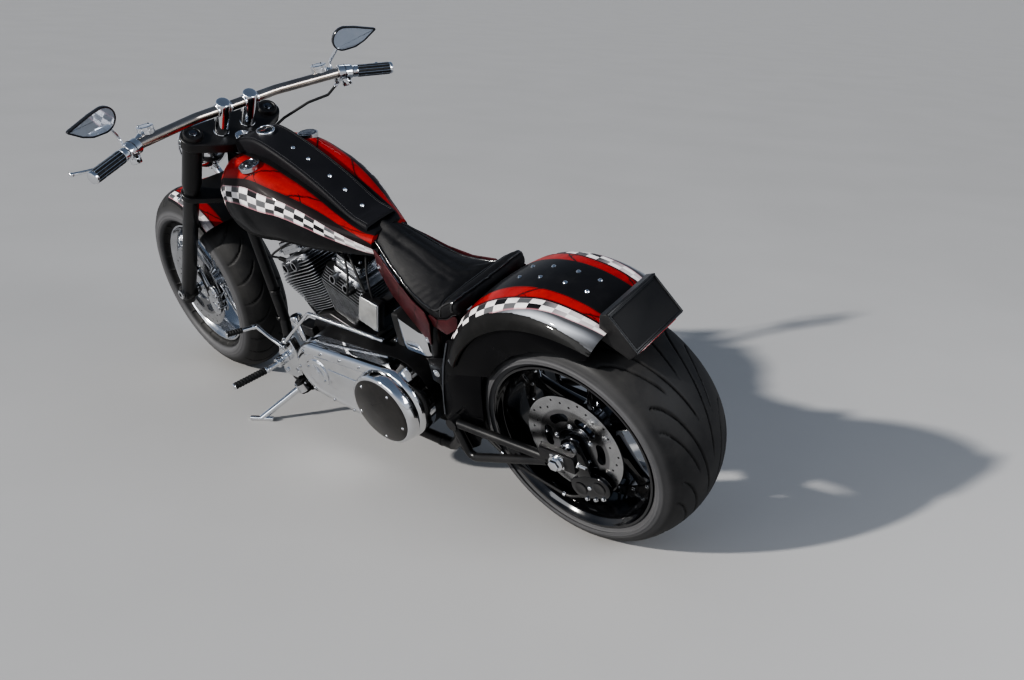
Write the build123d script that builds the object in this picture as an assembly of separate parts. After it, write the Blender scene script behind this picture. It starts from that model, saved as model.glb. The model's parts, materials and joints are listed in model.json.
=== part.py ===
from build123d import *
import os
from math import sin, cos, radians, degrees, sqrt

os.makedirs("parts", exist_ok=True)

# A stretched-tank chopper with a wide rear tyre, standing on its side stand.
# Everything is first built upright: x forward from the rear axle, y to the
# rider's left, z up from the ground, in mm.  The fork group is built with the
# bars straight and then turned about the steering axis; at the end the whole
# machine is laid over to the left onto its stand and centred over the origin.

# ------------------------------------------------------------ main dimensions
LEAN = 18.2            # lean to the left on the stand, degrees
STEER = -7.0           # bars turned a little to the right as parked
WHEELBASE = 1648.0
RAKE = 31.7            # steering axis from vertical
TRAIL = 132.0

REAR_R = 327.0
FRONT_AXLE_Z = 334.0
# tyre section as (y, r): crown edge, shoulder, widest, bead, well radius
REAR_TYRE = dict(r=327.0, crown=(100, 306.5), shoulder=(127, 290), wide=(140, 257.5), bead=(129, 245), well=236)
FRONT_TYRE = dict(r=338.0, crown=(62.9, 311.9), shoulder=(82.2, 283.1), wide=(89, 249), bead=(60, 221), well=212)
DISC_R, DISC_T = 146.0, 5.0
REAR_DISC_Y, FRONT_DISC_Y = 107.0, 79.5      # inner faces
AXLE_R, AXLE_BORE_R, AXLE_HOLLOW_R = 12.5, 12.56, 7.0

LEG_Y, LEG_R_TOP, LEG_R_LOW = 127.0, 29.0, 24.0
LEG_S0, LEG_S_JOINT, LEG_S1 = 311.0, 900.0, 1112.0     # stations up the steering axis
LOWER_TREE_S, UPPER_TREE_S, TREE_T, LOWER_TREE_T = 840.0, 1066.0, 34.0, 22.0
NECK_S0, NECK_S1, NECK_R, STEM_R = 865.0, 1063.0, 27.0, 13.0
BAR_R, GRIP_R = 15.0, 18.5
BAR = [(1190, 0, 1036), (1190, 135, 1036), (1152, 330, 1034), (1097, 489, 1010)]
RISER_Y, RISER_R, RISER_S1 = 44.5, 21.0, 1206.0

TUBE_R = 17.0
RAIL_Y, RAIL_Z = 105.0, 128.0

CRANK = (936.0, 302.0)        # where the cylinders' axes cross, x z
PRIMARY_FRONT = (909.0, 296.0, 96.0)   # front end of the primary case, x z radius
CLUTCH = (600.0, 290.0)       # clutch centre, x z
CYL_TILT = 22.5               # half the V angle
CASE_Y = 75.0
PRIMARY_Y1 = 196.0
DERBY_R, DERBY_Y1 = 106.0, 243.0
PULLEY_R, PULLEY_Y0, PULLEY_Y1 = 112.0, -178.0, -150.0
GEAR_PULLEY = (520.0, 292.0, 46.0)   # x z radius
ARM_L, ARM_R = 170.0, -205.0         # swingarm leg centre planes

FENDER_C = (41.0, 386.0)             # centre of the crown's curve, x z
FENDER_R, FENDER_EDGE_R, FENDER_HW, FENDER_T = 365.5, 366.0, 161.0, 5.0   # edge radius is about the axle
FENDER_SHOULDER, FENDER_TURN, FENDER_SIDE_R = (110.0, 355.0), (146.0, 338.0), 300.0
FENDER_A0, FENDER_A1 = 27.0, 110.0   # angles about the rear axle, degrees
FFENDER_R, FFENDER_HW, FFENDER_A0, FFENDER_A1 = 360.0, 99.0, 92.0, 127.0

STAND_PIVOT = (1095.0, 150.0, 150.0)
STAND_AXIS = (0.15, 0.153, 0.976)
STAND_FOOT_DIR = (0.40, 0.843, -0.355)
STAND_FOLD = 104.0

# ------------------------------------------------------------------- helpers
RS, RC = sin(radians(RAKE)), cos(radians(RAKE))
HEAD_FOOT = Vector(WHEELBASE + TRAIL, 0, 0)
HEAD_DIR = Vector(-RS, 0, RC)
LEG_FWD = -TRAIL * RC + FRONT_AXLE_Z * RS        # fork offset
AXLE_S = TRAIL * RS + FRONT_AXLE_Z * RC


def on_head(s, fwd=0.0, y=0.0):
    """Point s mm up the steering axis, fwd mm in front of it."""
    return HEAD_FOOT + HEAD_DIR * s + Vector(RC, 0, RS) * fwd + Vector(0, y, 0)


def head_plane(s):
    return Plane(origin=on_head(s), x_dir=(RC, 0, RS), z_dir=HEAD_DIR)


def cyl(a, b, r, r2=None):
    a, b = Vector(*a), Vector(*b)
    d = b - a
    pl = Plane(origin=a, z_dir=d)
    if r2 is None:
        return extrude(pl * Circle(r), amount=d.length)
    return Solid.make_cone(r, r2, d.length, plane=pl)


def tube(pts, r, bend=40.0):
    pts = [Vector(*p) for p in pts]
    path = Line(pts[0], pts[1]) if len(pts) == 2 else FilletPolyline(*pts, radius=bend)
    return sweep(Plane(origin=path @ 0, z_dir=path % 0) * Circle(r), path=path)


def box(x0, x1, y0, y1, z0, z1):
    return Pos((x0 + x1) / 2, (y0 + y1) / 2, (z0 + z1) / 2) * Box(x1 - x0, y1 - y0, z1 - z0)


def slab(outline, y0, y1):
    """Outline of (x, z) corners, drawn out from y0 to y1."""
    f = make_face(Polyline(*[(x, y0, z) for x, z in outline], close=True))
    return extrude(f, amount=y1 - y0, dir=(0, 1, 0))


def lathe(profile, cx=0.0, cz=0.0):
    """Closed (y, r) profile turned about a cross-wise axis through cx, cz."""
    f = make_face(Polyline(*[(r, y, 0) for y, r in profile], close=True))
    return Pos(cx, 0, cz) * revolve(f, axis=Axis.Y)


def ring(y0, y1, r_in, r_out, cx=0.0, cz=0.0):
    return lathe([(y0, r_in), (y0, r_out), (y1, r_out), (y1, r_in)], cx, cz)


def drum(y0, y1, r, cx=0.0, cz=0.0):
    return cyl((cx, y0, cz), (cx, y1, cz), r)


def hull_of(circles):
    return make_hull([e for c in circles for e in c.edges()])


def hull_slab(circles, y0, y1):
    """Outline round several (x, z, r) circles, drawn out from y0 to y1."""
    pl = Plane(origin=(0, y0, 0), x_dir=(1, 0, 0), z_dir=(0, -1, 0))
    sk = hull_of([Pos(x, z) * Circle(r) for x, z, r in circles])
    return extrude(pl * sk, amount=y1 - y0, dir=(0, 1, 0))


def arc_pt(cx, cz, r, a):
    return (cx + r * cos(radians(a)), cz + r * sin(radians(a)))


def join(parts):
    return parts[0] + parts[1:] if len(parts) > 1 else parts[0]


def both(p):
    """A piece and its mirror image across the centre plane, as one list."""
    return [p, mirror(p, about=Plane.XZ)]


def tyre(r, crown, shoulder, wide, bead, well, cz):
    (cy, cr), (sy, sr), (wy, wr), (by, br) = crown, shoulder, wide, bead
    e = [ThreePointArc((cr, -cy, 0), (r, 0, 0), (cr, cy, 0)),
         ThreePointArc((cr, cy, 0), (sr, sy, 0), (wr, wy, 0)),
         Line((wr, wy, 0), (br, by, 0)),
         Line((br, by, 0), (well, by - 9, 0)),
         Line((well, by - 9, 0), (well, -by + 9, 0)),
         Line((well, -by + 9, 0), (br, -by, 0)),
         Line((br, -by, 0), (wr, -wy, 0)),
         ThreePointArc((wr, -wy, 0), (sr, -sy, 0), (cr, -cy, 0))]
    return Pos(0, 0, cz) * revolve(make_face(e), axis=Axis.Y)


def loft_sections(rows, wire):
    return loft([wire(*row) for row in rows], ruled=True)


NODES = {}
FORK, FRONT, REAR, STAND = set(), set(), set(), set()


def add(name, shape, *groups):
    NODES[name] = shape
    for g in groups:
        g.add(name)


# =================================================================== chassis
# ---- frame: each row is a run of tube (points, radius, bend)
FRAME_RUNS = [
    ([(1228, 0, 866), (1110, 0, 822), (690, 0, 704), (470, 0, 586), (430, 0, 530), (430, 0, 128)], 17, 30),
]
SIDE_RUNS = [
    ([(1292, 14, 782), (1232, 56, 640), (1214, 60, 320), (1180, RAIL_Y, 138), (1090, RAIL_Y, RAIL_Z),
      (470, RAIL_Y, RAIL_Z), (412, 122, 190), (412, 130, 470), (412, 122, 580), (434, 4, 560)], 17, 24),
]
CROSS = [(1176, 138), (430, 128), (424, 250)]           # cross tubes at x, z
frame_parts = []
for pts, r, bend in FRAME_RUNS:
    frame_parts.append(tube(pts, r, bend))
for pts, r, bend in SIDE_RUNS:
    frame_parts += both(tube(pts, r, bend))
for i, (x, z) in enumerate(CROSS):
    hw = RAIL_Y if i < 2 else 122
    frame_parts.append(cyl((x, -hw, z), (x, hw, z), 13))
frame_parts.append(extrude(head_plane(NECK_S0) * Circle(NECK_R), amount=NECK_S1 - NECK_S0))
for sgn in (1, -1):                                      # swingarm pivot lugs
    frame_parts.append(box(338, 412, min(sgn * 116, sgn * 134), max(sgn * 116, sgn * 134), 272, 330))
main_frame = join(frame_parts)
main_frame -= extrude(head_plane(NECK_S0 - 5) * Circle(STEM_R + 0.08), amount=NECK_S1 - NECK_S0 + 10)
main_frame -= drum(-230, 230, 18.1, 365, 300)
add("main_frame", main_frame)

# ---- rear swingarm: pivot tube and two braced legs with axle plates
arm_parts = [drum(-222, 186, 18, 365, 300)]
for y, ya in ((ARM_L, 152), (ARM_R, -205)):
    arm_parts += [tube([(365, y, 300), (40, y, 312)], 13),
                  tube([(365, y, 288), (330, y, 190), (45, y, 300)], 12, 26),
                  box(-46, 58, y - 8, y + 8, 300, 354)]
swingarm = join(arm_parts) - drum(-240, 240, AXLE_R + 0.1, 0, REAR_R)
add("swingarm", swingarm)

rear_axle = join([ring(-233, 198, AXLE_HOLLOW_R, AXLE_R, 0, REAR_R),
                  ring(114, 161.9, AXLE_R - 1, 20, 0, REAR_R),
                  ring(-196.9, -180.5, AXLE_R - 1, 20, 0, REAR_R),
                  ring(178.1, 193, AXLE_R - 1, 21, 0, REAR_R),
                  ring(-229, -213.1, AXLE_R - 1, 21, 0, REAR_R)])
add("rear_axle", rear_axle)

cal = hull_slab([(arc_pt(0, REAR_R, 124, a) + (34,)) for a in (232, 262)], 90, 134)
cal -= ring(REAR_DISC_Y - 5.2, REAR_DISC_Y + DISC_T + 5.2, 60, DISC_R + 6, 0, REAR_R)
cal += hull_slab([(0, REAR_R, 30), arc_pt(0, REAR_R, 118, 247) + (20,)], 118.5, 132)
cal -= drum(110, 140, 20.1, 0, REAR_R)
add("rear_caliper", cal)

# ---- belt drive: one fixed loop round both pulleys
bx, bz, br = GEAR_PULLEY
belt = hull_slab([(0, REAR_R, PULLEY_R + 6), (bx, bz, br + 6)], PULLEY_Y0 + 1, PULLEY_Y1 - 1)
belt -= hull_slab([(0, REAR_R, PULLEY_R + 0.6), (bx, bz, br + 0.2)], PULLEY_Y0 - 2, PULLEY_Y1 + 2)
add("drive_belt", belt)

# ---- fuel tank: rows of x, top half width and height, widest half width and
#      height, bottom half width and height
TANK = [
    (1262, 24, 836, 60, 792, 36, 748),
    (1205, 66, 874, 128, 796, 95, 694),
    (1130, 95, 920, 160, 800, 122, 686),
    (1042, 104, 918, 172, 800, 132, 694),
    (930, 98, 882, 168, 795, 130, 704),
    (820, 78, 836, 145, 780, 118, 702),
    (720, 50, 783, 102, 750, 88, 695),
    (650, 25, 754, 70, 728, 62, 690),
]


def tank_wire(x, t, zt, w, zs, b, zb):
    um, uz = t + (w - t) * 0.72, zs + (zt - zs) * 0.70
    lm, lz = b + (w - b) * 0.78, zb + (zs - zb) * 0.42
    e = [Line((x, -t, zt), (x, t, zt)),
         ThreePointArc((x, t, zt), (x, um, uz), (x, w, zs)),
         ThreePointArc((x, w, zs), (x, lm, lz), (x, b, zb)),
         Line((x, b, zb), (x, -b, zb)),
         ThreePointArc((x, -b, zb), (x, -lm, lz), (x, -w, zs)),
         ThreePointArc((x, -w, zs), (x, -um, uz), (x, -t, zt))]
    return make_face(e)


CONSOLE_TOP = [(1160, 955), (1078, 966), (973, 933), (842, 869), (735, 798), (696, 782)]
CONSOLE_T, CONSOLE_HW = 46.0, 55.0
console = slab(CONSOLE_TOP + [(x, z - CONSOLE_T) for x, z in reversed(CONSOLE_TOP)], -CONSOLE_HW, CONSOLE_HW)
GAUGE = (1080.0, 966.0, 27.0)
gauge = cyl((GAUGE[0] + 2, 0, GAUGE[1] - 14), (GAUGE[0] - 1, 0, GAUGE[1] + 9), GAUGE[2])
tank = loft_sections(TANK, tank_wire)
tunnel = slab([(1300, 700), (1300, 905), (1228, 889), (1112, 843), (692, 725), (600, 676), (600, 600), (1300, 600)], -30, 30)
tank -= tunnel
tank -= slab([(1300, 600), (1300, 905), (1196, 885), (1196, 600)], -46, 46)
tank -= slab([(1300, 1000), (1160, 1000), (1160, 903), (1200, 875), (1300, 864)], -66, 66)
tank -= extrude(head_plane(NECK_S0 - 40) * Circle(NECK_R + 6), amount=NECK_S1 - NECK_S0 + 80)
tank = tank - console - main_frame
console = console - gauge
CAP = (1042.0, 110.0, 921.0, 27.0)
caps = [cyl((CAP[0], s * (CAP[1] + 2), CAP[2] - 22), (CAP[0], s * (CAP[1] + 5), CAP[2] + 5), CAP[3]) for s in (1, -1)]
tank = tank - caps[0] - caps[1]
add("tank_console", console)
add("speedometer", gauge)
add("fuel_caps", Compound(caps))

# ---- seat: rows of x, half width, edge height, middle height, bottom height
SEAT = [
    (690, 42, 764, 782, 745),
    (645, 62, 737, 762, 716),
    (595, 82, 703, 738, 676),
    (540, 100, 670, 711, 643),
    (473, 121, 643, 680, 612),
    (407, 139, 636, 660, 603),
    (372, 146, 648, 654, 606),
    (335, 148, 674, 668, 622),
    (305, 146, 688, 682, 646),
    (292, 140, 682, 680, 660),
]


def seat_wire(x, w, ze, zm, zb):
    h = (ze - zb) * 0.5
    e = [ThreePointArc((x, -w + 12, ze), (x, 0, zm), (x, w - 12, ze)),
         ThreePointArc((x, w - 12, ze), (x, w, zb + h), (x, w - 14, zb)),
         Line((x, w - 14, zb), (x, -w + 14, zb)),
         ThreePointArc((x, -w + 14, zb), (x, -w, zb + h), (x, -w + 12, ze))]
    return make_face(e)


seat = loft_sections(SEAT, seat_wire) - main_frame
add("seat", seat)

# ---- painted side panels under the seat, from the tank to the fender
SKIRT = [(649, 722), (649, 655), (591, 593), (516, 563), (442, 537), (410, 520), (392, 600), (407, 628), (473, 636),
         (540, 662), (595, 694)]
SKIRT_Y, SKIRT_SLOPE = 48.0, 0.325
skirts, skirt_room = [], []
for s in (1, -1):
    f = make_face(Polyline(*[(x, s * (SKIRT_Y + (700 - x) * SKIRT_SLOPE), z) for x, z in SKIRT], close=True))
    n = Vector(SKIRT_SLOPE, s, 0).normalized()
    skirts.append(extrude(f, amount=4, dir=(n.X, n.Y, 0)) - seat - main_frame)
    room = f.translate((-n.X * 3, -n.Y * 3, 0))
    skirt_room += [extrude(room.translate((0, 0, dz)), amount=120, dir=(n.X, n.Y, 0)) for dz in (0, -6)]
add("seat_skirt", Compound(skirts))
tank = tank - seat - skirts[0] - skirts[1]
tank = max(tank.solids(), key=lambda piece: piece.volume)
add("fuel_tank", tank)

# ---- rear fender: top band with turned-down sides
def fender_edges(t):
    """Outer face of the section, set in by t, as arcs in (radius, y)."""
    (sy, sr), (ty, tr) = FENDER_SHOULDER, FENDER_TURN
    w = FENDER_HW - t
    sh, tn = (sr - t, sy - t * 0.2), (tr - t * 0.7, ty - t * 0.7)
    return [ThreePointArc((FENDER_SIDE_R, -w, 0), (tn[0], -tn[1], 0), (sh[0], -sh[1], 0)),
            ThreePointArc((sh[0], -sh[1], 0), (FENDER_R - t, 0, 0), (sh[0], sh[1], 0)),
            ThreePointArc((sh[0], sh[1], 0), (tn[0], tn[1], 0), (FENDER_SIDE_R, w, 0))]


def fender_body(t, r_low):
    w = FENDER_HW - t
    e = fender_edges(t) + [Line((FENDER_SIDE_R, w, 0), (r_low, w, 0)), Line((r_low, w, 0), (r_low, -w, 0)),
                           Line((r_low, -w, 0), (FENDER_SIDE_R, -w, 0))]
    return Pos(FENDER_C[0], 0, FENDER_C[1]) * revolve(make_face(e), axis=Axis.Y)


wedge = slab([(0, REAR_R), arc_pt(0, REAR_R, 700, FENDER_A0), arc_pt(0, REAR_R, 700, 68), arc_pt(0, REAR_R, 700, FENDER_A1)], -200, 200)
fender_fill = fender_body(0, 200) & wedge
fender = fender_fill - fender_body(FENDER_T, 190) - drum(-200, 200, FENDER_EDGE_R, 0, REAR_R)
add("rear_fender", fender)

stay = slab([arc_pt(0, REAR_R, 392, 28), arc_pt(0, REAR_R, 392, 55), arc_pt(0, REAR_R, 380, 90), arc_pt(0, REAR_R, 366, 90),
             arc_pt(0, REAR_R, 362, 60), (330, 460), (395, 400), (430, 410), (430, 480)], 147.6, 155) - fender
stay = max(stay.solids(), key=lambda piece: piece.volume)
add("fender_struts", Compound(both(stay)))

# ---- tail box and plate holder across the fender's rear edge
TAIL = [(-139, 749), (-213, 663), (-191, 640), (-108, 676), (-121, 742)]
tail = slab(TAIL, -96, 96)
tail -= fender_fill
add("tail_box", tail)

# ---- engine
ux, uz = sin(radians(CYL_TILT)), cos(radians(CYL_TILT))


def up_cyl(side, s, off=0.0):
    """Point s mm up a cylinder (side +1 front, -1 rear), off mm forward of it."""
    return (CRANK[0] + side * ux * s + uz * off, CRANK[1] + uz * s - side * ux * off)


def cyl_block(side, s0, s1, half, y0, y1):
    return slab([up_cyl(side, s0, -half), up_cyl(side, s0, half), up_cyl(side, s1, half), up_cyl(side, s1, -half)], y0, y1)


def barrel(side, s0, s1, r):
    a, b = up_cyl(side, s0), up_cyl(side, s1)
    return cyl((a[0], 0, a[1]), (b[0], 0, b[1]), r)


FINS = [(132, 62, 60), (156, 70, 66), (180, 78, 72), (204, 86, 78), (228, 94, 82)]     # station, half length, half width
HEAD_S0, HEAD_S1, ROCKER_S1 = 250.0, 335.0, 385.0
cyls = {}
for name, side in (("front_cylinder", 1), ("rear_cylinder", -1)):
    c = barrel(side, 110, HEAD_S0, 57) + cyl_block(side, HEAD_S0, HEAD_S1, 90, -80, 80)
    for fs, fl, fw in FINS:
        c += cyl_block(side, fs, fs + 7, fl, -fw, fw)
    keep = box(CRANK[0] + 0.2, 1400, -90, 90, 0, 900) if side > 0 else box(0, CRANK[0] - 0.2, -90, 90, 0, 900)
    cyls[name] = c & keep
crankcase = drum(-CASE_Y, CASE_Y, 116, *CRANK) + slab(
    [(1040, 205), (1054, 330), (1010, 404), (936, 432), (840, 404), (768, 346), (768, 200), (830, 172), (1005, 172)], -CASE_Y, CASE_Y)
for c in cyls.values():
    crankcase -= c
crankcase += drum(-104, -CASE_Y + 1, 82, 938, 316)
crankcase = crankcase + cyl((1080, 90, 302), (1098, 90, 388), 19) + box(1020, 1086, 50, 96, 322, 362)
add("crankcase", crankcase)
for name, c in cyls.items():
    add(name, c)
add("rocker_covers", Compound([cyl_block(s, HEAD_S1, ROCKER_S1, 52, -58, 58) for s in (1, -1)]))

gearbox = slab([(768, 196), (768, 330), (700, 394), (500, 394), (464, 330), (472, 186), (520, 172), (740, 172)], -CASE_Y, CASE_Y)
gearbox = gearbox + [drum(PULLEY_Y0 - 2, -CASE_Y + 1, 20, bx, bz), drum(PULLEY_Y0 + 1, PULLEY_Y1 - 1, br, bx, bz)]
add("gearbox", gearbox)
primary = hull_slab([PRIMARY_FRONT, (CLUTCH[0], CLUTCH[1], 122)], CASE_Y, PRIMARY_Y1)
add("primary_cover", primary)
cx, cz = CLUTCH
add("clutch_cover", lathe([(PRIMARY_Y1, 0), (PRIMARY_Y1, 117), (226, 110), (DERBY_Y1, DERBY_R - 10), (DERBY_Y1, 0)], cx, cz))
add("air_cleaner", drum(-184, -126, 86, 936, 512) + drum(-127, -83, 24, 936, 516) - cyls["front_cylinder"] - cyls["rear_cylinder"])
oil_tank = slab([(453, 446), (453, 560), (474, 584), (556, 596), (590, 560), (590, 446)], -132, 132)
oil_tank -= box(440, 546, -24, 24, 430, 620)
for room in skirt_room:
    oil_tank -= room
add("oil_tank", oil_tank)
add("coil_box", slab([(664, 470), (631, 567), (702, 583), (735, 494)], 88, 120) + box(648, 698, 6, 89, 505, 550))

# ---- exhaust: two pipes down the right side
PIPES = [
    [(1095, -40, 534), (1152, -60, 498), (1122, -124, 424), (1000, -200, 312), (890, -218, 222), (440, -262, 212), (-60, -264, 212)],
    [(776, -40, 532), (716, -62, 492), (676, -124, 424), (630, -205, 330), (540, -240, 286), (430, -262, 278), (-60, -264, 278)],
]
pipes = join([tube(PIPES[0], 21, 38), tube(PIPES[1], 21, 30), box(120, 150, -266, -258, 205, 285), box(470, 490, -255, -246, 212, 285)])
for c in cyls.values():
    pipes -= c
add("exhaust_pipes", pipes)

# ---- forward foot controls: left shifter, right brake
def foot_side(s):
    blk = slab([(1168, 176), (1168, 262), (1120, 330), (1084, 334), (1070, 300), (1076, 196), (1110, 176)], 122.1, 148)
    parts = [blk, cyl((1133, 147, 252), (1134, 186, 250), 17), cyl((1134, 184, 250), (1142, 216, 246), 9),
             cyl((1142, 215, 246), (1181, 330, 239), 11.5),
             cyl((1094, 147, 318), (1094, 176, 318), 13), cyl((1094, 168, 318), (1169, 190, 386), 8),
             cyl((1168, 187, 385), (1201, 280, 400), 9)]
    return join(parts)


add("left_foot_control", foot_side(1) + tube([(1092, 158, 330), (985, 114, 441), (664, 108, 436)], 6.5, 18))
right = join([mirror(slab([(1168, 176), (1168, 262), (1120, 330), (1084, 334), (1070, 300), (1076, 196), (1110, 176)], 122.1, 148), about=Plane.XZ),
              cyl((1133, -147, 252), (1134, -186, 250), 17), cyl((1134, -184, 250), (1142, -250, 246), 9),
              cyl((1142, -248, 246), (1181, -350, 239), 11.5),
              cyl((1094, -147, 318), (1094, -176, 318), 13), cyl((1094, -168, 318), (1185, -236, 378), 8),
              box(1172, 1206, -300, -232, 368, 384)])
add("right_foot_control", right)

# ====================================================================== fork
legs = []
for s in (1, -1):
    legs.append(extrude(Plane(origin=on_head(LEG_S0, LEG_FWD, s * LEG_Y), z_dir=HEAD_DIR) * Circle(LEG_R_LOW), amount=LEG_S_JOINT - LEG_S0)
                + extrude(Plane(origin=on_head(LEG_S_JOINT, LEG_FWD, s * LEG_Y), z_dir=HEAD_DIR) * Circle(LEG_R_TOP), amount=LEG_S1 - LEG_S_JOINT))
axle_hole = drum(-200, 200, AXLE_R + 0.05, WHEELBASE, FRONT_AXLE_Z)
add("fork_legs", Compound([l - axle_hole for l in legs]), FORK)


def tree(s0, mid, wrap, thick):
    sk = hull_of([Circle(mid), Pos(LEG_FWD, LEG_Y) * Circle(wrap), Pos(LEG_FWD, -LEG_Y) * Circle(wrap)])
    t = extrude(head_plane(s0) * sk, amount=thick)
    for l in legs:
        t -= l
    return t


upper = tree(UPPER_TREE_S, 34, 37, TREE_T)
lower = tree(LOWER_TREE_S, 29, 31, LOWER_TREE_T) + extrude(head_plane(LOWER_TREE_S) * Circle(STEM_R), amount=UPPER_TREE_S - LOWER_TREE_S)
add("upper_triple_tree", upper, FORK)
add("lower_triple_tree", lower, FORK)

bar_pts = BAR[::-1] + [(x, -y, z) for x, y, z in BAR[1:]]
bar_pts = [p for p in bar_pts if p[1] != 0]
bar = tube(bar_pts, BAR_R, 110)
add("handlebar", bar, FORK)
risers = []
for s in (1, -1):
    r = extrude(Plane(origin=on_head(UPPER_TREE_S + TREE_T, 44, s * RISER_Y), z_dir=HEAD_DIR) * Circle(RISER_R), amount=RISER_S1 - UPPER_TREE_S - TREE_T)
    r += Solid.make_cone(RISER_R, 12, 11, plane=Plane(origin=on_head(RISER_S1, 44, s * RISER_Y), z_dir=HEAD_DIR))
    risers.append(r - cyl((1190, -90, 1036), (1190, 90, 1036), BAR_R))
add("handlebar_risers", Compound(risers), FORK)


def along_bar(t, s=1):
    """Point t mm in from the bar's end, on side s."""
    a, b = Vector(*BAR[3]), Vector(*BAR[2])
    p = a + (b - a).normalized() * t
    return Vector(p.X, s * p.Y, p.Z)


grips, left_c, right_c = [], None, None
for s in (1, -1):
    g = cyl(along_bar(-7, s), along_bar(122, s), GRIP_R) - cyl(along_bar(0, s), along_bar(130, s), BAR_R)
    grips.append(g)
add("grips", Compound(grips), FORK)


def hand_control(s):
    a, b = along_bar(123, s), along_bar(168, s)
    m = (a + b) * 0.5
    parts = [cyl(a, b, 23), cyl((m.X - 6, m.Y, m.Z - 40), (m.X, m.Y, m.Z - 10), 16),
             cyl((m.X + 14, m.Y, m.Z - 2), (1190, s * 352, 1002), 11),
             cyl((1190, s * 352, 1002), (1182, s * 430, 998), 7), cyl((1182, s * 428, 998), (1194, s * 508, 1004), 6),
             cyl(along_bar(168, s) + Vector(12, 0, -10), along_bar(205, s) + Vector(14, 0, -4), 12),
             cyl((1176, s * 287, 1036), (1178, s * 287, 1068), 24),
             cyl(along_bar(160, s) + Vector(10, 0, 0), (1178, s * 296, 1050), 10)]
    return join(parts) - bar


add("left_hand_control", hand_control(1), FORK)
add("right_hand_control", hand_control(-1), FORK)

# teardrop mirrors: rows of y, x, z, half height
mirrors = []
for s in (1, -1):
    pl = Plane(origin=(1176, s * 392, 1121), x_dir=(0, s, 0), z_dir=(1, 0, 0.28))
    sk = hull_of([Circle(37), Pos(84, 2) * Circle(10), Pos(110, 4) * Circle(3)])
    head = extrude(pl * sk, amount=9, both=True)
    stalk = tube([(1196, s * 348, 1004), (1216, s * 350, 1050), (1190, s * 378, 1096)], 5, 12)
    mirrors.append(head + stalk - hand_control(s))
add("mirrors", Compound(mirrors), FORK)

# headlight bowl on a bracket from the lower tree
hl = on_head(905, 178)
bowl = revolve(Plane(origin=(hl.X, 0, hl.Z), x_dir=(0, 0, 1), z_dir=(0, 1, 0)) * make_face(Polyline(
    (0, -58), (30, -54), (58, -34), (72, -4), (74, 40), (0, 40), close=True)), axis=Axis((hl.X, 0, hl.Z), (1, 0, 0)))
lens = cyl((hl.X + 40, 0, hl.Z), (hl.X + 52, 0, hl.Z), 70)
stem = cyl(on_head(848, 88), (hl.X, 0, hl.Z - 60), 12)
add("headlight_bowl", bowl + (stem - lower), FORK)
add("headlight_lens", lens, FORK)

# front fender over the rear half of the wheel, carried by the legs
ff = lathe([(-FFENDER_HW, 338), (-FFENDER_HW, 350), (-70, FFENDER_R), (70, FFENDER_R), (FFENDER_HW, 350), (FFENDER_HW, 338),
            (FFENDER_HW - 3, 338), (FFENDER_HW - 3, 348), (69, FFENDER_R - 4), (-69, FFENDER_R - 4), (-FFENDER_HW + 3, 348),
            (-FFENDER_HW + 3, 338)], WHEELBASE, FRONT_AXLE_Z)
ff = ff & slab([(WHEELBASE, FRONT_AXLE_Z)] + [arc_pt(WHEELBASE, FRONT_AXLE_Z, 700, a) for a in (FFENDER_A0, 110, FFENDER_A1)], -200, 200)
for s in (1, -1):
    p = on_head(AXLE_S + 345, LEG_FWD, s * 98)
    ff += cyl((p.X, s * 97.5, p.Z), (p.X, s * 104, p.Z), 14)
for l in legs:
    ff -= l
add("front_fender", ff, FORK)

front_axle = join([ring(-160, 160, AXLE_HOLLOW_R, AXLE_R, WHEELBASE, FRONT_AXLE_Z),
                   ring(88, 103.2, AXLE_R - 1, 18, WHEELBASE, FRONT_AXLE_Z),
                   ring(-103.2, -90, AXLE_R - 1, 18, WHEELBASE, FRONT_AXLE_Z)])
for l in legs:
    front_axle -= (l & ring(-200, 200, AXLE_R, 60, WHEELBASE, FRONT_AXLE_Z))
add("front_axle", front_axle, FORK)

fa = (WHEELBASE, FRONT_AXLE_Z)
fcal = hull_slab([arc_pt(*fa, 126, a) + (30,) for a in (172, 196)], 66, 104)
fcal -= ring(FRONT_DISC_Y - 5.2, FRONT_DISC_Y + DISC_T + 5.2, 60, DISC_R + 6, *fa)
fcal += hull_slab([arc_pt(*fa, 118, 176) + (14,), arc_pt(*fa, 118, 128) + (14,)], 94, 103)
for l in legs:
    fcal -= l
add("front_caliper", fcal, FORK)

HOSE = [(1190, -352, 992), (1198, -312, 964), (1208, -244, 960), (1247, -172, 928), (1253, -108, 899), (1284, -66, 868),
        (1330, -60, 830), (1366, -62, 786)]
add("brake_hose", tube(HOSE, 4.0, 12) - hand_control(-1), FORK)

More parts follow.
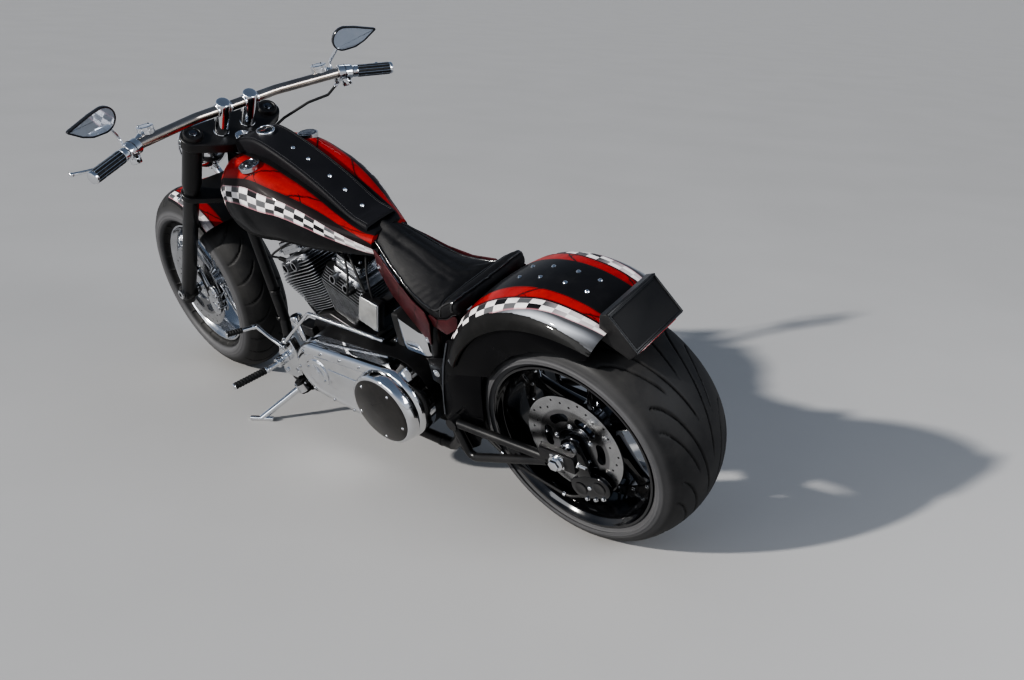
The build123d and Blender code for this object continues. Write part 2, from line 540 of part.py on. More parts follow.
# ==================================================================== wheels
for name, spec, z0, cxx, hub_y, disc_y, group in (
        ("front", FRONT_TYRE, FRONT_AXLE_Z, WHEELBASE, (-88, 79.5), FRONT_DISC_Y, (FORK, FRONT)),
        ("rear", REAR_TYRE, REAR_R, 0.0, (-149.9, 107), REAR_DISC_Y, (REAR,))):
    t = tyre(cz=z0, **spec)
    add(name + "_tyre", Pos(cxx, 0, 0) * t, *group)
    by, well = spec["bead"][0], spec["well"]
    rim = [ring(-by + 8, by - 8, well - 12, well, cxx, z0),
           lathe([(by - 8.5, well - 12), (by - 8.5, well), (by + 0.3, spec["bead"][1]), (by + 5, spec["bead"][1] - 2), (by + 5, well - 12)], cxx, z0) & ring(by - 9, by + 5, well - 12, spec["bead"][1] - 1, cxx, z0)]
    rim.append(mirror(rim[1], about=Plane.XZ))
    hub_r = 26 if name == "front" else 40
    hub = drum(hub_y[0], hub_y[1], hub_r, cxx, z0) + drum(disc_y - 9, disc_y, 60, cxx, z0)
    n = 7 if name == "front" else 5
    spokes = []
    for i in range(n):
        a = 360.0 / n * i + 90
        ca, sa = cos(radians(a)), sin(radians(a))
        w0, w1 = (17, 11) if name == "front" else (26, 17)
        p = [(20, -w0), (well - 8, -w1), (well - 8, w1), (20, w0)]
        pts = [(cxx + u * ca - v * sa, z0 + u * sa + v * ca) for u, v in p]
        spokes.append(slab(pts, -16 if name == "front" else -22, 16 if name == "front" else 22))
    wheel = join([rim[0], rim[1], rim[2], hub] + spokes) - drum(-300, 300, AXLE_BORE_R, cxx, z0)
    wheel -= NODES[name + "_tyre"]
    add(name + "_wheel_rim", wheel, *group)
    d = ring(disc_y, disc_y + DISC_T, 48, DISC_R, cxx, z0)
    add(name + "_brake_disc", d, *group)
rear_pulley = ring(PULLEY_Y0, PULLEY_Y1, AXLE_BORE_R + 8, PULLEY_R, 0, REAR_R)
add("rear_pulley", rear_pulley, REAR)

# ================================================================ side stand
P = Vector(*STAND_PIVOT)
AX = Vector(*STAND_AXIS).normalized()
eye_pl = Plane(origin=P - AX * 15, z_dir=AX)
lugs = [extrude(Plane(origin=P + AX * a, z_dir=AX) * Circle(14), amount=7) for a in (15.4, -22.4)]
web = box(P.X - 16, P.X + 16, 112, 127, P.Z - 27, P.Z + 27)
bracket = join([web] + lugs + [extrude(Plane(origin=P - AX * 24, z_dir=AX) * Circle(6), amount=48)]
               + [box(P.X - 12, P.X + 12, 126, 147, P.Z + zo, P.Z + zo + 5) for zo in (20.5, -26)])
NODES["main_frame"] = main_frame + bracket

# ------------------------------------------------ turn the fork, lay it over
steer_axis = Axis(HEAD_FOOT, HEAD_DIR)
for n in FORK:
    NODES[n] = NODES[n].rotate(steer_axis, STEER)


def rot_about(v, axis, ang):
    a = radians(ang)
    return v * cos(a) + axis.cross(v) * sin(a) + axis * (axis.dot(v) * (1 - cos(a)))


front_c = HEAD_FOOT + rot_about(Vector(WHEELBASE, 0, FRONT_AXLE_Z) - HEAD_FOOT, HEAD_DIR, STEER)
front_a = rot_about(Vector(0, 1, 0), HEAD_DIR, STEER)
rear_c, rear_a = Vector(0, 0, REAR_R), Vector(0, 1, 0)


def lay(v, pitch):
    """Lean to the left, then pitch nose down by a small angle."""
    v = rot_about(v, Vector(1, 0, 0), -LEAN)
    return rot_about(v, Vector(0, 1, 0), pitch)


def crown_arc(spec):
    (cy, cr), r = spec["crown"], spec["r"]
    rho = (cy * cy + (r - cr) ** 2) / (2 * (r - cr))
    return rho, r - rho


def lowest(c, a, spec, pitch):
    rho, rc = crown_arc(spec)
    cw, aw = lay(c, pitch), lay(a, pitch)
    return cw.Z - rc * sqrt(1 - aw.Z ** 2) - rho


pitch = 0.0
for _ in range(6):
    diff = lowest(front_c, front_a, FRONT_TYRE, pitch) - lowest(rear_c, rear_a, REAR_TYRE, pitch)
    pitch += degrees(diff / WHEELBASE)
drop = -lowest(rear_c, rear_a, REAR_TYRE, pitch)


def to_row(v):
    return lay(v, pitch) + Vector(0, 0, drop)


def lay_shape(s):
    s = s.rotate(Axis((0, 0, 0), (1, 0, 0)), -LEAN)
    s = s.rotate(Axis((0, 0, 0), (0, 1, 0)), pitch)
    return s.translate((0, 0, drop))


for n in NODES:
    NODES[n] = lay_shape(NODES[n])

# the stand's leg reaches from its eye down to a foot bar lying on the ground
PW, AW = to_row(P), lay(AX, pitch)
dirw = lay(Vector(*STAND_FOOT_DIR).normalized(), pitch)
FOOT_R = 8.0
t = (PW.Z - FOOT_R) / -dirw.Z
foot = PW + dirw * t
fdir = Vector(0.774, 0.633, 0)
leg = join([extrude(Plane(origin=PW - AW * 15, z_dir=AW) * Circle(19), amount=30), cyl(PW + dirw * 10, foot, 10),
            cyl(foot - fdir * 38, foot + fdir * 34, FOOT_R)])
leg -= extrude(Plane(origin=PW - AW * 30, z_dir=AW) * Circle(6.06), amount=60)
add("side_stand_leg", leg, STAND)

# --------------------------------------------- centre over the origin, export
lo = [min(tuple(s.bounding_box().min)[i] for s in NODES.values()) for i in range(3)]
hi = [max(tuple(s.bounding_box().max)[i] for s in NODES.values()) for i in range(3)]
SHIFT = Vector(-(lo[0] + hi[0]) / 2, -(lo[1] + hi[1]) / 2, -lo[2])
for n, s in NODES.items():
    out = s.translate(SHIFT)
    out.label = n
    export_step(out, "parts/" + n + ".step")


def show(label, v):
    print(label, [round(c, 5) for c in (v.X / 1000, v.Y / 1000, v.Z / 1000)])


def show_dir(label, v):
    print(label, [round(c, 6) for c in (v.X, v.Y, v.Z)])


print("nodes", len(NODES), "pitch", round(pitch, 4), "drop", round(drop, 3), "low", [round(v, 3) for v in lo], "high", [round(v, 3) for v in hi])
print("shift", [round(c, 4) for c in tuple(SHIFT)])
show("rear axle", to_row(rear_c) + SHIFT)
show_dir("rear axle dir", lay(rear_a, pitch))
show("front axle", to_row(front_c) + SHIFT)
show_dir("front axle dir", lay(front_a, pitch))
show("steering point", to_row(HEAD_FOOT + HEAD_DIR * 950) + SHIFT)
show_dir("steering dir", lay(HEAD_DIR, pitch))
show("stand pivot", PW + SHIFT)
show_dir("stand axis", AW)
show("stand foot", foot + SHIFT)
show("plate face", to_row(Vector((TAIL[0][0] + TAIL[1][0]) / 2, 0, (TAIL[0][1] + TAIL[1][1]) / 2)) + SHIFT)
show_dir("plate face normal", lay(Vector(TAIL[1][1] - TAIL[0][1], 0, TAIL[0][0] - TAIL[1][0]).normalized(), pitch))
print("stand leg length", round((foot - PW).length, 1))
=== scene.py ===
import bpy
import bmesh
import json
import numpy as np
from math import sin, cos, tan, pi, radians, degrees, sqrt, atan2, asin, floor
from mathutils import Matrix, Vector


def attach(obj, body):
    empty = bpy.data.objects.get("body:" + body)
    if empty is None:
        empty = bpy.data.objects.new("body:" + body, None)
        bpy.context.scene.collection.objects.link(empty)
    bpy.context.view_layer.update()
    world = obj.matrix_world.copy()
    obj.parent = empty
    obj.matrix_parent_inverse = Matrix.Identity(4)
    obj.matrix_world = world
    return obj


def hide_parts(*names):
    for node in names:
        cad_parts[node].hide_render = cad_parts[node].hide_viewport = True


# A stretched-tank chopper leaning on its side stand.  Every added piece is
# drawn in the upright machine's own frame (metres: x forward from the rear
# axle, y to the rider's left, z up) and carried into place by one matrix.

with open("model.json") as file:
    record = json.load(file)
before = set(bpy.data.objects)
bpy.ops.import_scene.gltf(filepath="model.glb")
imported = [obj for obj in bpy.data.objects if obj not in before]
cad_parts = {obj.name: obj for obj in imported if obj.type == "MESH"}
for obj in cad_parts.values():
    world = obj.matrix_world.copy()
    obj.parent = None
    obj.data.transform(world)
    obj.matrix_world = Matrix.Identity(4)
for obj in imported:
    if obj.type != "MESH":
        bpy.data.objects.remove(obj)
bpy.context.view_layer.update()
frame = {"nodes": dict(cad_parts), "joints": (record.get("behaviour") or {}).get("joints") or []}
NODE = frame["nodes"]
JOINT = {j["name"]: j for j in frame["joints"]}

# ------------------------------------------------------------------- frames
WB, TRAIL, RAKE = 1.648, 0.132, radians(31.7)
REAR_R, FRONT_Z = 0.327, 0.334
LEAN, STEER = radians(18.2), radians(-7.0)


def rot(axis, a):
    return Matrix.Rotation(a, 4, Vector(axis))


_ra = Vector(JOINT["rear_wheel_spin"]["pos_m"])
_pitch = -JOINT["rear_wheel_spin"]["axis"][0] / sin(LEAN)
M_CH = Matrix.Translation(_ra) @ rot((0, 1, 0), _pitch) @ rot((1, 0, 0), -LEAN) @ Matrix.Translation((0, 0, -REAR_R))
HEAD = Vector((-sin(RAKE), 0, cos(RAKE)))
HEAD_FWD = Vector((cos(RAKE), 0, sin(RAKE)))
HEAD_FOOT = Vector((WB + TRAIL, 0, 0))
M_FK = M_CH @ Matrix.Translation(HEAD_FOOT) @ rot(HEAD, STEER) @ Matrix.Translation(-HEAD_FOOT)
LEG_FWD = -TRAIL * cos(RAKE) + FRONT_Z * sin(RAKE)
AXLE_S = TRAIL * sin(RAKE) + FRONT_Z * cos(RAKE)
BODY_M = {"chassis": M_CH, "fork": M_FK, "front_wheel": M_FK, "rear_wheel": M_CH, "side_stand": M_CH}


def on_head(s, fwd=0.0, y=0.0):
    return HEAD_FOOT + HEAD * s + HEAD_FWD * fwd + Vector((0, y, 0))


# -------------------------------------------------------------- small maths
def V(*a):
    return np.array(a[0] if len(a) == 1 else a, float)


def unit(v):
    v = V(v)
    return v / np.linalg.norm(v)


def frame_of(d, up=(0, 0, 1)):
    """Two unit vectors across direction d; the second is as near to up as it can be."""
    d = unit(d)
    up = V(up)
    if abs(d @ up) > 0.999 * np.linalg.norm(up):
        up = V(1, 0, 0)
    a = unit(np.cross(up, d))
    b = np.cross(d, a)
    return a, b


def spline(xs, ys, x):
    """Smooth curve through a table (xs rising), with no overshoot at flat stretches."""
    xs, ys, x = V(xs), np.asarray(ys, float), np.asarray(x, float)
    if ys.ndim > 1:
        return np.stack([spline(xs, ys[:, i], x) for i in range(ys.shape[1])], -1)
    h = np.diff(xs)
    d = np.diff(ys) / h
    m = np.zeros(len(xs))
    m[0], m[-1] = d[0], d[-1]
    for i in range(1, len(xs) - 1):
        if d[i - 1] * d[i] > 0:
            w1, w2 = 2 * h[i] + h[i - 1], h[i] + 2 * h[i - 1]
            m[i] = (w1 + w2) / (w1 / d[i - 1] + w2 / d[i])
    k = np.clip(np.searchsorted(xs, x) - 1, 0, len(xs) - 2)
    t = np.clip((x - xs[k]) / h[k], 0, 1)
    return ((2 * t**3 - 3 * t**2 + 1) * ys[k] + (t**3 - 2 * t**2 + t) * h[k] * m[k]
            + (-2 * t**3 + 3 * t**2) * ys[k + 1] + (t**3 - t**2) * h[k] * m[k + 1])


def catmull(pts, n=8, closed=False):
    """Smooth line through points, n steps to a span."""
    p = V(pts)
    if closed:
        q = np.vstack([p[-1], p, p[0], p[1]])
        spans = len(p)
    else:
        q = np.vstack([2 * p[0] - p[1], p, 2 * p[-1] - p[-2]])
        spans = len(p) - 1
    out = []
    for i in range(spans):
        p0, p1, p2, p3 = q[i:i + 4]
        for t in np.linspace(0, 1, n, endpoint=False):
            out.append(0.5 * (2 * p1 + (p2 - p0) * t + (2 * p0 - 5 * p1 + 4 * p2 - p3) * t**2
                              + (3 * p1 - p0 - 3 * p2 + p3) * t**3))
    if not closed:
        out.append(p[-1])
    return np.array(out)


def rounded(pts, r, n=6):
    """A route of straight runs with its corners rounded to radius r (or a list of radii)."""
    pts = [V(p) for p in pts]
    rr = [r] * len(pts) if np.isscalar(r) else [0] + list(r) + [0]
    out = [pts[0]]
    for i in range(1, len(pts) - 1):
        a, b, c = pts[i - 1], pts[i], pts[i + 1]
        u, w = unit(a - b), unit(c - b)
        ang = np.arccos(np.clip(u @ w, -1, 1))
        if ang > 3.13 or rr[i] <= 0:
            out.append(b)
            continue
        t = min(rr[i] / tan(ang / 2), 0.49 * np.linalg.norm(a - b), 0.49 * np.linalg.norm(c - b))
        rad = t * tan(ang / 2)
        centre = b + unit(u + w) * (rad / sin(ang / 2))
        s, e = b + u * t - centre, b + w * t - centre
        tot = np.arccos(np.clip(unit(s) @ unit(e), -1, 1))
        for k in range(n + 1):
            f = k / n
            out.append(centre + (s * sin((1 - f) * tot) + e * sin(f * tot)) / sin(tot))
    out.append(pts[-1])
    return np.array(out)


# ------------------------------------------------------------ mesh building
class Build:
    """Gathers many small shapes into one mesh.  pat is a spare vector per vertex that materials read."""

    def __init__(s):
        s.v, s.f, s.m, s.p, s.n = [], [], [], [], 0

    def add(s, verts, faces, mat=0, pat=None):
        verts = np.asarray(verts, float).reshape(-1, 3)
        s.v.append(verts)
        s.p.append(np.zeros_like(verts) if pat is None else np.asarray(pat, float).reshape(-1, 3))
        s.f += [tuple(int(i) + s.n for i in f) for f in faces]
        s.m += [mat] * len(faces) if np.isscalar(mat) else list(mat)
        s.n += len(verts)
        return s

    def join(s, other, fn=None):
        vv = np.vstack(other.v)
        pp = np.vstack(other.p)
        s.add(vv if fn is None else fn(vv), other.f, other.m, pp)
        return s

    # -- shapes
    def grid(s, pts, close_u=False, close_v=False, cap=(False, False), mat=0, pat=None, flip=False):
        """pts is rows x columns x 3.  close_v joins the last column to the first, close_u the last row."""
        pts = np.asarray(pts, float)
        a, b = pts.shape[:2]
        f = []
        for i in range(a if close_u else a - 1):
            for j in range(b if close_v else b - 1):
                i2, j2 = (i + 1) % a, (j + 1) % b
                q = (i * b + j, i * b + j2, i2 * b + j2, i2 * b + j)
                f.append(q[::-1] if flip else q)
        if cap[0]:
            q = tuple(range(b))
            f.append(q if flip else q[::-1])
        if cap[1]:
            q = tuple((a - 1) * b + j for j in range(b))
            f.append(q[::-1] if flip else q)
        return s.add(pts.reshape(-1, 3), f, mat, pat)

    def lathe(s, profile, at=(0, 0, 0), axis=(0, 1, 0), n=48, mat=0, a0=0.0, a1=2 * pi, closed=False, cap=(False, False)):
        """(t, r) profile turned about an axis; t runs along the axis from at."""
        at, axis = V(at), unit(axis)
        u, w = frame_of(axis)
        full = abs(a1 - a0 - 2 * pi) < 1e-6
        ang = np.linspace(a0, a1, n, endpoint=not full)
        pr = V(profile)
        ring = np.cos(ang)[:, None] * u + np.sin(ang)[:, None] * w
        pts = at + pr[:, None, 0:1] * axis + pr[:, None, 1:2] * ring[None]
        return s.grid(pts, close_u=closed, close_v=full, mat=mat, cap=cap)

    def cyl(s, a, b, r, r2=None, n=24, mat=0, bev=0.0, caps=True):
        a, b = V(a), V(b)
        L = np.linalg.norm(b - a)
        r2 = r if r2 is None else r2
        e = min(bev, L * 0.4, r * 0.8)
        prof = [(0, r), (L, r2)] if e <= 0 else [(0, r - e), (e * 0.3, r - e * 0.3), (e, r), (L - e, r2), (L - e * 0.3, r2 - e * 0.3), (L, r2 - e)]
        return s.lathe(prof, a, b - a, n, mat, cap=(caps, caps))

    def tube(s, path, r, n=12, mat=0, closed=False, caps=True, up=(0, 0, 1), flat=1.0, pat=None):
        """Round tube along a path; r is one radius or one for each point; flat squeezes it across."""
        p = V(path)
        k = len(p)
        r = np.full(k, r) if np.isscalar(r) else V(r)
        t = np.zeros_like(p)
        if closed:
            t = np.roll(p, -1, 0) - np.roll(p, 1, 0)
        else:
            t[1:-1] = p[2:] - p[:-2]
            t[0], t[-1] = p[1] - p[0], p[-1] - p[-2]
        t /= np.linalg.norm(t, axis=1)[:, None]
        u, w = frame_of(t[0], up)
        rows = []
        for i in range(k):
            if i:
                u = u - t[i] * (u @ t[i])
                u /= np.linalg.norm(u)
                w = np.cross(t[i], u)
            ang = np.linspace(0, 2 * pi, n, endpoint=False)
            rows.append(p[i] + r[i] * (np.cos(ang)[:, None] * u + flat * np.sin(ang)[:, None] * w))
        return s.grid(rows, close_u=closed, close_v=True, cap=(caps and not closed,) * 2, mat=mat, pat=pat)

    def prism(s, outline, origin, ux, uy, depth, bev=0.0, mat=0, steps=2, both=True):
        """A flat outline (list of 2-D points, counter-clockwise) drawn out along ux x uy, with rounded edges."""
        o = V(outline)
        area = 0.5 * np.sum(o[:, 0] * np.roll(o[:, 1], -1) - np.roll(o[:, 0], -1) * o[:, 1])
        if area < 0:
            o = o[::-1]
        ux, uy, origin = V(ux), V(uy), V(origin)
        nz = np.cross(ux, uy)
        nrm = []
        k = len(o)
        for i in range(k):
            e0, e1 = o[i] - o[i - 1], o[(i + 1) % k] - o[i]
            n0, n1 = unit((e0[1], -e0[0])), unit((e1[1], -e1[0]))
            b = n0 + n1
            b = b / max(b @ b / 2, 0.5)
            nrm.append(b)
        nrm = V(nrm)
        lv = []
        if bev > 0:
            for q in range(steps + 1):
                a = pi / 2 * q / steps
                lv.append((bev * (1 - sin(a)), bev * (1 - cos(a))))
            lo = [(-(bev - x), y) for x, y in [(bev - 0, 0)]]
            prof = [(-(bev) * (1 - sin(pi / 2 * q / steps)), bev * (1 - cos(pi / 2 * q / steps))) for q in range(steps + 1)]
            rows = [(i, z) for i, z in prof] + ([(i, depth - z) for i, z in prof[::-1]] if both else [(0, depth)])
        else:
            rows = [(0, 0), (0, depth)]
        pts = []
        for ins, z in rows:
            q = o + nrm * ins
            pts.append(origin + q[:, 0:1] * ux + q[:, 1:2] * uy + z * nz)
        return s.grid(pts, close_v=True, cap=(True, True), mat=mat)

    def rbox(s, lo, hi, bev=0.002, mat=0, m=None, steps=2):
        """Box with rounded edges between two corners; m is an optional 4x4 that places it."""
        lo, hi = V(lo), V(hi)
        c, h = (lo + hi) / 2, (hi - lo) / 2
        e = min(bev, *(h * 0.99))
        k = steps + 1
        pr = [(e * (1 - cos(pi / 2 * q / steps)), e * (1 - sin(pi / 2 * q / steps))) for q in range(k)]
        pts = []
        for z, ins in [(-h[2] + a, b) for a, b in pr] + [(h[2] - a, b) for a, b in pr[::-1]]:
            ring = []
            rad = max(e, 1e-6)
            for cx, cy, a0 in ((1, 1, 0), (-1, 1, 1), (-1, -1, 2), (1, -1, 3)):
                for q in range(k):
                    a = pi / 2 * (a0 + q / steps)
                    ring.append((cx * (h[0] - rad) + (rad - ins) * cos(a), cy * (h[1] - rad) + (rad - ins) * sin(a), z))
            pts.append(ring)
        pts = np.array(pts) + c
        if m is not None:
            pts = pts.reshape(-1, 3) @ np.array(m)[:3, :3].T + np.array(m)[:3, 3]
            pts = pts.reshape(2 * k, -1, 3)
        return s.grid(pts, close_v=True, cap=(True, True), mat=mat)

    def sphere(s, c, r, mat=0, n=20, squash=(1, 1, 1), k=12):
        c = V(c)
        rows = []
        for i in range(1, k):
            a = pi * i / k
            ang = np.linspace(0, 2 * pi, n, endpoint=False)
            rows.append(c + r * V(squash) * np.stack([sin(a) * np.cos(ang), sin(a) * np.sin(ang), np.full(n, -cos(a))], -1))
        return s.grid(rows, close_v=True, cap=(True, True), mat=mat)

    def bolt(s, at, d, r=0.006, h=0.005, mat=0, kind="hex", washer=True):
        """A screw head standing on a surface at 'at', pointing along d."""
        at, d = V(at), unit(d)
        u, w = frame_of(d)
        z = 0.0
        if washer:
            s.lathe([(-0.0006, r * 1.35), (0.0008, r * 1.35), (0.0012, r * 1.2), (0.0012, 0.0002)], at, d, 20, mat)
            z = 0.001
        if kind == "hex":
            ang = np.arange(6) * pi / 3
            hexo = np.stack([r * np.cos(ang), r * np.sin(ang)], -1)
            s.prism(hexo, at + d * z, u, w, h, bev=r * 0.14, mat=mat, steps=2)
        elif kind == "dome":
            a = np.linspace(0, pi / 2, 6)
            prof = [(0.0, r)] + [(z + h * sin(q), r * cos(q) + 1e-5) for q in a]
            s.lathe(prof, at, d, 20, mat, cap=(False, True))
        else:                                                # socket head
            e = r * 0.12
            prof = [(0, r), (z + h - e, r), (z + h, r - e), (z + h, r * 0.55)]
            s.lathe(prof, at, d, 20, mat)
            ang = np.arange(6) * pi / 3
            rows = [[at + d * (z + h) + q * (cos(a) * u + sin(a) * w) for a in ang] for q in (r * 0.55, r * 0.5)]
            rows.append([at + d * (z + h * 0.35) + r * 0.5 * (cos(a) * u + sin(a) * w) for a in ang])
            ring = [at + d * (z + h) + r * 0.55 * (cos(a) * u + sin(a) * w) for a in ang]
            s.grid([ring, rows[1], rows[2]], close_v=True, cap=(False, True), mat=mat)
        return s

    # -- output
    def mesh(s, name):
        me = bpy.data.meshes.new(name)
        me.from_pydata(np.vstack(s.v).tolist(), [], s.f)
        me.polygons.foreach_set("material_index", s.m)
        at = me.attributes.new("pat", "FLOAT_VECTOR", "POINT")
        at.data.foreach_set("vector", np.vstack(s.p).ravel())
        me.update()
        return me

    def piece(s, name, body, mats, replaces=(), slot=None, smooth=35, merge=0.0, subsurf=0, bevel=0.0, solid=0.0, matrix=None, recalc=True, offset=-1.0):
        me = s.mesh(name)
        bm = bmesh.new()
        bm.from_mesh(me)
        if merge > 0:
            bmesh.ops.remove_doubles(bm, verts=bm.verts, dist=merge)
        if recalc:
            bmesh.ops.recalc_face_normals(bm, faces=bm.faces)
        bm.to_mesh(me)
        bm.free()
        for m in mats if isinstance(mats, (list, tuple)) else [mats]:
            me.materials.append(m)
        for p in me.polygons:
            p.use_smooth = True
        if smooth and smooth < 180:
            me.set_sharp_from_angle(angle=radians(smooth))
        o = bpy.data.objects.new(name, me)
        bpy.context.scene.collection.objects.link(o)
        o.matrix_world = BODY_M[body] if matrix is None else matrix
        if solid:
            md = o.modifiers.new("thick", "SOLIDIFY")
            md.thickness, md.offset = solid, offset
        if bevel:
            md = o.modifiers.new("bevel", "BEVEL")
            md.width, md.segments, md.limit_method, md.angle_limit = bevel, 2, "ANGLE", radians(40)
        if subsurf:
            md = o.modifiers.new("sub", "SUBSURF")
            md.levels = md.render_levels = subsurf
        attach(o, body)
        if replaces:
            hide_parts(*((replaces,) if isinstance(replaces, str) else replaces))
        return o


def mirror_y(b):
    """The same shapes on the other side of the centre plane."""
    c = Build()
    c.v = [v * V(1, -1, 1) for v in b.v]
    c.p, c.n, c.m = [p.copy() for p in b.p], b.n, list(b.m)
    c.f = [f[::-1] for f in b.f]
    return c


def with_mirror(b):
    c = mirror_y(b)
    b.join(c)
    return b


def circle_pts(cx, cy, r, a0, a1, n):
    a = np.radians(np.linspace(a0, a1, n))
    return [(cx + r * cos(t), cy + r * sin(t)) for t in a]


def hull2(circles, n=40):
    """Outline round several (x, y, r) circles."""
    pts = []
    for x, y, r in circles:
        for k in range(n):
            a = 2 * pi * k / n
            pts.append((x + r * cos(a), y + r * sin(a)))
    pts = sorted(set(pts))

    def half(ps):
        h = []
        for p in ps:
            while len(h) > 1 and (h[-1][0] - h[-2][0]) * (p[1] - h[-2][1]) - (h[-1][1] - h[-2][1]) * (p[0] - h[-2][0]) <= 1e-12:
                h.pop()
            h.append(p)
        return h
    lower, upper = half(pts), half(pts[::-1])
    return lower[:-1] + upper[:-1]


def fillet2(pts, r, n=4):
    """Closed 2-D outline with rounded corners."""
    pts = [V(p) for p in pts]
    k = len(pts)
    rr = [r] * k if np.isscalar(r) else r
    out = []
    for i in range(k):
        a, b, c = pts[i - 1], pts[i], pts[(i + 1) % k]
        u, w = unit(a - b), unit(c - b)
        ang = np.arccos(np.clip(u @ w, -1, 1))
        if ang > 3.1 or rr[i] <= 0:
            out.append(tuple(b))
            continue
        t = min(rr[i] / tan(ang / 2), 0.48 * np.linalg.norm(a - b), 0.48 * np.linalg.norm(c - b))
        rad = t * tan(ang / 2)
        centre = b + unit(u + w) * (rad / sin(ang / 2))
        s, e = b + u * t - centre, b + w * t - centre
        tot = np.arccos(np.clip(unit(s) @ unit(e), -1, 1))
        for q in range(n + 1):
            f = q / n
            p = centre + (s * sin((1 - f) * tot) + e * sin(f * tot)) / sin(tot)
            out.append(tuple(p))
    return out


EX, EY, EZ = V(1, 0, 0), V(0, 1, 0), V(0, 0, 1)
# ---------------------------------------------------------------- materials
class NB:
    """Short forms for building one material's nodes."""

    def __init__(s, name):
        s.mat = bpy.data.materials.new(name)
        s.mat.use_nodes = True
        s.nt = s.mat.node_tree
        s.bsdf = s.nt.nodes["Principled BSDF"]
        s.out = s.nt.nodes["Material Output"]

    def node(s, kind, **kw):
        n = s.nt.nodes.new(kind)
        for k, v in kw.items():
            setattr(n, k, v)
        return n

    def link(s, a, b):
        s.nt.links.new(a, b)

    def put(s, sock, v):
        if isinstance(v, bpy.types.NodeSocket):
            s.link(v, sock)
        elif v is not None:
            sock.default_value = v

    def set(s, **kw):
        for k, v in kw.items():
            s.put(s.bsdf.inputs[k.replace("_", " ")], v)
        return s

    def obj(s):
        return s.node("ShaderNodeTexCoord").outputs["Object"]

    def attr(s, name="pat"):
        return s.node("ShaderNodeAttribute", attribute_name=name).outputs["Vector"]

    def sep(s, v):
        n = s.node("ShaderNodeSeparateXYZ")
        s.put(n.inputs[0], v)
        return n.outputs[0], n.outputs[1], n.outputs[2]

    def comb(s, x, y, z):
        n = s.node("ShaderNodeCombineXYZ")
        for i, v in enumerate((x, y, z)):
            s.put(n.inputs[i], v)
        return n.outputs[0]

    def map(s, v, scale=(1, 1, 1), loc=(0, 0, 0), rot=(0, 0, 0)):
        n = s.node("ShaderNodeMapping")
        s.put(n.inputs[0], v)
        n.inputs["Scale"].default_value, n.inputs["Location"].default_value, n.inputs["Rotation"].default_value = scale, loc, rot
        return n.outputs[0]

    def noise(s, v, scale=5.0, detail=4.0, rough=0.55, dist=0.0, out=0):
        n = s.node("ShaderNodeTexNoise")
        s.put(n.inputs["Vector"], v)
        for k, x in (("Scale", scale), ("Detail", detail), ("Roughness", rough), ("Distortion", dist)):
            s.put(n.inputs[k], x)
        return n.outputs[out]

    def voronoi(s, v, scale=5.0, feature="F1", out=0, rand=1.0, dims="3D"):
        n = s.node("ShaderNodeTexVoronoi", feature=feature, voronoi_dimensions=dims)
        s.put(n.inputs["Vector"], v)
        n.inputs["Scale"].default_value = scale
        n.inputs["Randomness"].default_value = rand
        return n.outputs[out]

    def m(s, op, a, b=None, c=None, clamp=False):
        n = s.node("ShaderNodeMath", operation=op, use_clamp=clamp)
        s.put(n.inputs[0], a)
        s.put(n.inputs[1], b)
        s.put(n.inputs[2], c)
        return n.outputs[0]

    def vm(s, op, a, b=None):
        n = s.node("ShaderNodeVectorMath", operation=op)
        s.put(n.inputs[0], a)
        s.put(n.inputs[1], b)
        return n.outputs["Value"] if op in ("LENGTH", "DOT_PRODUCT", "DISTANCE") else n.outputs[0]

    def ramp(s, f, stops, mode="LINEAR"):
        n = s.node("ShaderNodeValToRGB")
        n.color_ramp.interpolation = mode
        e = n.color_ramp.elements
        while len(e) > 1:
            e.remove(e[-1])
        for i, (pos, col) in enumerate(stops):
            col = (col, col, col, 1) if np.isscalar(col) else (tuple(col) + (1,))[:4]
            if i == 0:
                e[0].position, e[0].color = pos, col
            else:
                x = e.new(pos)
                x.color = col
        s.put(n.inputs[0], f)
        return n.outputs[0]

    def range(s, f, a, b, c=0.0, d=1.0, smooth=False):
        n = s.node("ShaderNodeMapRange", interpolation_type="SMOOTHSTEP" if smooth else "LINEAR")
        for i, v in enumerate((f, a, b, c, d)):
            s.put(n.inputs[i], v)
        return n.outputs[0]

    def mix(s, f, a, b, mode="MIX"):
        n = s.node("ShaderNodeMix", data_type="RGBA", blend_type=mode)
        col = lambda c: (c, c, c, 1) if np.isscalar(c) else ((tuple(c) + (1,))[:4] if not isinstance(c, bpy.types.NodeSocket) else c)
        s.put(n.inputs[0], f)
        s.put(n.inputs[6], a if isinstance(a, bpy.types.NodeSocket) else col(a))
        s.put(n.inputs[7], b if isinstance(b, bpy.types.NodeSocket) else col(b))
        return n.outputs[2]

    def bump(s, h, strength=0.3, dist=0.001, normal=None):
        n = s.node("ShaderNodeBump")
        s.put(n.inputs["Height"], h)
        n.inputs["Strength"].default_value = strength
        n.inputs["Distance"].default_value = dist
        if normal is not None:
            s.link(normal, n.inputs["Normal"])
        return n.outputs[0]


def rgb(r, g, b):
    """sRGB 0-255 to linear."""
    f = lambda c: (c / 255 / 12.92) if c / 255 <= 0.04045 else ((c / 255 + 0.055) / 1.055) ** 2.4
    return (f(r), f(g), f(b))


MATS = {}


def material(name):
    def deco(fn):
        MATS[name] = fn
        return fn
    return deco


_made = {}


def mat(name):
    if name not in _made:
        nb = NB(name)
        MATS[name](nb)
        _made[name] = nb.mat
    return _made[name]


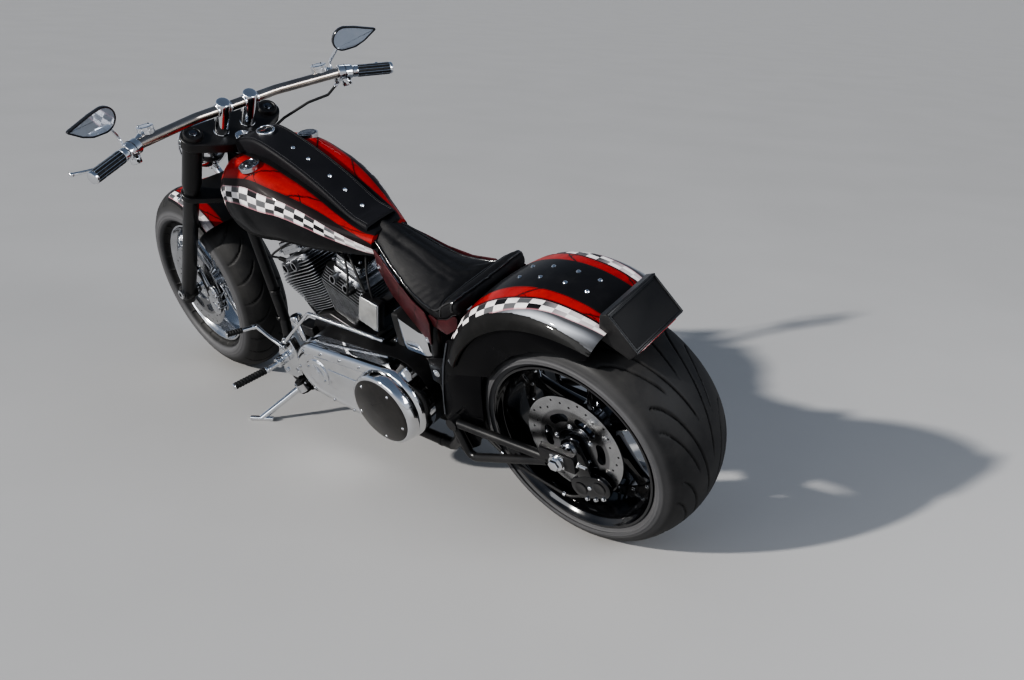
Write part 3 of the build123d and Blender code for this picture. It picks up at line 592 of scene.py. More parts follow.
def chrome_like(nb, col, rough=0.05, smudge=0.06, tint=None):
    o = nb.obj()
    n1 = nb.noise(o, 14.0, 5.0, 0.6)
    n2 = nb.noise(o, 160.0, 3.0, 0.6)
    dust = nb.range(n1, 0.45, 0.75, 0.0, 1.0)
    c = nb.mix(nb.m("MULTIPLY", dust, 0.35), col, tint or tuple(x * 0.72 for x in col))
    nb.set(Base_Color=c, Metallic=1.0, Roughness=nb.m("ADD", nb.m("MULTIPLY", dust, smudge), nb.range(n2, 0.3, 0.8, rough, rough + 0.05)))
    nb.set(Normal=nb.bump(nb.noise(o, 40.0, 2.0, 0.5), 0.05, 0.0006))


@material("chrome")
def _(nb):
    chrome_like(nb, (0.80, 0.81, 0.83))


@material("chrome_worn")
def _(nb):
    chrome_like(nb, (0.62, 0.63, 0.65), 0.14, 0.12)


@material("chrome_dark")
def _(nb):
    chrome_like(nb, (0.20, 0.21, 0.23), 0.12, 0.1)


@material("nickel")
def _(nb):
    o = nb.obj()
    n1 = nb.noise(nb.map(o, (3, 30, 30)), 12.0, 4.0, 0.6)
    c = nb.mix(nb.range(n1, 0.3, 0.8), (0.62, 0.55, 0.47), (0.42, 0.36, 0.31))
    nb.set(Base_Color=c, Metallic=1.0, Roughness=nb.range(n1, 0.3, 0.8, 0.17, 0.3))
    nb.set(Normal=nb.bump(n1, 0.06, 0.0005))


@material("aluminium")
def _(nb):
    o = nb.obj()
    n1 = nb.noise(o, 30.0, 5.0, 0.65)
    n2 = nb.noise(o, 420.0, 2.0, 0.5)
    c = nb.mix(nb.range(n1, 0.35, 0.75), (0.55, 0.56, 0.58), (0.30, 0.30, 0.31))
    nb.set(Base_Color=c, Metallic=1.0, Roughness=nb.range(n1, 0.2, 0.8, 0.26, 0.46))
    nb.set(Normal=nb.bump(n2, 0.12, 0.0005))


@material("fin_black")
def _(nb):
    o = nb.obj()
    n1 = nb.noise(o, 60.0, 4.0, 0.6)
    c = nb.mix(nb.range(n1, 0.35, 0.75), (0.022, 0.022, 0.024), (0.05, 0.05, 0.052))
    nb.set(Base_Color=c, Metallic=0.0, Roughness=nb.range(n1, 0.2, 0.8, 0.38, 0.62), Specular_IOR_Level=0.5)
    nb.set(Normal=nb.bump(nb.noise(o, 900.0, 2.0, 0.5), 0.25, 0.0004))


@material("satin_black")
def _(nb):
    o = nb.obj()
    n1 = nb.noise(o, 9.0, 6.0, 0.62)
    n2 = nb.noise(o, 700.0, 2.0, 0.5)
    c = nb.mix(nb.range(n1, 0.45, 0.8), (0.012, 0.012, 0.013), (0.028, 0.027, 0.027))
    nb.set(Base_Color=c, Roughness=nb.range(n1, 0.3, 0.8, 0.28, 0.45), Specular_IOR_Level=0.5, Coat_Weight=0.15, Coat_Roughness=0.35)
    nb.set(Normal=nb.bump(n2, 0.10, 0.0003))


@material("matt_black")
def _(nb):
    o = nb.obj()
    n1 = nb.noise(o, 12.0, 6.0, 0.62)
    n2 = nb.noise(o, 900.0, 2.0, 0.5)
    c = nb.mix(nb.range(n1, 0.4, 0.8), (0.010, 0.010, 0.011), (0.022, 0.022, 0.023))
    nb.set(Base_Color=c, Roughness=nb.range(n1, 0.3, 0.8, 0.55, 0.72), Specular_IOR_Level=0.4)
    nb.set(Normal=nb.bump(n2, 0.15, 0.0003))


@material("gloss_black")
def _(nb):
    o = nb.obj()
    n1 = nb.noise(o, 18.0, 5.0, 0.6)
    n2 = nb.noise(o, 6.0, 3.0, 0.5)
    c = nb.mix(nb.range(n1, 0.5, 0.85), (0.005, 0.005, 0.006), (0.015, 0.015, 0.016))
    nb.set(Base_Color=c, Roughness=nb.range(n1, 0.3, 0.8, 0.08, 0.2), Specular_IOR_Level=0.55, Coat_Weight=1.0, Coat_Roughness=0.03)
    nb.set(Normal=nb.bump(n2, 0.02, 0.002))


@material("rubber")
def _(nb):
    o = nb.obj()
    n1 = nb.noise(o, 25.0, 6.0, 0.65)
    n2 = nb.noise(o, 500.0, 3.0, 0.6)
    c = nb.mix(nb.range(n1, 0.35, 0.75), (0.014, 0.014, 0.015), (0.034, 0.033, 0.032))
    nb.set(Base_Color=c, Roughness=nb.range(n1, 0.2, 0.8, 0.55, 0.78), Specular_IOR_Level=0.35)
    nb.set(Normal=nb.bump(n2, 0.2, 0.0004))


@material("rubber_soft")
def _(nb):
    o = nb.obj()
    n1 = nb.noise(o, 40.0, 5.0, 0.65)
    c = nb.mix(nb.range(n1, 0.35, 0.75), (0.018, 0.018, 0.019), (0.03, 0.03, 0.03))
    nb.set(Base_Color=c, Roughness=nb.range(n1, 0.2, 0.8, 0.42, 0.6), Specular_IOR_Level=0.45)
    nb.set(Normal=nb.bump(nb.noise(o, 700.0, 2.0, 0.6), 0.2, 0.0003))


@material("glass")
def _(nb):
    o = nb.obj()
    n1 = nb.noise(o, 30.0, 4.0, 0.6)
    nb.set(Base_Color=(0.92, 0.94, 0.96, 1), Roughness=nb.range(n1, 0.3, 0.8, 0.01, 0.05), IOR=1.5, Transmission_Weight=1.0)


@material("mirror_face")
def _(nb):
    o = nb.obj()
    n1 = nb.noise(o, 12.0, 4.0, 0.6)
    nb.set(Base_Color=nb.mix(nb.range(n1, 0.5, 0.9), (0.86, 0.88, 0.90), (0.74, 0.77, 0.80)), Metallic=1.0, Roughness=nb.range(n1, 0.3, 0.9, 0.01, 0.05))


@material("red_lens")
def _(nb):
    o = nb.obj()
    x, y, z = nb.sep(o)
    g = nb.m("SINE", nb.m("MULTIPLY", y, 1400.0))
    nb.set(Base_Color=nb.mix(nb.range(nb.noise(o, 60.0), 0.3, 0.8), (0.42, 0.012, 0.012), (0.26, 0.006, 0.006)), Roughness=0.12, Coat_Weight=1.0, Coat_Roughness=0.04)
    nb.set(Normal=nb.bump(g, 0.2, 0.0006))


@material("red_plastic")
def _(nb):
    o = nb.obj()
    nb.set(Base_Color=nb.mix(nb.range(nb.noise(o, 60.0), 0.3, 0.8), (0.45, 0.03, 0.03), (0.3, 0.012, 0.014)), Roughness=0.3)
@material("tyre")
def _(nb):
    # pat: groove depth, radius, cross-wise place
    o = nb.obj()
    g, r, y = nb.sep(nb.attr())
    n1 = nb.noise(o, 11.0, 6.0, 0.65)
    n2 = nb.noise(o, 420.0, 3.0, 0.6)
    dust = nb.range(n1, 0.36, 0.72)
    c = nb.mix(dust, (0.013, 0.013, 0.014), (0.036, 0.035, 0.034))
    ay = nb.m("ABSOLUTE", y)
    # painted sunlight: the sidewall and a ring by the bead are made lighter grey, standing in for the sunlit sidewall
    side = nb.m("MULTIPLY", nb.range(ay, 0.84, 0.93), nb.range(r, 0.995, 0.93))
    painted_sunlit_bead_ring = nb.m("MULTIPLY", nb.range(ay, 0.84, 0.93), nb.range(r, 0.90, 0.87))
    c = nb.mix(nb.m("MULTIPLY", side, 0.85), c, nb.mix(n1, (0.030, 0.030, 0.032), (0.062, 0.062, 0.064)))
    c = nb.mix(nb.m("MULTIPLY", painted_sunlit_bead_ring, 0.8), c, nb.mix(n1, (0.075, 0.075, 0.078), (0.13, 0.13, 0.135)))
    # painted shade: the groove bottoms are darkened to near black
    c = nb.mix(nb.m("MULTIPLY", g, 0.85), c, (0.004, 0.004, 0.004))
    nb.set(Base_Color=c, Roughness=nb.range(n1, 0.2, 0.8, 0.46, 0.72), Specular_IOR_Level=0.42)
    nb.set(Normal=nb.bump(n2, 0.18, 0.0004))


@material("disc")
def _(nb):
    o = nb.obj()
    x, y, z = nb.sep(nb.attr())
    rad = nb.vm("LENGTH", nb.comb(x, 0.0, z))
    ringn = nb.noise(nb.comb(nb.m("MULTIPLY", rad, 900.0), 0.0, 0.0), 1.0, 3.0, 0.6)
    n1 = nb.noise(o, 22.0, 4.0, 0.6)
    c = nb.mix(nb.range(n1, 0.3, 0.8), (0.56, 0.565, 0.57), (0.42, 0.42, 0.425))
    c = nb.mix(nb.range(rad, 0.104, 0.108), nb.mix(n1, (0.34, 0.34, 0.345), (0.24, 0.24, 0.245)), c)
    nb.set(Base_Color=c, Metallic=1.0, Roughness=nb.range(ringn, 0.3, 0.7, 0.15, 0.26))
    nb.set(Normal=nb.bump(ringn, 0.15, 0.0003))


@material("grip")
def _(nb):
    o = nb.obj()
    n1 = nb.noise(o, 60.0, 5.0, 0.65)
    nb.set(Base_Color=nb.mix(nb.range(n1, 0.35, 0.75), (0.012, 0.012, 0.013), (0.027, 0.027, 0.027)), Roughness=nb.range(n1, 0.2, 0.8, 0.4, 0.6))
    nb.set(Normal=nb.bump(nb.noise(o, 800.0, 2.0, 0.6), 0.25, 0.0003))


@material("chrome_brushed")
def _(nb):
    o = nb.obj()
    n1 = nb.noise(nb.map(o, (1.0, 60.0, 1.0)), 14.0, 4.0, 0.6)
    n2 = nb.noise(o, 18.0, 4.0, 0.6)
    nb.set(Base_Color=nb.mix(nb.range(n2, 0.35, 0.8), (0.66, 0.66, 0.67), (0.44, 0.44, 0.45)), Metallic=1.0, Roughness=nb.range(n1, 0.2, 0.8, 0.16, 0.32))
    nb.set(Normal=nb.bump(n1, 0.08, 0.0004))
def painted(nb, rows, red_k, crack_len, slope, fade_lo, fade_hi, side_band_colour):
    """Paint from pat: x length along, y band place (1-2 red, 2-3 line, 3-4 chequer, 4-5 side), z cell count along."""
    o = nb.obj()
    L, b, cell = nb.sep(nb.attr())
    n_big = nb.noise(o, 9.0, 5.0, 0.6)
    n_mid = nb.noise(o, 46.0, 5.0, 0.65)
    n_fine = nb.noise(o, 240.0, 4.0, 0.6)
    black = nb.mix(n_big, (0.008, 0.008, 0.009), (0.015, 0.015, 0.017))
    # red panels: worn plates parted by slanting cracks
    wob = nb.m("MULTIPLY", nb.m("SUBTRACT", n_mid, 0.5), 0.030)
    t = nb.m("ADD", nb.m("ADD", L, nb.m("MULTIPLY", nb.m("SUBTRACT", b, 1.5), slope)), wob)
    t = nb.m("MULTIPLY", t, 1.0 / crack_len)
    d = nb.m("MULTIPLY", nb.m("ABSOLUTE", nb.m("SUBTRACT", nb.m("FRACT", t), 0.5)), crack_len)
    crack = nb.range(d, 0.0032, 0.0018, smooth=True)
    half = nb.range(d, 0.010, 0.003)
    # a second, finer crack leaving the first
    t2 = nb.m("ADD", nb.m("ADD", L, nb.m("MULTIPLY", nb.m("SUBTRACT", b, 1.9), slope * -0.9)), nb.m("MULTIPLY", wob, 1.3))
    d2 = nb.m("MULTIPLY", nb.m("ABSOLUTE", nb.m("SUBTRACT", nb.m("FRACT", nb.m("MULTIPLY", t2, 1.0 / crack_len)), 0.5)), crack_len)
    crack2 = nb.m("MULTIPLY", nb.range(d2, 0.0020, 0.0010), nb.range(b, 1.55, 1.62))
    red = nb.mix(nb.range(n_big, 0.3, 0.7), (0.40 * red_k, 0.024, 0.018), (0.28 * red_k, 0.015, 0.012))
    red = nb.mix(nb.m("MULTIPLY", nb.range(n_mid, 0.52, 0.75), 0.55), red, (0.17 * red_k, 0.010, 0.008))
    red = nb.mix(nb.m("MULTIPLY", nb.range(n_fine, 0.62, 0.72), 0.55), red, (0.48 * red_k, 0.07, 0.045))
    edge_w = nb.m("MULTIPLY", nb.m("SUBTRACT", nb.noise(o, 120.0, 4.0, 0.7), 0.5), 0.16)
    be = nb.m("ADD", b, edge_w)
    red = nb.mix(nb.m("MULTIPLY", nb.range(be, 1.16, 1.02), 0.7), red, (0.09, 0.008, 0.006))
    red = nb.mix(nb.m("MULTIPLY", nb.range(be, 1.88, 1.99), 0.6), red, (0.13, 0.008, 0.006))
    red = nb.mix(nb.m("MULTIPLY", half, 0.55), red, (0.13, 0.008, 0.006))
    red = nb.mix(nb.m("MAXIMUM", crack, crack2), red, (0.010, 0.005, 0.005))
    # chequer
    row = nb.m("FLOOR", nb.m("MULTIPLY", nb.m("SUBTRACT", b, 3.0), float(rows)))
    col = nb.m("FLOOR", cell)
    par = nb.m("MODULO", nb.m("ADD", nb.m("ADD", row, col), 40.0), 2.0)
    par = nb.m("GREATER_THAN", par, 0.5)
    white = nb.mix(nb.range(n_mid, 0.35, 0.7), (0.78, 0.76, 0.75), (0.60, 0.56, 0.57))
    grey = nb.noise(nb.comb(col, row, 0.0), 3.7, 0.0, 0.5)
    dark = nb.mix(nb.range(grey, 0.45, 0.62), (0.012, 0.012, 0.014), (0.12, 0.12, 0.125))
    fade = nb.range(L, fade_lo, fade_hi)
    cheq = nb.mix(par, nb.mix(fade, dark, (0.50, 0.46, 0.47)), white)
    cheq = nb.mix(nb.m("MULTIPLY", nb.range(b, 3.86, 3.97), 0.8), cheq, (0.42, 0.20, 0.23))
    cheq = nb.mix(nb.m("MULTIPLY", nb.range(b, 3.09, 3.02), 0.6), cheq, (0.30, 0.16, 0.18))
    # colour of the side band; on the rear fender it holds a painted highlight as well as silver paint
    side = side_band_colour(nb, L, b, n_big, black)
    c = nb.mix(nb.m("GREATER_THAN", b, 1.0), black, red)
    c = nb.mix(nb.m("GREATER_THAN", b, 2.0), c, nb.mix(0.5, (0.010, 0.008, 0.009), (0.020, 0.008, 0.009)))
    c = nb.mix(nb.m("GREATER_THAN", b, 3.0), c, cheq)
    c = nb.mix(nb.m("GREATER_THAN", b, 4.0), c, side)
    c = nb.mix(nb.m("LESS_THAN", b, -0.5), c, (0.012, 0.012, 0.012))
    dust = nb.range(nb.noise(o, 14.0, 6.0, 0.7), 0.5, 0.85)
    c = nb.mix(nb.m("MULTIPLY", dust, 0.05), c, (0.26, 0.255, 0.25))
    nb.set(Base_Color=c, Roughness=nb.range(n_big, 0.3, 0.8, 0.46, 0.60), Specular_IOR_Level=0.15, Coat_Weight=0.24, Coat_Roughness=0.06)
    return c


@material("paint_tank")
def _(nb):
    def side_band_colour(nb, L, b, n, black):
        g = nb.m("MULTIPLY", nb.range(b, 4.05, 4.5), nb.range(b, 5.3, 4.7))
        return nb.mix(nb.m("MULTIPLY", g, 0.5), black, (0.028, 0.028, 0.029))
    painted(nb, 3, 1.0, 0.15, 0.07, 0.62, 0.68, side_band_colour)


@material("paint_fender")
def _(nb):
    def side_band_colour(nb, L, b, n, black):
        # a soft bright sweep that falls from the stripe towards the tail: partly silver airbrush paint, partly a
        # painted highlight of the sun's reflection
        bc = nb.range(L, 0.505, 0.714, 4.08, 5.02)
        d = nb.m("SUBTRACT", bc, b)
        far = nb.range(L, 0.86, 0.77)
        # grey haze above the sweep: partly silver paint, partly painted sheen
        haze_paint_and_sheen = nb.m("MULTIPLY", nb.m("LESS_THAN", b, bc), nb.range(L, 0.36, 0.45, smooth=True))
        c = nb.mix(nb.m("MULTIPLY", haze_paint_and_sheen, 0.8), black, nb.mix(n, (0.060, 0.063, 0.070), (0.085, 0.088, 0.095)))
        edge = nb.m("MULTIPLY", nb.range(d, 0.26, 0.05), nb.m("MULTIPLY", nb.range(d, -0.03, 0.01), nb.range(L, 0.51, 0.60)))
        # a second narrow bright band just under the stripe: partly silver paint, partly painted highlight
        top = nb.m("SUBTRACT", b, nb.range(L, 0.60, 0.76, 4.14, 4.42))
        top = nb.m("MULTIPLY", nb.range(nb.m("ABSOLUTE", top), 0.30, 0.02), nb.range(L, 0.57, 0.67, 0.0, 0.85))
        f = nb.m("MULTIPLY", nb.m("MAXIMUM", edge, top), far)
        return nb.mix(f, c, nb.mix(n, (0.46, 0.48, 0.53), (0.56, 0.58, 0.62)))
    painted(nb, 2, 1.0, 0.18, 0.05, 0.69, 0.77, side_band_colour)


@material("paint_front")
def _(nb):
    def side_band_colour(nb, L, b, n, black):
        return black
    painted(nb, 2, 1.0, 0.17, 0.07, 0.70, 0.77, side_band_colour)


@material("leather")
def _(nb):
    o = nb.obj()
    grain = nb.voronoi(o, 520.0, "F1")
    grain2 = nb.voronoi(o, 1250.0, "F1")
    wr = nb.noise(nb.map(o, (1.0, 2.2, 1.0)), 26.0, 7.0, 0.7, 0.4)
    n1 = nb.noise(o, 8.0, 5.0, 0.6)
    dust = nb.range(nb.noise(o, 30.0, 6.0, 0.7), 0.52, 0.8)
    c = nb.mix(n1, (0.010, 0.010, 0.011), (0.018, 0.018, 0.020))
    c = nb.mix(nb.m("MULTIPLY", dust, 0.25), c, (0.075, 0.073, 0.07))
    h = nb.m("ADD", nb.m("MULTIPLY", grain, 0.7), nb.m("MULTIPLY", grain2, 0.35))
    nrm = nb.bump(h, 0.35, 0.0009)
    nrm = nb.bump(wr, 0.30, 0.0035, nrm)
    nb.set(Base_Color=c, Roughness=nb.range(n1, 0.3, 0.75, 0.50, 0.62), Specular_IOR_Level=0.30, Normal=nrm)


@material("console_leather")
def _(nb):
    o = nb.obj()
    grain = nb.voronoi(o, 600.0, "F1")
    n1 = nb.noise(o, 12.0, 5.0, 0.6)
    c = nb.mix(n1, (0.010, 0.010, 0.012), (0.019, 0.019, 0.023))
    nb.set(Base_Color=c, Roughness=nb.range(n1, 0.3, 0.75, 0.52, 0.66), Specular_IOR_Level=0.28, Normal=nb.bump(grain, 0.25, 0.0007))


@material("stitch")
def _(nb):
    nb.set(Base_Color=(0.10, 0.10, 0.105, 1), Roughness=0.7)


@material("maroon")
def _(nb):
    o = nb.obj()
    x, y, z = nb.sep(o)
    n1 = nb.noise(o, 16.0, 6.0, 0.65)
    n2 = nb.noise(o, 90.0, 5.0, 0.7)
    c = nb.mix(nb.range(n1, 0.35, 0.68), (0.072, 0.014, 0.017), (0.030, 0.009, 0.011))
    c = nb.mix(nb.m("MULTIPLY", nb.range(n2, 0.58, 0.74), 0.4), c, (0.14, 0.028, 0.028))
    w = nb.m("MULTIPLY", nb.m("SUBTRACT", n1, 0.5), 0.05)
    t = nb.m("MULTIPLY", nb.m("ADD", nb.m("ADD", x, nb.m("MULTIPLY", z, 0.5)), w), 1 / 0.09)
    d = nb.m("ABSOLUTE", nb.m("SUBTRACT", nb.m("FRACT", t), 0.5))
    c = nb.mix(nb.range(d, 0.030, 0.016), c, (0.012, 0.005, 0.005))
    nb.set(Base_Color=c, Roughness=0.42, Specular_IOR_Level=0.3, Coat_Weight=0.2, Coat_Roughness=0.15)


@material("dial")
def _(nb):
    x, y, z = nb.sep(nb.attr())
    r = nb.vm("LENGTH", nb.comb(x, y, 0.0))
    ang = nb.m("ARCTAN2", y, x)
    t = nb.m("MULTIPLY", ang, 36 / (2 * pi))
    d = nb.m("ABSOLUTE", nb.m("SUBTRACT", nb.m("FRACT", t), 0.5))
    major = nb.m("LESS_THAN", nb.m("ABSOLUTE", nb.m("SUBTRACT", nb.m("FRACT", nb.m("MULTIPLY", t, 1 / 3)), 0.5)), 0.05)
    tick = nb.m("MULTIPLY", nb.m("LESS_THAN", d, 0.10), nb.m("GREATER_THAN", r, 0.86))
    tick = nb.m("MULTIPLY", tick, nb.m("LESS_THAN", r, 0.95))
    tick = nb.m("MAXIMUM", tick, nb.m("MULTIPLY", major, nb.m("MULTIPLY", nb.m("GREATER_THAN", r, 0.74), nb.m("LESS_THAN", r, 0.95))))
    hand = nb.m("MULTIPLY", nb.m("LESS_THAN", nb.m("ABSOLUTE", nb.m("SUBTRACT", y, nb.m("MULTIPLY", x, -0.45))), 0.035), nb.m("MULTIPLY", nb.m("LESS_THAN", x, 0.10), nb.m("LESS_THAN", r, 0.8)))
    c = nb.mix(tick, (0.006, 0.006, 0.007), (0.65, 0.66, 0.66))
    c = nb.mix(hand, c, (0.55, 0.05, 0.02))
    nb.set(Base_Color=c, Roughness=0.35)


@material("piping")
def _(nb):
    o = nb.obj()
    n1 = nb.noise(o, 60.0, 5.0, 0.6)
    nb.set(Base_Color=nb.mix(n1, (0.020, 0.020, 0.021), (0.034, 0.034, 0.036)), Roughness=nb.range(n1, 0.3, 0.8, 0.18, 0.30), Specular_IOR_Level=0.65, Coat_Weight=0.5, Coat_Roughness=0.12)


@material("mirror_blue")
def _(nb):
    o = nb.obj()
    n1 = nb.noise(o, 12.0, 4.0, 0.6)
    nb.set(Base_Color=nb.mix(nb.range(n1, 0.4, 0.9), (0.60, 0.65, 0.72), (0.52, 0.57, 0.65)), Metallic=0.55, Roughness=nb.range(n1, 0.3, 0.9, 0.02, 0.07))
# ------------------------------------------------ painted surfaces as functions
def arc3(p0, pm, p1, t):
    """Points at fractions t of the arc through three 2-D points."""
    p0, pm, p1 = V(p0), V(pm), V(p1)
    ax, ay = p0
    bx, by = pm
    cx, cy = p1
    d = 2 * (ax * (by - cy) + bx * (cy - ay) + cx * (ay - by))
    if abs(d) < 1e-9:
        return p0 + (p1 - p0) * np.asarray(t)[:, None]
    ux = ((ax**2 + ay**2) * (by - cy) + (bx**2 + by**2) * (cy - ay) + (cx**2 + cy**2) * (ay - by)) / d
    uy = ((ax**2 + ay**2) * (cx - bx) + (bx**2 + by**2) * (ax - cx) + (cx**2 + cy**2) * (bx - ax)) / d
    c = V(ux, uy)
    r = np.linalg.norm(p0 - c)
    a0, am, a1 = (atan2(*(p - c)[::-1]) for p in (p0, pm, p1))
    wrap = lambda a, b: (a - b) % (2 * pi)
    if wrap(am, a0) < wrap(a1, a0):
        a = a0 + wrap(a1, a0) * np.asarray(t)
    else:
        a = a0 - wrap(a0, a1) * np.asarray(t)
    return c + r * np.stack([np.cos(a), np.sin(a)], -1)


TANK_ROWS = V([
    (1262, 24, 836, 60, 792, 36, 748), (1205, 66, 874, 128, 796, 95, 694), (1130, 95, 920, 160, 800, 122, 686),
    (1042, 104, 918, 172, 800, 132, 694), (930, 98, 882, 168, 795, 130, 704), (820, 78, 836, 145, 780, 118, 702),
    (720, 50, 783, 102, 750, 88, 695), (650, 25, 754, 70, 728, 62, 690)])[::-1] / 1000


def tank_section(x):
    """Half outline of the tank at x: a dense (y, z) line from the centre over the side to the tunnel's edge, with its lengths."""
    t, zt, w, zs, b, zb = spline(TANK_ROWS[:, 0], TANK_ROWS[:, 1:], np.array([x]))[0]
    um, uz = t + (w - t) * 0.72, zs + (zt - zs) * 0.70
    lm, lz = b + (w - b) * 0.78, zb + (zs - zb) * 0.42
    f = np.linspace(0, 1, 40)
    top = np.stack([np.linspace(0, t, 10), np.full(10, zt)], -1)
    p = np.vstack([top[:-1], arc3((t, zt), (um, uz), (w, zs), f)[:-1], arc3((w, zs), (lm, lz), (b, zb), f)[:-1],
                   np.stack([np.linspace(b, 0.03, 12), np.full(12, zb)], -1)])
    s = np.concatenate([[0], np.cumsum(np.linalg.norm(np.diff(p, axis=0), axis=1))])
    return p, s


def tank_point(x, s):
    """Points on the left half at x and at lengths s from the crown line."""
    p, q = tank_section(x)
    return np.stack([np.full(len(s), x), np.interp(s, q, p[:, 0]), np.interp(s, q, p[:, 1])], -1)


FEN_C = (0.041, 0.386)
FEN_A0, FEN_A1, FEN_LOW = 27.0, 110.0, 0.366


def fender_section():
    f = np.linspace(0, 1, 30)
    rc, (sy, sr), (ty, tr), (ey, er) = 0.3655, (0.110, 0.355), (0.146, 0.338), (0.161, 0.300)
    crown = arc3((-sy, sr), (0, rc), (sy, sr), np.linspace(0.5, 1, 30))
    side = arc3((sy, sr), (ty, tr), (ey, er), f)
    p = np.vstack([crown[:-1], side, [(ey, 0.24)]])
    s = np.concatenate([[0], np.cumsum(np.linalg.norm(np.diff(p, axis=0), axis=1))])
    return p, s


_FP, _FS = fender_section()


def fender_reach(th, r):
    """Distance from the axle, along direction th, to the circle r about the crown's centre."""
    dx, dz = -FEN_C[0], REAR_R - FEN_C[1]
    k = dx * np.cos(th) + dz * np.sin(th)
    return -k + np.sqrt(k * k - dx * dx - dz * dz + r * r)


def fender_low(th):
    s = np.linspace(0, _FS[-1], 1500)
    t = fender_reach(th, np.interp(s, _FS, _FP[:, 1]))
    bad = np.where(t < FEN_LOW)[0]
    return s[bad[0]] if len(bad) else s[-1]


def fender_point(th, s, off=0.0):
    y, r = np.interp(s, _FS, _FP[:, 0]), np.interp(s, _FS, _FP[:, 1])
    e = 1e-4
    dy = np.interp(s + e, _FS, _FP[:, 0]) - np.interp(s - e, _FS, _FP[:, 0])
    dr = np.interp(s + e, _FS, _FP[:, 1]) - np.interp(s - e, _FS, _FP[:, 1])
    n = np.sqrt(dy * dy + dr * dr) + 1e-12
    y, r = y - off * dr / n * -1, r + off * dy / n
    t = fender_reach(th, r)
    return np.stack([t * np.cos(th), y, REAR_R + t * np.sin(th)], -1)
@material("dome_black")
def _(nb):
    o = nb.obj()
    n1 = nb.noise(o, 20.0, 6.0, 0.65)
    n2 = nb.noise(o, 130.0, 5.0, 0.7)
    c = nb.mix(nb.range(n1, 0.35, 0.7), (0.018, 0.017, 0.017), (0.040, 0.038, 0.036))
    c = nb.mix(nb.m("MULTIPLY", nb.range(n2, 0.6, 0.75), 0.4), c, (0.09, 0.085, 0.08))
    nb.set(Base_Color=c, Metallic=0.35, Roughness=nb.range(n1, 0.2, 0.8, 0.24, 0.40), Coat_Weight=0.4, Coat_Roughness=0.15)


@material("alu_face")
def _(nb):
    o = nb.obj()
    n1 = nb.noise(nb.map(o, (3.0, 1.0, 90.0)), 9.0, 4.0, 0.6)
    n2 = nb.noise(o, 30.0, 5.0, 0.6)
    c = nb.mix(nb.range(n2, 0.3, 0.75), (0.56, 0.56, 0.55), (0.42, 0.42, 0.41))
    nb.set(Base_Color=c, Metallic=0.85, Roughness=nb.range(n1, 0.2, 0.8, 0.38, 0.52), Normal=nb.bump(n1, 0.15, 0.0004))


@material("nickel_worn")
def _(nb):
    o = nb.obj()
    n1 = nb.noise(o, 14.0, 5.0, 0.6)
    n2 = nb.noise(nb.map(o, (1.0, 0.15, 1.0)), 190.0, 4.0, 0.6)
    c = nb.mix(nb.range(n1, 0.35, 0.7), (0.62, 0.56, 0.50), (0.46, 0.40, 0.35))
    nb.set(Base_Color=c, Metallic=1.0, Roughness=nb.range(n2, 0.3, 0.8, 0.13, 0.26))


@material("panel_black")
def _(nb):
    o = nb.obj()
    n1 = nb.noise(o, 11.0, 5.0, 0.6)
    n2 = nb.noise(o, 4.0, 3.0, 0.5)
    nb.set(Base_Color=nb.mix(nb.range(n1, 0.4, 0.8), (0.003, 0.003, 0.004), (0.008, 0.008, 0.009)), Roughness=nb.range(n1, 0.3, 0.8, 0.14, 0.30), Specular_IOR_Level=0.14, Coat_Weight=0.12, Coat_Roughness=0.04)
    nb.set(Normal=nb.bump(n2, 0.03, 0.003))


@material("mirror_back")
def _(nb):
    o = nb.obj()
    n1 = nb.noise(o, 40.0, 5.0, 0.6)
    nb.set(Base_Color=nb.mix(n1, (0.016, 0.017, 0.020), (0.030, 0.031, 0.035)), Roughness=0.22, Coat_Weight=0.6, Coat_Roughness=0.08)
# ------------------------------------------------------------------- wheels
from mathutils.geometry import tessellate_polygon


def plate(b, loops, origin, ux, uy, depth, mat=0, pat=False):
    """A flat plate: first loop is its edge, the others are holes, drawn out along ux x uy."""
    ux, uy, origin = V(ux), V(uy), V(origin)
    nz = np.cross(ux, uy)
    tri = tessellate_polygon([[Vector((p[0], p[1], 0)) for p in lp] for lp in loops])
    flat = V([p for lp in loops for p in lp])
    k = len(flat)
    base = origin + flat[:, 0:1] * ux + flat[:, 1:2] * uy
    vv = np.vstack([base, base + nz * depth])
    a2 = flat[:, :2]
    f = []
    for t in tri:
        p, q, r = a2[t[0]], a2[t[1]], a2[t[2]]
        if (q[0] - p[0]) * (r[1] - p[1]) - (q[1] - p[1]) * (r[0] - p[0]) < 0:
            t = t[::-1]
        f.append(tuple(i + k for i in t))
        f.append(tuple(t[::-1]))
    s = 0
    for lp in loops:
        n = len(lp)
        for i in range(n):
            f.append((s + i, s + (i + 1) % n, s + (i + 1) % n + k, s + i + k))
        s += n
    p = np.vstack([np.stack([flat[:, 0], flat[:, 0] * 0, flat[:, 1]], -1)] * 2) if pat else None
    return b.add(vv, f, mat, p)


def kidney(r0, r1, a0, a1, n=10):
    """Slot between two radii and two angles (degrees), with round ends."""
    rm, h = (r0 + r1) / 2, (r1 - r0) / 2
    e = degrees(h / rm)
    out = circle_pts(0, 0, r1, a0 + e, a1 - e, n)
    ca = radians(a1 - e)
    c = (rm * cos(ca), rm * sin(ca))
    out += [(c[0] + h * cos(ca + q), c[1] + h * sin(ca + q)) for q in np.linspace(0.35, pi - 0.35, 5)]
    out += circle_pts(0, 0, r0, a1 - e, a0 + e, n)
    ca = radians(a0 + e)
    c = (rm * cos(ca), rm * sin(ca))
    out += [(c[0] + h * cos(ca + pi + q), c[1] + h * sin(ca + pi + q)) for q in np.linspace(0.35, pi - 0.35, 5)]
    return out


def circ(x, y, r, n=12):
    return [(x + r * cos(2 * pi * k / n), y + r * sin(2 * pi * k / n)) for k in range(n)]


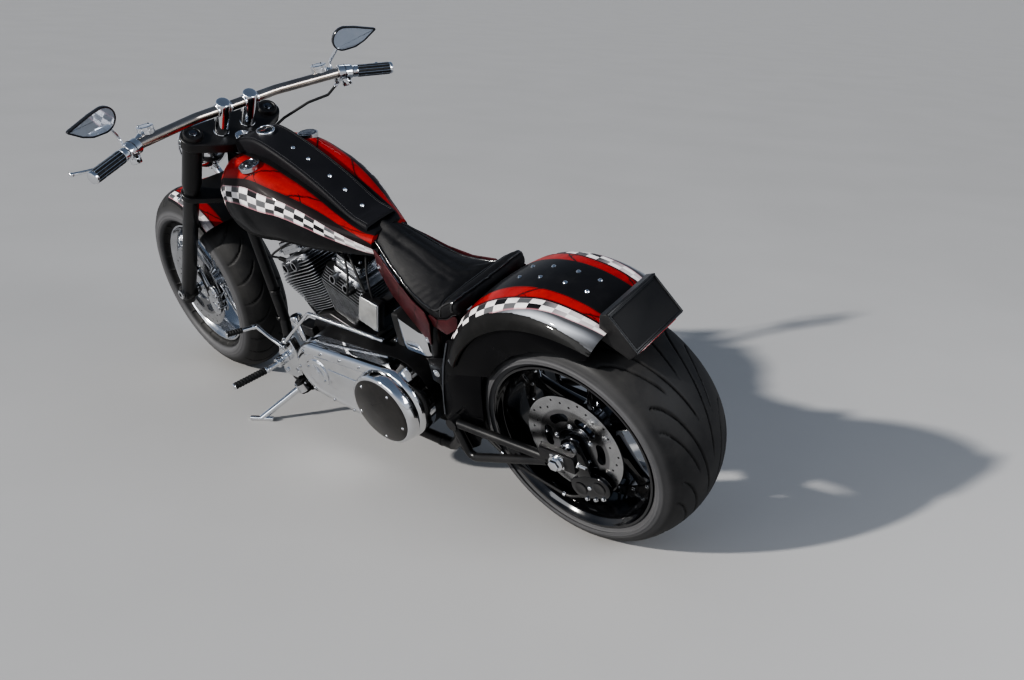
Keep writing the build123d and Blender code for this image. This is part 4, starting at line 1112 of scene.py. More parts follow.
def tyre_piece(name, spec, at, body, pitch_n, kinds):
    (cy, cr), (sy, sr), (wy, wr), (by, br) = spec["crown"], spec["shoulder"], spec["wide"], spec["bead"]
    R = spec["r"]
    rho = (cy * cy + (R - cr) ** 2) / (2 * (R - cr))
    half = []
    na = int(cy / 0.0021)
    for y in np.linspace(0, cy, na, endpoint=False):
        half.append((y, R - rho + sqrt(rho * rho - y * y)))
    side = catmull([(cy * 0.93, cr + 0.004), (cy, cr), (sy, sr), (wy, wr), (by + 0.004, br + 0.012), (by, br)], 9)
    side = side[9:]
    half += [tuple(p) for p in side]
    # moulded ribs on the sidewall
    rib = [(wr + 0.016, 0.0011, 0.0022), (wr + 0.006, 0.0009, 0.0016), (br + 0.020, 0.0010, 0.0020)]
    fine = []
    for i in range(len(half) - 1):
        p, q = V(half[i]), V(half[i + 1])
        k = 2 if p[0] > cy * 1.2 else 1
        for j in range(k):
            fine.append(tuple(p + (q - p) * j / k))
    fine.append(half[-1])
    out = []
    for y, r in fine:
        d = sum(h * np.exp(-((r - c) / w) ** 2) for c, h, w in rib) if y > cy * 1.05 else 0
        out.append((y + d, r))
    half = out + [(by - 0.006, br - 0.006), (by - 0.011, spec["well"] + 0.002)]
    prof = [(-y, r) for y, r in half[::-1][:-1]] + half
    prof = V(prof)
    N = min(520, int(190000 / (2 * (len(prof) + 1))))
    th = np.linspace(0, 2 * pi, N, endpoint=False)
    Y, T = prof[:, 0][:, None], th[None, :]
    rr = np.repeat(prof[:, 1][:, None], N, 1)
    depth = np.zeros_like(rr)
    period = 2 * pi / pitch_n
    for s, y0, y1, bend, sweep, phase, w, d in kinds:
        t = (s * Y - y0) / (y1 - y0)
        tc = np.clip(t, 0, 1)
        thc = sweep * (1 - (1 - tc) ** bend)
        slope = sweep * bend * (1 - tc) ** (bend - 1) / (y1 - y0)
        a = (T - thc - phase * period) / period
        a = (a - np.round(a)) * period * R
        dist = np.abs(a) / np.sqrt(1 + (R * slope) ** 2)
        end = np.clip(np.minimum(t, 1 - t) * (y1 - y0) / 0.006, 0, 1)
        prof_g = np.clip(1.25 - dist / w, 0, 1) * end
        prof_g = prof_g * prof_g * (3 - 2 * prof_g)
        depth = np.maximum(depth, prof_g * d * (t > 0) * (t < 1))
    rr = rr - depth
    pts = np.stack([rr * np.cos(T), np.repeat(Y, N, 1), rr * np.sin(T)], -1)
    pat = np.stack([depth / 0.005, rr / cr, np.repeat(Y, N, 1) / wy], -1)
    b = Build()
    b.grid(pts + V(at), close_v=True, pat=pat.reshape(-1, 3))
    ring = [[(r * cos(t), y, r * sin(t)) for t in th] for y, r in (half[-1], (-half[-1][0], half[-1][1]))]
    b.grid(V(ring) + V(at), close_v=True)
    return b.piece(name + "_detail", body, mat("tyre"), replaces=name, slot="tyre_rubber", smooth=50, merge=1e-6)


REAR_SPEC = dict(r=0.327, crown=(0.100, 0.3065), shoulder=(0.127, 0.290), wide=(0.140, 0.2575), bead=(0.129, 0.245), well=0.236)
FRONT_SPEC = dict(r=0.338, crown=(0.0629, 0.3119), shoulder=(0.0822, 0.2831), wide=(0.089, 0.249), bead=(0.060, 0.221), well=0.212)
RC = V(0, 0, REAR_R)
FC = V(WB, 0, FRONT_Z)
# grooves: side, inner y, outer y, bend, sweep (rad), phase, half width, depth
tyre_piece("rear_tyre", REAR_SPEC, RC, "rear_wheel", 9, [
    (1, 0.006, 0.108, 2.1, -1.05, 0.0, 0.0026, 0.0050), (-1, 0.006, 0.108, 2.1, -1.05, 0.5, 0.0026, 0.0050),
    (1, 0.046, 0.118, 1.7, -0.52, 0.52, 0.0024, 0.0044), (-1, 0.046, 0.118, 1.7, -0.52, 0.02, 0.0024, 0.0044)])
tyre_piece("front_tyre", FRONT_SPEC, FC, "front_wheel", 26, [
    (1, 0.004, 0.074, 1.9, 0.20, 0.0, 0.0022, 0.0040), (-1, 0.004, 0.074, 1.9, 0.20, 0.5, 0.0022, 0.0040),
    (1, 0.034, 0.080, 1.4, 0.08, 0.5, 0.0019, 0.0034), (-1, 0.034, 0.080, 1.4, 0.08, 0.0, 0.0019, 0.0034)])


def rim_profile(by, br, well, lip=0.006):
    """Closed (y, r) section of a deep rim."""
    o = [(by + 0.0045, br - 0.0015), (by + 0.0052, br - 0.004), (by + 0.0048, br - 0.0075), (by + 0.001, br - 0.010),
         (by - 0.006, br - 0.014), (by - 0.010, well - 0.0095)]
    barrel = [(y, well - 0.0115 - 0.006 * cos(min(1, abs(y) / (by - 0.02)) * pi / 2)) for y in np.linspace(by - 0.014, -by + 0.014, 15)]
    inner = o + barrel + [(-y, r) for y, r in o[::-1]]
    outer = [(-by - 0.002, br - 0.0015), (-by - 0.0002, br - 0.002), (-by + 0.008, well - 0.001), (-by + 0.012, well - 0.001),
             (by - 0.012, well - 0.001), (by - 0.008, well - 0.001), (by + 0.0002, br - 0.002), (by + 0.002, br - 0.0015)]
    return inner + outer


def bolt_ring(b, c, y, r, n, d, size, h, mat=0, kind="hex", a0=0.0, washer=True):
    for k in range(n):
        a = a0 + 2 * pi * k / n
        b.bolt(V(c) + V(r * cos(a), y, r * sin(a)), d, size, h, mat, kind, washer)


# ---- rear wheel: deep black rim, bolted centre flange, five blades
b = Build()
b.lathe(rim_profile(0.129, 0.245, 0.236), RC, (0, 1, 0), 128, 0, closed=True)
b.lathe([(-0.013, 0.2185), (-0.013, 0.204), (-0.010, 0.201), (0.010, 0.201), (0.013, 0.204), (0.013, 0.2185)], RC, (0, 1, 0), 96, 0)
for k in range(5):
    a = radians(90 + 72 * k)
    er, et = V(cos(a), 0, sin(a)), V(-sin(a), 0, cos(a))
    rows = []
    for r, w, h in ((0.030, 0.030, 0.021), (0.060, 0.027, 0.020), (0.095, 0.0225, 0.018), (0.135, 0.019, 0.0155), (0.172, 0.0185, 0.0135), (0.196, 0.022, 0.012), (0.209, 0.030, 0.011)):
        sec = [(w * sx * cx, h * sy * cz) for sx, sy, cx, cz in ((1, 1, 1, .35), (1, 1, .8, .82), (1, 1, .35, 1), (-1, 1, .35, 1), (-1, 1, .8, .82), (-1, 1, 1, .35),
                                                             (-1, -1, 1, .35), (-1, -1, .8, .82), (-1, -1, .35, 1), (1, -1, .35, 1), (1, -1, .8, .82), (1, -1, 1, .35))]
        rows.append([RC + er * r + et * u + V(0, v, 0) for u, v in sec])
    b.grid(rows, close_v=True, cap=(True, True), mat=0)
b.lathe([(-0.149, 0.0128), (-0.149, 0.040), (-0.143, 0.046), (-0.100, 0.046), (-0.060, 0.034), (-0.024, 0.036), (-0.020, 0.062), (0.020, 0.062), (0.024, 0.036),
         (0.060, 0.033), (0.090, 0.040), (0.098, 0.060), (0.1068, 0.060), (0.1068, 0.0128)], RC, (0, 1, 0), 64, 2, closed=True)
for s in (1, -1):
    bolt_ring(b, RC, 0.013 * s, 0.2105, 25, (0, s, 0), 0.0044, 0.004, 1, "hex")
bolt_ring(b, RC, 0.020, 0.050, 5, (0, 1, 0), 0.005, 0.004, 1, "hex", a0=0.3)
# valve
va = radians(40)
b.tube(catmull([RC + V(0.214 * cos(va), 0.03, 0.214 * sin(va)), RC + V(0.200 * cos(va), 0.034, 0.200 * sin(va)), RC + V(0.184 * cos(va), 0.045, 0.184 * sin(va))], 5), 0.0035, 10, 1)
b.piece("rear_wheel_rim_detail", "rear_wheel", [mat("gloss_black"), mat("chrome"), mat("chrome_dark")], replaces="rear_wheel_rim", slot="gloss_black", smooth=30)

# ---- rear disc with kidney slots
b = Build()
slots = [kidney(0.070, 0.094, a + 6, a + 52) for a in range(0, 360, 60)]
holes = [circ((0.118 + 0.0085 * (k % 3)) * cos(radians(k * 12)), (0.118 + 0.0085 * (k % 3)) * sin(radians(k * 12)), 0.0030, 10) for k in range(30)]
plate(b, [circle_pts(0, 0, 0.146, 0, 357.5, 144), circle_pts(0, 0, 0.048, 0, 351, 40)] + slots + holes, RC + V(0, 0.107, 0), (0, 0, 1), (1, 0, 0), 0.005, 0, pat=True)
bolt_ring(b, RC, 0.112, 0.0555, 5, (0, 1, 0), 0.0058, 0.005, 1, "dome", a0=0.2)
b.lathe([(0.112, 0.047), (0.1138, 0.0465), (0.1138, 0.030), (0.107, 0.0295)], RC, (0, 1, 0), 48, 2)
b.piece("rear_brake_disc_detail", "rear_wheel", [mat("disc"), mat("chrome"), mat("chrome_dark")], replaces="rear_brake_disc", slot="disc_steel", smooth=30, bevel=0.0)

# ---- belt pulley on the right, toothed
b = Build()
NT = 66
out = []
for k in range(NT):
    for f, r in ((0.0, 0.1095), (0.22, 0.1095), (0.34, 0.1120), (0.84, 0.1120), (0.96, 0.1095)):
        a = 2 * pi * (k + f) / NT
        out.append((r * cos(a), r * sin(a)))
cut = [kidney(0.052, 0.092, a + 8, a + 64) for a in range(0, 360, 72)]
plate(b, [out, circle_pts(0, 0, 0.0215, 0, 348, 30)] + cut, RC + V(0, -0.1775, 0), (0, 0, 1), (1, 0, 0), 0.027, 0, pat=True)
b.lathe([(-0.1782, 0.096), (-0.1798, 0.1135), (-0.1788, 0.1145), (-0.1780, 0.1135)], RC, (0, 1, 0), 90, 1)
bolt_ring(b, RC, -0.1776, 0.038, 5, (0, -1, 0), 0.0058, 0.005, 1, "dome")
b.piece("rear_pulley_detail", "rear_wheel", [mat("chrome_worn"), mat("chrome")], replaces="rear_pulley", slot="disc_steel", smooth=28)

# ---- rear caliper: two halves over the disc, four pistons, on a torque plate
def caliper(b, c, r, a_mid, spread, y0, y1, ydisc, rad, mats=(0, 1, 2), flip=1):
    a0, a1 = radians(a_mid - spread), radians(a_mid + spread)
    c = V(c)
    for ya, yb in ((ydisc + 0.0062 + 0.005, y1), (y0, ydisc - 0.0062)):
        pts = hull2([(r * cos(a0), r * sin(a0), rad), (r * cos(a1), r * sin(a1), rad), (r * 0.93 * cos((a0 + a1) / 2), r * 0.93 * sin((a0 + a1) / 2), rad)], 28)
        b.prism(pts, c + V(0, yb if flip > 0 else ya, 0), (1, 0, 0), (0, 0, 1), (yb - ya) if flip > 0 else (yb - ya), bev=0.004, mat=mats[0], steps=3)
    for a in (a0, a1):
        p = c + V(r * cos(a), 0, r * sin(a))
        b.lathe([(0, rad * 0.60), (0.0022, rad * 0.58), (0.0030, rad * 0.50), (0.0022, rad * 0.42), (0.0022, 0.0005)], p + V(0, y1, 0), (0, 1, 0), 32, mats[0])
    bridge = V(cos((a0 + a1) / 2), 0, sin((a0 + a1) / 2))
    for s in (-1, 0, 1):
        a = radians(a_mid + s * spread * 0.72)
        p = c + V(0.1545 * cos(a), 0, 0.1545 * sin(a))
        b.cyl(p + V(0, y0 + 0.004, 0), p + V(0, y1 - 0.002, 0), 0.0042, n=16, mat=mats[0], bev=0.001)
        b.bolt(p + V(0, y1 - 0.002, 0), (0, 1, 0), 0.0055, 0.005, mats[1], "socket")
    e = c + V((r + rad * 0.4) * cos(a1), y1 - 0.006, (r + rad * 0.4) * sin(a1))
    b.cyl(e, e + bridge * 0.018, 0.0035, n=10, mat=mats[1], bev=0.0008)
    b.cyl(e + bridge * 0.014, e + bridge * 0.022, 0.0048, n=12, mat=mats[2], bev=0.001)


b = Build()
caliper(b, RC, 0.124, 247, 15, 0.0915, 0.1335, 0.107, 0.0335)
arm = hull2([(0, 0, 0.030), (0.118 * cos(radians(247)), 0.118 * sin(radians(247)), 0.021)], 40)
b.prism([(x, z) for x, z in arm], RC + V(0, 0.1320, 0), (1, 0, 0), (0, 0, 1), 0.0125, bev=0.002, mat=0)
b.bolt(RC + V(0.118 * cos(radians(247)), 0.132, 0.118 * sin(radians(247))), (0, 1, 0), 0.007, 0.006, 1, "dome")
hose = rounded([RC + V(-0.020, 0.126, -0.155), RC + V(0.03, 0.135, -0.172), RC + V(0.14, 0.148, -0.130), RC + V(0.22, 0.158, -0.080), RC + V(0.30, 0.150, -0.040)], 0.05, 6)
b.tube(hose, 0.0042, 10, 2)
for p in (hose[6], hose[-8]):
    b.lathe([(-0.004, 0.0058), (0.004, 0.0058)], p, (1, 0, 0.3), 14, 1, cap=(True, True))
b.piece("rear_caliper_detail", "chassis", [mat("gloss_black"), mat("chrome"), mat("rubber_soft")], replaces="rear_caliper", slot="satin_black", smooth=35)

# ---- axle ends, nuts and adjuster blocks
b = Build()
ang = np.arange(6) * pi / 3
for y, s in ((0.193, 1), (-0.229, -1)):
    b.prism(np.stack([0.0160 * np.cos(ang), 0.0160 * np.sin(ang)], -1), RC + V(0, y - s * 0.001, 0), (1, 0, 0), (0, 0, -s), 0.013 if s > 0 else 0.004, bev=0.0022, mat=0, steps=3)
b.lathe([(0.1145, 0.0215), (0.116, 0.0235), (0.121, 0.0235), (0.1225, 0.0215), (0.138, 0.0208), (0.1395, 0.0225), (0.145, 0.0225), (0.1465, 0.0208), (0.1615, 0.0208)], RC, (0, 1, 0), 40, 0)
for yc in (0.170, -0.205):
    sgn = 1 if yc > 0 else -1
    yo = yc + sgn * 0.0085
    b.prism(fillet2([(-0.050, -0.024), (0.060, -0.024), (0.060, 0.024), (-0.050, 0.024)], 0.008), RC + V(0, yo, 0), (1, 0, 0), (0, 0, -sgn), 0.003, bev=0.001, mat=1)
    b.prism(fillet2([(-0.020, -0.019), (0.022, -0.019), (0.022, 0.019), (-0.020, 0.019)], 0.004), RC + V(0, yo + sgn * 0.003, 0), (1, 0, 0), (0, 0, -sgn), 0.004, bev=0.001, mat=0)
    b.cyl(RC + V(-0.052, yc, 0), RC + V(-0.078, yc, 0), 0.0045, n=12, mat=0)
    b.prism(np.stack([0.0085 * np.cos(ang), 0.0085 * np.sin(ang)], -1), RC + V(-0.050, yc, 0), (0, 1, 0), (0, 0, -1), 0.007, bev=0.001, mat=0)
b.piece("rear_axle_fittings", "chassis", [mat("chrome"), mat("satin_black")], slot="chrome", smooth=30)

# ---- front wheel: polished rim and seven slim blades
b = Build()
b.lathe(rim_profile(0.060, 0.221, 0.212), FC, (0, 1, 0), 120, 0, closed=True)
for k in range(7):
    a = radians(90 + 360.0 / 7 * k)
    er, et = V(cos(a), 0, sin(a)), V(-sin(a), 0, cos(a))
    rows = []
    for r, w, h in ((0.022, 0.019, 0.016), (0.050, 0.016, 0.0155), (0.100, 0.0125, 0.013), (0.150, 0.0115, 0.011), (0.185, 0.013, 0.010), (0.199, 0.019, 0.0095)):
        sec = [(w * sx * cx, h * sy * cz) for sx, sy, cx, cz in ((1, 1, 1, .3), (1, 1, .78, .8), (1, 1, .3, 1), (-1, 1, .3, 1), (-1, 1, .78, .8), (-1, 1, 1, .3),
                                                             (-1, -1, 1, .3), (-1, -1, .78, .8), (-1, -1, .3, 1), (1, -1, .3, 1), (1, -1, .78, .8), (1, -1, 1, .3))]
        rows.append([FC + er * r + et * u + V(0, v, 0) for u, v in sec])
    b.grid(rows, close_v=True, cap=(True, True), mat=0)
b.lathe([(-0.088, 0.0128), (-0.088, 0.026), (-0.084, 0.030), (-0.060, 0.030), (-0.030, 0.026), (-0.018, 0.044), (0.018, 0.044), (0.030, 0.028), (0.062, 0.030),
         (0.071, 0.058), (0.0793, 0.058), (0.0793, 0.0128)], FC, (0, 1, 0), 56, 0, closed=True)
b.piece("front_wheel_rim_detail", "front_wheel", [mat("chrome_worn"), mat("chrome")], replaces="front_wheel_rim", slot="chrome", smooth=30)

b = Build()
slots = [kidney(0.070, 0.096, a + 6, a + 52) for a in range(0, 360, 60)]
holes = [circ((0.118 + 0.0085 * (k % 3)) * cos(radians(k * 12)), (0.118 + 0.0085 * (k % 3)) * sin(radians(k * 12)), 0.0030, 10) for k in range(30)]
plate(b, [circle_pts(0, 0, 0.146, 0, 357.5, 144), circle_pts(0, 0, 0.048, 0, 351, 40)] + slots + holes, FC + V(0, 0.0795, 0), (0, 0, 1), (1, 0, 0), 0.005, 0, pat=True)
bolt_ring(b, FC, 0.0845, 0.0545, 5, (0, 1, 0), 0.005, 0.0035, 1, "dome", a0=0.2)
b.piece("front_brake_disc_detail", "front_wheel", [mat("disc"), mat("chrome")], replaces="front_brake_disc", slot="disc_steel", smooth=30)

b = Build()
caliper(b, FC, 0.126, 184, 12, 0.067, 0.1035, 0.0795, 0.0295)
link = hull2([(0.118 * cos(radians(176)), 0.118 * sin(radians(176)), 0.014), (0.118 * cos(radians(128)), 0.118 * sin(radians(128)), 0.014)], 24)
b.prism(link, FC + V(0, 0.1028, 0), (1, 0, 0), (0, 0, 1), 0.0085, bev=0.0015, mat=0)
b.bolt(FC + V(0.118 * cos(radians(128)), 0.1028, 0.118 * sin(radians(128))), (0, 1, 0), 0.006, 0.005, 1, "dome")
b.piece("front_caliper_detail", "fork", [mat("chrome_worn"), mat("chrome"), mat("rubber_soft")], replaces="front_caliper", slot="chrome", smooth=35)

b = Build()
for s in (1, -1):
    b.lathe([(s * 0.1605, 0.0075), (s * 0.1605, 0.013), (s * 0.159, 0.0165), (s * 0.154, 0.0165), (s * 0.1535, 0.0135)][::s], FC, (0, 1, 0), 32, 0)
    ax = on_head(AXLE_S, LEG_FWD, s * 0.127)
    for k in (-1, 1):
        p = V(on_head(AXLE_S + k * 0.018, LEG_FWD + 0.024, s * 0.127))
        b.bolt(p, V(HEAD_FWD), 0.0048, 0.004, 0, "socket", washer=False)
b.piece("front_axle_fittings", "fork", [mat("chrome")], slot="chrome", smooth=30)
# ---------------------------------------------------- tank, fenders and seat
def band_line(edges, counts):
    """Lengths from the centre through band edges, and each column's band place."""
    s, b = [], []
    for i, n in enumerate(counts):
        f = np.arange(n) / n
        s += list(edges[i] + (edges[i + 1] - edges[i]) * f)
        b += list(i + f)
    return np.array(s + [edges[-1]]), np.array(b + [float(len(counts))])


def both_halves(row, pat):
    """Left half from the centre outwards, with its mirror image before it."""
    m = row[::-1][:-1] * V(1, -1, 1)
    return np.vstack([m, row]), np.vstack([pat[::-1][:-1], pat])


# ---- tank
T_RED0 = ([.645, .687, .729, .778, .88, .957, 1.03, 1.13, 1.18, 1.262], [.050, .066, .070, .072, .070, .072, .076, .064, .054, .025])
T_RED1 = ([.645, .711, .763, .849, .984, 1.13, 1.20, 1.262], [.077, .0878, .0966, .1154, .142, .159, .135, .070])
T_CHK0 = ([.645, .716, .785, .876, .989, 1.129, 1.20, 1.262], [.090, .108, .1254, .143, .167, .1794, .160, .088])
T_CHK1 = ([.645, .670, .724, .785, .898, 1.024, 1.13, 1.20, 1.262], [.108, .121, .138, .1593, .1907, .2271, .2285, .215, .125])
CELL_X = np.linspace(0.6, 1.3, 351)
CELL_N = np.cumsum(0.002 / (0.024 + 0.015 * np.clip((CELL_X - 0.72) / 0.38, 0, 1)))
b = Build()
rows, pats = [], []
xs = np.concatenate([np.linspace(0.650, 1.225, 120), np.linspace(1.225, 1.262, 12)[1:]])
for x in xs:
    q = tank_section(x)[1][-1]
    e = [0.0] + [float(spline(t[0], t[1], np.array([x]))[0]) for t in (T_RED0, T_RED1, T_CHK0, T_CHK1)] + [q]
    s, bb = band_line(e, (8, 9, 4, 9, 26))
    p = tank_point(x, s)
    cell = np.interp(x, CELL_X, CELL_N)
    zt = np.interp(x, [.6, .692, 1.112, 1.228, 1.3], [.676, .725, .843, .889, .905])
    wall = V([(x, 0.03, min(z, zt)) for z in (p[-1][2] + 0.02, zt - 0.004, zt)] + [(x, 0.0, zt)])
    zcut = np.interp(x, [1.16, 1.20, 1.30], [.903, .875, .864])
    if x > 1.16:
        k = p[:, 1] < 0.0665
        p[k, 2] = np.minimum(p[k, 2], zcut)
    p = np.vstack([p, wall])
    pt = np.stack([np.full(len(p), 1.262 - x + 0.1125), np.concatenate([bb, [-1, -1, -1, -1]]), np.full(len(p), cell)], -1)
    row, pat = both_halves(p, pt)
    rows.append(row[:-1])
    pats.append(pat[:-1])
rows, pats = V(rows), V(pats)
b.grid(rows, close_v=True, cap=(True, True), pat=pats.reshape(-1, 3))
b.piece("tank_shell", "chassis", mat("paint_tank"), replaces="fuel_tank", slot="paint_red_black", smooth=40)

# ---- padded strip along the tank's top, with studs
CON = V([(1160, 955), (1078, 966), (973, 933), (842, 869), (735, 799), (700, 785), (671, 777)]) / 1000
cl = catmull([(x, 0, z) for x, z in CON[::-1]], 14)
tg = np.gradient(cl, axis=0)
tg /= np.linalg.norm(tg, axis=1)[:, None]
up = np.cross(tg, V(0, -1, 0))
up[up[:, 2] < 0] *= -1
hw = 0.0552
sec = [(0.0, 0.0012), (0.020, 0.0010), (0.040, 0.0002), (0.0485, -0.0008), (0.0525, -0.0030), (0.0548, -0.0068), (0.0555, -0.012), (0.0556, -0.030), (0.0552, -0.0455)]
sec = [(-y, z) for y, z in sec[::-1][:-1]] + sec
b = Build()
rows = []
for i in range(len(cl)):
    rows.append([cl[i] + V(0, y, 0) + up[i] * z for y, z in sec])
first, last = V(rows[0]), V(rows[-1])
rows = [first + up[0] * -0.006 - tg[0] * 0.004] + rows + [last + tg[-1] * 0.005 - up[-1] * 0.0025, last + tg[-1] * 0.008 - up[-1] * 0.009, last + tg[-1] * 0.008 - up[-1] * 0.05]
b.grid(rows, mat=0)
for s in (1, -1):
    line = V([cl[i] + V(0, s * 0.0512, 0) + up[i] * -0.0012 for i in range(len(cl))])
    b.tube(line, 0.0017, 8, 0)
    st = [cl[i] + V(0, s * 0.0452, 0) + up[i] * 0.0003 for i in range(len(cl))]
    ln = np.concatenate([[0], np.cumsum(np.linalg.norm(np.diff(V(st), axis=0), axis=1))])
    for d in np.arange(0.004, ln[-1] - 0.008, 0.0062):
        p = V([np.interp(d, ln, V(st)[:, k]) for k in range(3)])
        q = V([np.interp(d + 0.0042, ln, V(st)[:, k]) for k in range(3)])
        b.tube([p, (p + q) / 2 + V(0, 0, 0.0006), q], 0.00055, 5, 1)
b.piece("console_pad", "chassis", [mat("console_leather"), mat("stitch")], replaces="tank_console", slot="black_leather", smooth=50)


def stud(b, p, n, r=0.0058, h=0.0042, mat=0):
    b.lathe([(-0.001, r * 1.06), (0.0005, r * 1.05), (0.0012, r * 0.9), (h * 0.72, r * 0.62), (h, r * 0.22), (h, 1e-5)], p, n, 18, mat)


b = Build()
for x, z in ((973, 933), (915, 909), (842, 868), (787, 830), (735, 797)):
    i = int(np.argmin(np.abs(cl[:, 0] - x / 1000)))
    stud(b, cl[i] + up[i] * 0.0012, up[i], 0.0062, 0.0048)
b.piece("console_studs", "chassis", [mat("chrome")], slot="chrome", smooth=40)

# ---- gauge in the strip
ga, gd = V(1.080, 0, 0.966), unit(V(-3, 0, 23))
b = Build()
b.lathe([(-0.010, 0.0270), (0.005, 0.0272), (0.0078, 0.0266), (0.0092, 0.0250), (0.0094, 0.0232), (0.0082, 0.0222), (0.0058, 0.0218), (0.0052, 0.0216)], ga, gd, 56, 0)
u, w = frame_of(gd)
ang = np.linspace(0, 2 * pi, 56, endpoint=False)
rr = V([0.0001, 0.006, 0.012, 0.018, 0.0217])
pts = V([[ga + gd * 0.0052 + r * (cos(a) * u + sin(a) * w) for a in ang] for r in rr])
pat = V([[(r / 0.0217 * cos(a), r / 0.0217 * sin(a), 0) for a in ang] for r in rr])
b.grid(pts, close_v=True, pat=pat.reshape(-1, 3), mat=1)
pts = V([[ga + gd * (0.0078 + 0.0012 * (1 - (r / 0.0225) ** 2)) + r * (cos(a) * u + sin(a) * w) for a in ang] for r in (0.0002, 0.008, 0.016, 0.0225)])
b.grid(pts, close_v=True, mat=2)
b.piece("gauge", "chassis", [mat("chrome"), mat("dial"), mat("glass")], replaces="speedometer", slot="dial", smooth=40)

# ---- flush filler caps, knurled edge and turned top
b = Build()
for s in (1, -1):
    ax = unit(V(0, s * 3, 27))
    c = V(1.042, s * 0.110, 0.921)
    c = c + ax * 0.0005
    b.lathe([(-0.012, 0.0298), (0.0008, 0.0304), (0.0016, 0.0294), (0.0018, 0.0264)], c, ax, 56, 0)
    n = 80
    prof = [(0.0012, 0.0262), (0.0030, 0.0262), (0.0036, 0.0254), (0.0038, 0.0225), (0.0033, 0.0220), (0.0033, 0.0127), (0.0039, 0.0121), (0.0041, 0.0001)]
    u, w = frame_of(ax)
    rows = []
    for k, (t, r) in enumerate(prof):
        rr = np.array([r - (0.0005 if (j % 2 and k < 2) else 0) for j in range(n)])
        a = np.linspace(0, 2 * pi, n, endpoint=False)
        rows.append(c + ax * t + rr[:, None] * (np.cos(a)[:, None] * u + np.sin(a)[:, None] * w))
    b.grid(rows, close_v=True, mat=1)
    for k in range(4):
        a = k * pi / 2 + 0.5
        b.bolt(c + ax * 0.0033 + 0.0173 * (cos(a) * u + sin(a) * w), ax, 0.0018, 0.0012, 0, "socket", washer=False)
b.piece("filler_caps", "chassis", [mat("chrome_worn"), mat("chrome_dark")], replaces="fuel_caps", slot="disc_steel", smooth=35)

# ---- rear fender
F_RED0 = ([.46, .69, 1.0, 1.26, 1.62, 1.80, 1.93], [.070, .072, .073, .068, .0645, .063, .064])
F_CHK0 = ([.46, .675, 1.0, 1.19, 1.34, 1.50, 1.68, 1.85, 1.93], [.118, .122, .1215, .116, .1095, .100, .0955, .0896, .087])
F_CHK1 = ([.46, .675, .95, 1.163, 1.389, 1.549, 1.723, 1.884, 1.93], [.168, .170, .166, .1564, .1411, .1294, .1212, .1084, .105])
b = Build()
rows, pats, low_l = [], [], []
for th in np.radians(np.linspace(FEN_A0, FEN_A1, 170)):
    lo = fender_low(th)
    c0 = float(spline(*F_CHK0, np.array([th]))[0])
    e = [0.0, float(spline(*F_RED0, np.array([th]))[0]), c0 - 0.0042, c0, float(spline(*F_CHK1, np.array([th]))[0])]
    e.append(max(lo, e[-1] + 0.004))
    s, bb = band_line(e, (12, 8, 2, 8, 16))
    out = V([fender_point(th, q) for q in s]).reshape(-1, 3)
    inn = V([fender_point(th, q, -0.005) for q in s[::-1][::3]]).reshape(-1, 3)
    p = np.vstack([out, inn])
    L = 0.40 * th
    pt = np.stack([np.full(len(p), L + 0.086), np.concatenate([bb, np.full(len(inn), -1.0)]), np.full(len(p), 0.43 * th / 0.036)], -1)
    row, pat = both_halves(p, pt)
    k = len(inn)
    rows.append(row)
    pats.append(pat)
    low_l.append(out[-1])
rows, pats = V(rows), V(pats)
# rows hold: inner right (reversed), outer right, outer left, inner left
b.grid(rows, pat=pats.reshape(-1, 3))
for i in (0, -1):
    n = rows.shape[1]
    mid = n // 2
    kk = len(range(0, 47, 3))
    outer = rows[i][kk:n - kk]
    inner = np.vstack([rows[i][:kk][::-1], rows[i][n - kk:][::-1]])
    x_in = V([inner[int(round(f))] for f in np.linspace(0, len(inner) - 1, len(outer))])
    b.grid([outer, x_in], pat=np.tile(V(0, -1, 0), (2 * len(outer), 1)))
low_l = V(low_l)
bead = Build()
for s in (1, -1):
    bead.tube(low_l * V(1, s, 1) + V(0, -s * 0.0015, 0), 0.0032, 8, 0)
b.join(bead)
b.p[-1][:] = V(0, -1, 0)
b.piece("rear_fender_shell", "chassis", mat("paint_fender"), replaces="rear_fender", slot="paint_red_black", smooth=45)

b = Build()
for x, z in ((167, 729), (99, 747), (24, 751), (-38, 743)):
    for s in (1, -1):
        p = V(x / 1000, s * 0.0266, z / 1000)
        n = unit(p - V(FEN_C[0], 0, FEN_C[1]))
        q = V(FEN_C[0], s * 0.0266, FEN_C[1]) + unit(V(p[0] - FEN_C[0], 0, p[2] - FEN_C[1])) * 0.3649
        stud(b, q, n, 0.0060, 0.0045)
b.piece("rear_fender_studs", "chassis", [mat("chrome")], slot="chrome", smooth=40)

# ---- tail box: flat black holder with raised edges
b = Build()
TB = V([(-139, 749), (-213, 663), (-191, 640), (-108, 676), (-121, 742)]) / 1000
b.prism(TB, (0, 0.096, 0), (1, 0, 0), (0, 0, 1), 0.192, bev=0.003, mat=0, steps=3)
fa, fb = V(-0.139, 0, 0.749), V(-0.213, 0, 0.663)
fd = unit(fb - fa)
fn = V(-0.758, 0, 0.652)
fl = np.linalg.norm(fb - fa)
M = Matrix(((fd[0], 0, fn[0], fa[0]), (fd[1], 1, fn[1], fa[1]), (fd[2], 0, fn[2], fa[2]), (0, 0, 0, 1)))
for lo, hi in (((0.001, -0.0955, -0.002), (0.0065, 0.0955, 0.0042)), ((fl - 0.0065, -0.0955, -0.002), (fl - 0.001, 0.0955, 0.0022)),
               ((0.001, 0.0905, -0.002), (fl - 0.001, 0.0958, 0.0024)), ((0.001, -0.0958, -0.002), (fl - 0.001, -0.0905, 0.0024))):
    b.rbox(lo, hi, 0.0012, 0, M)
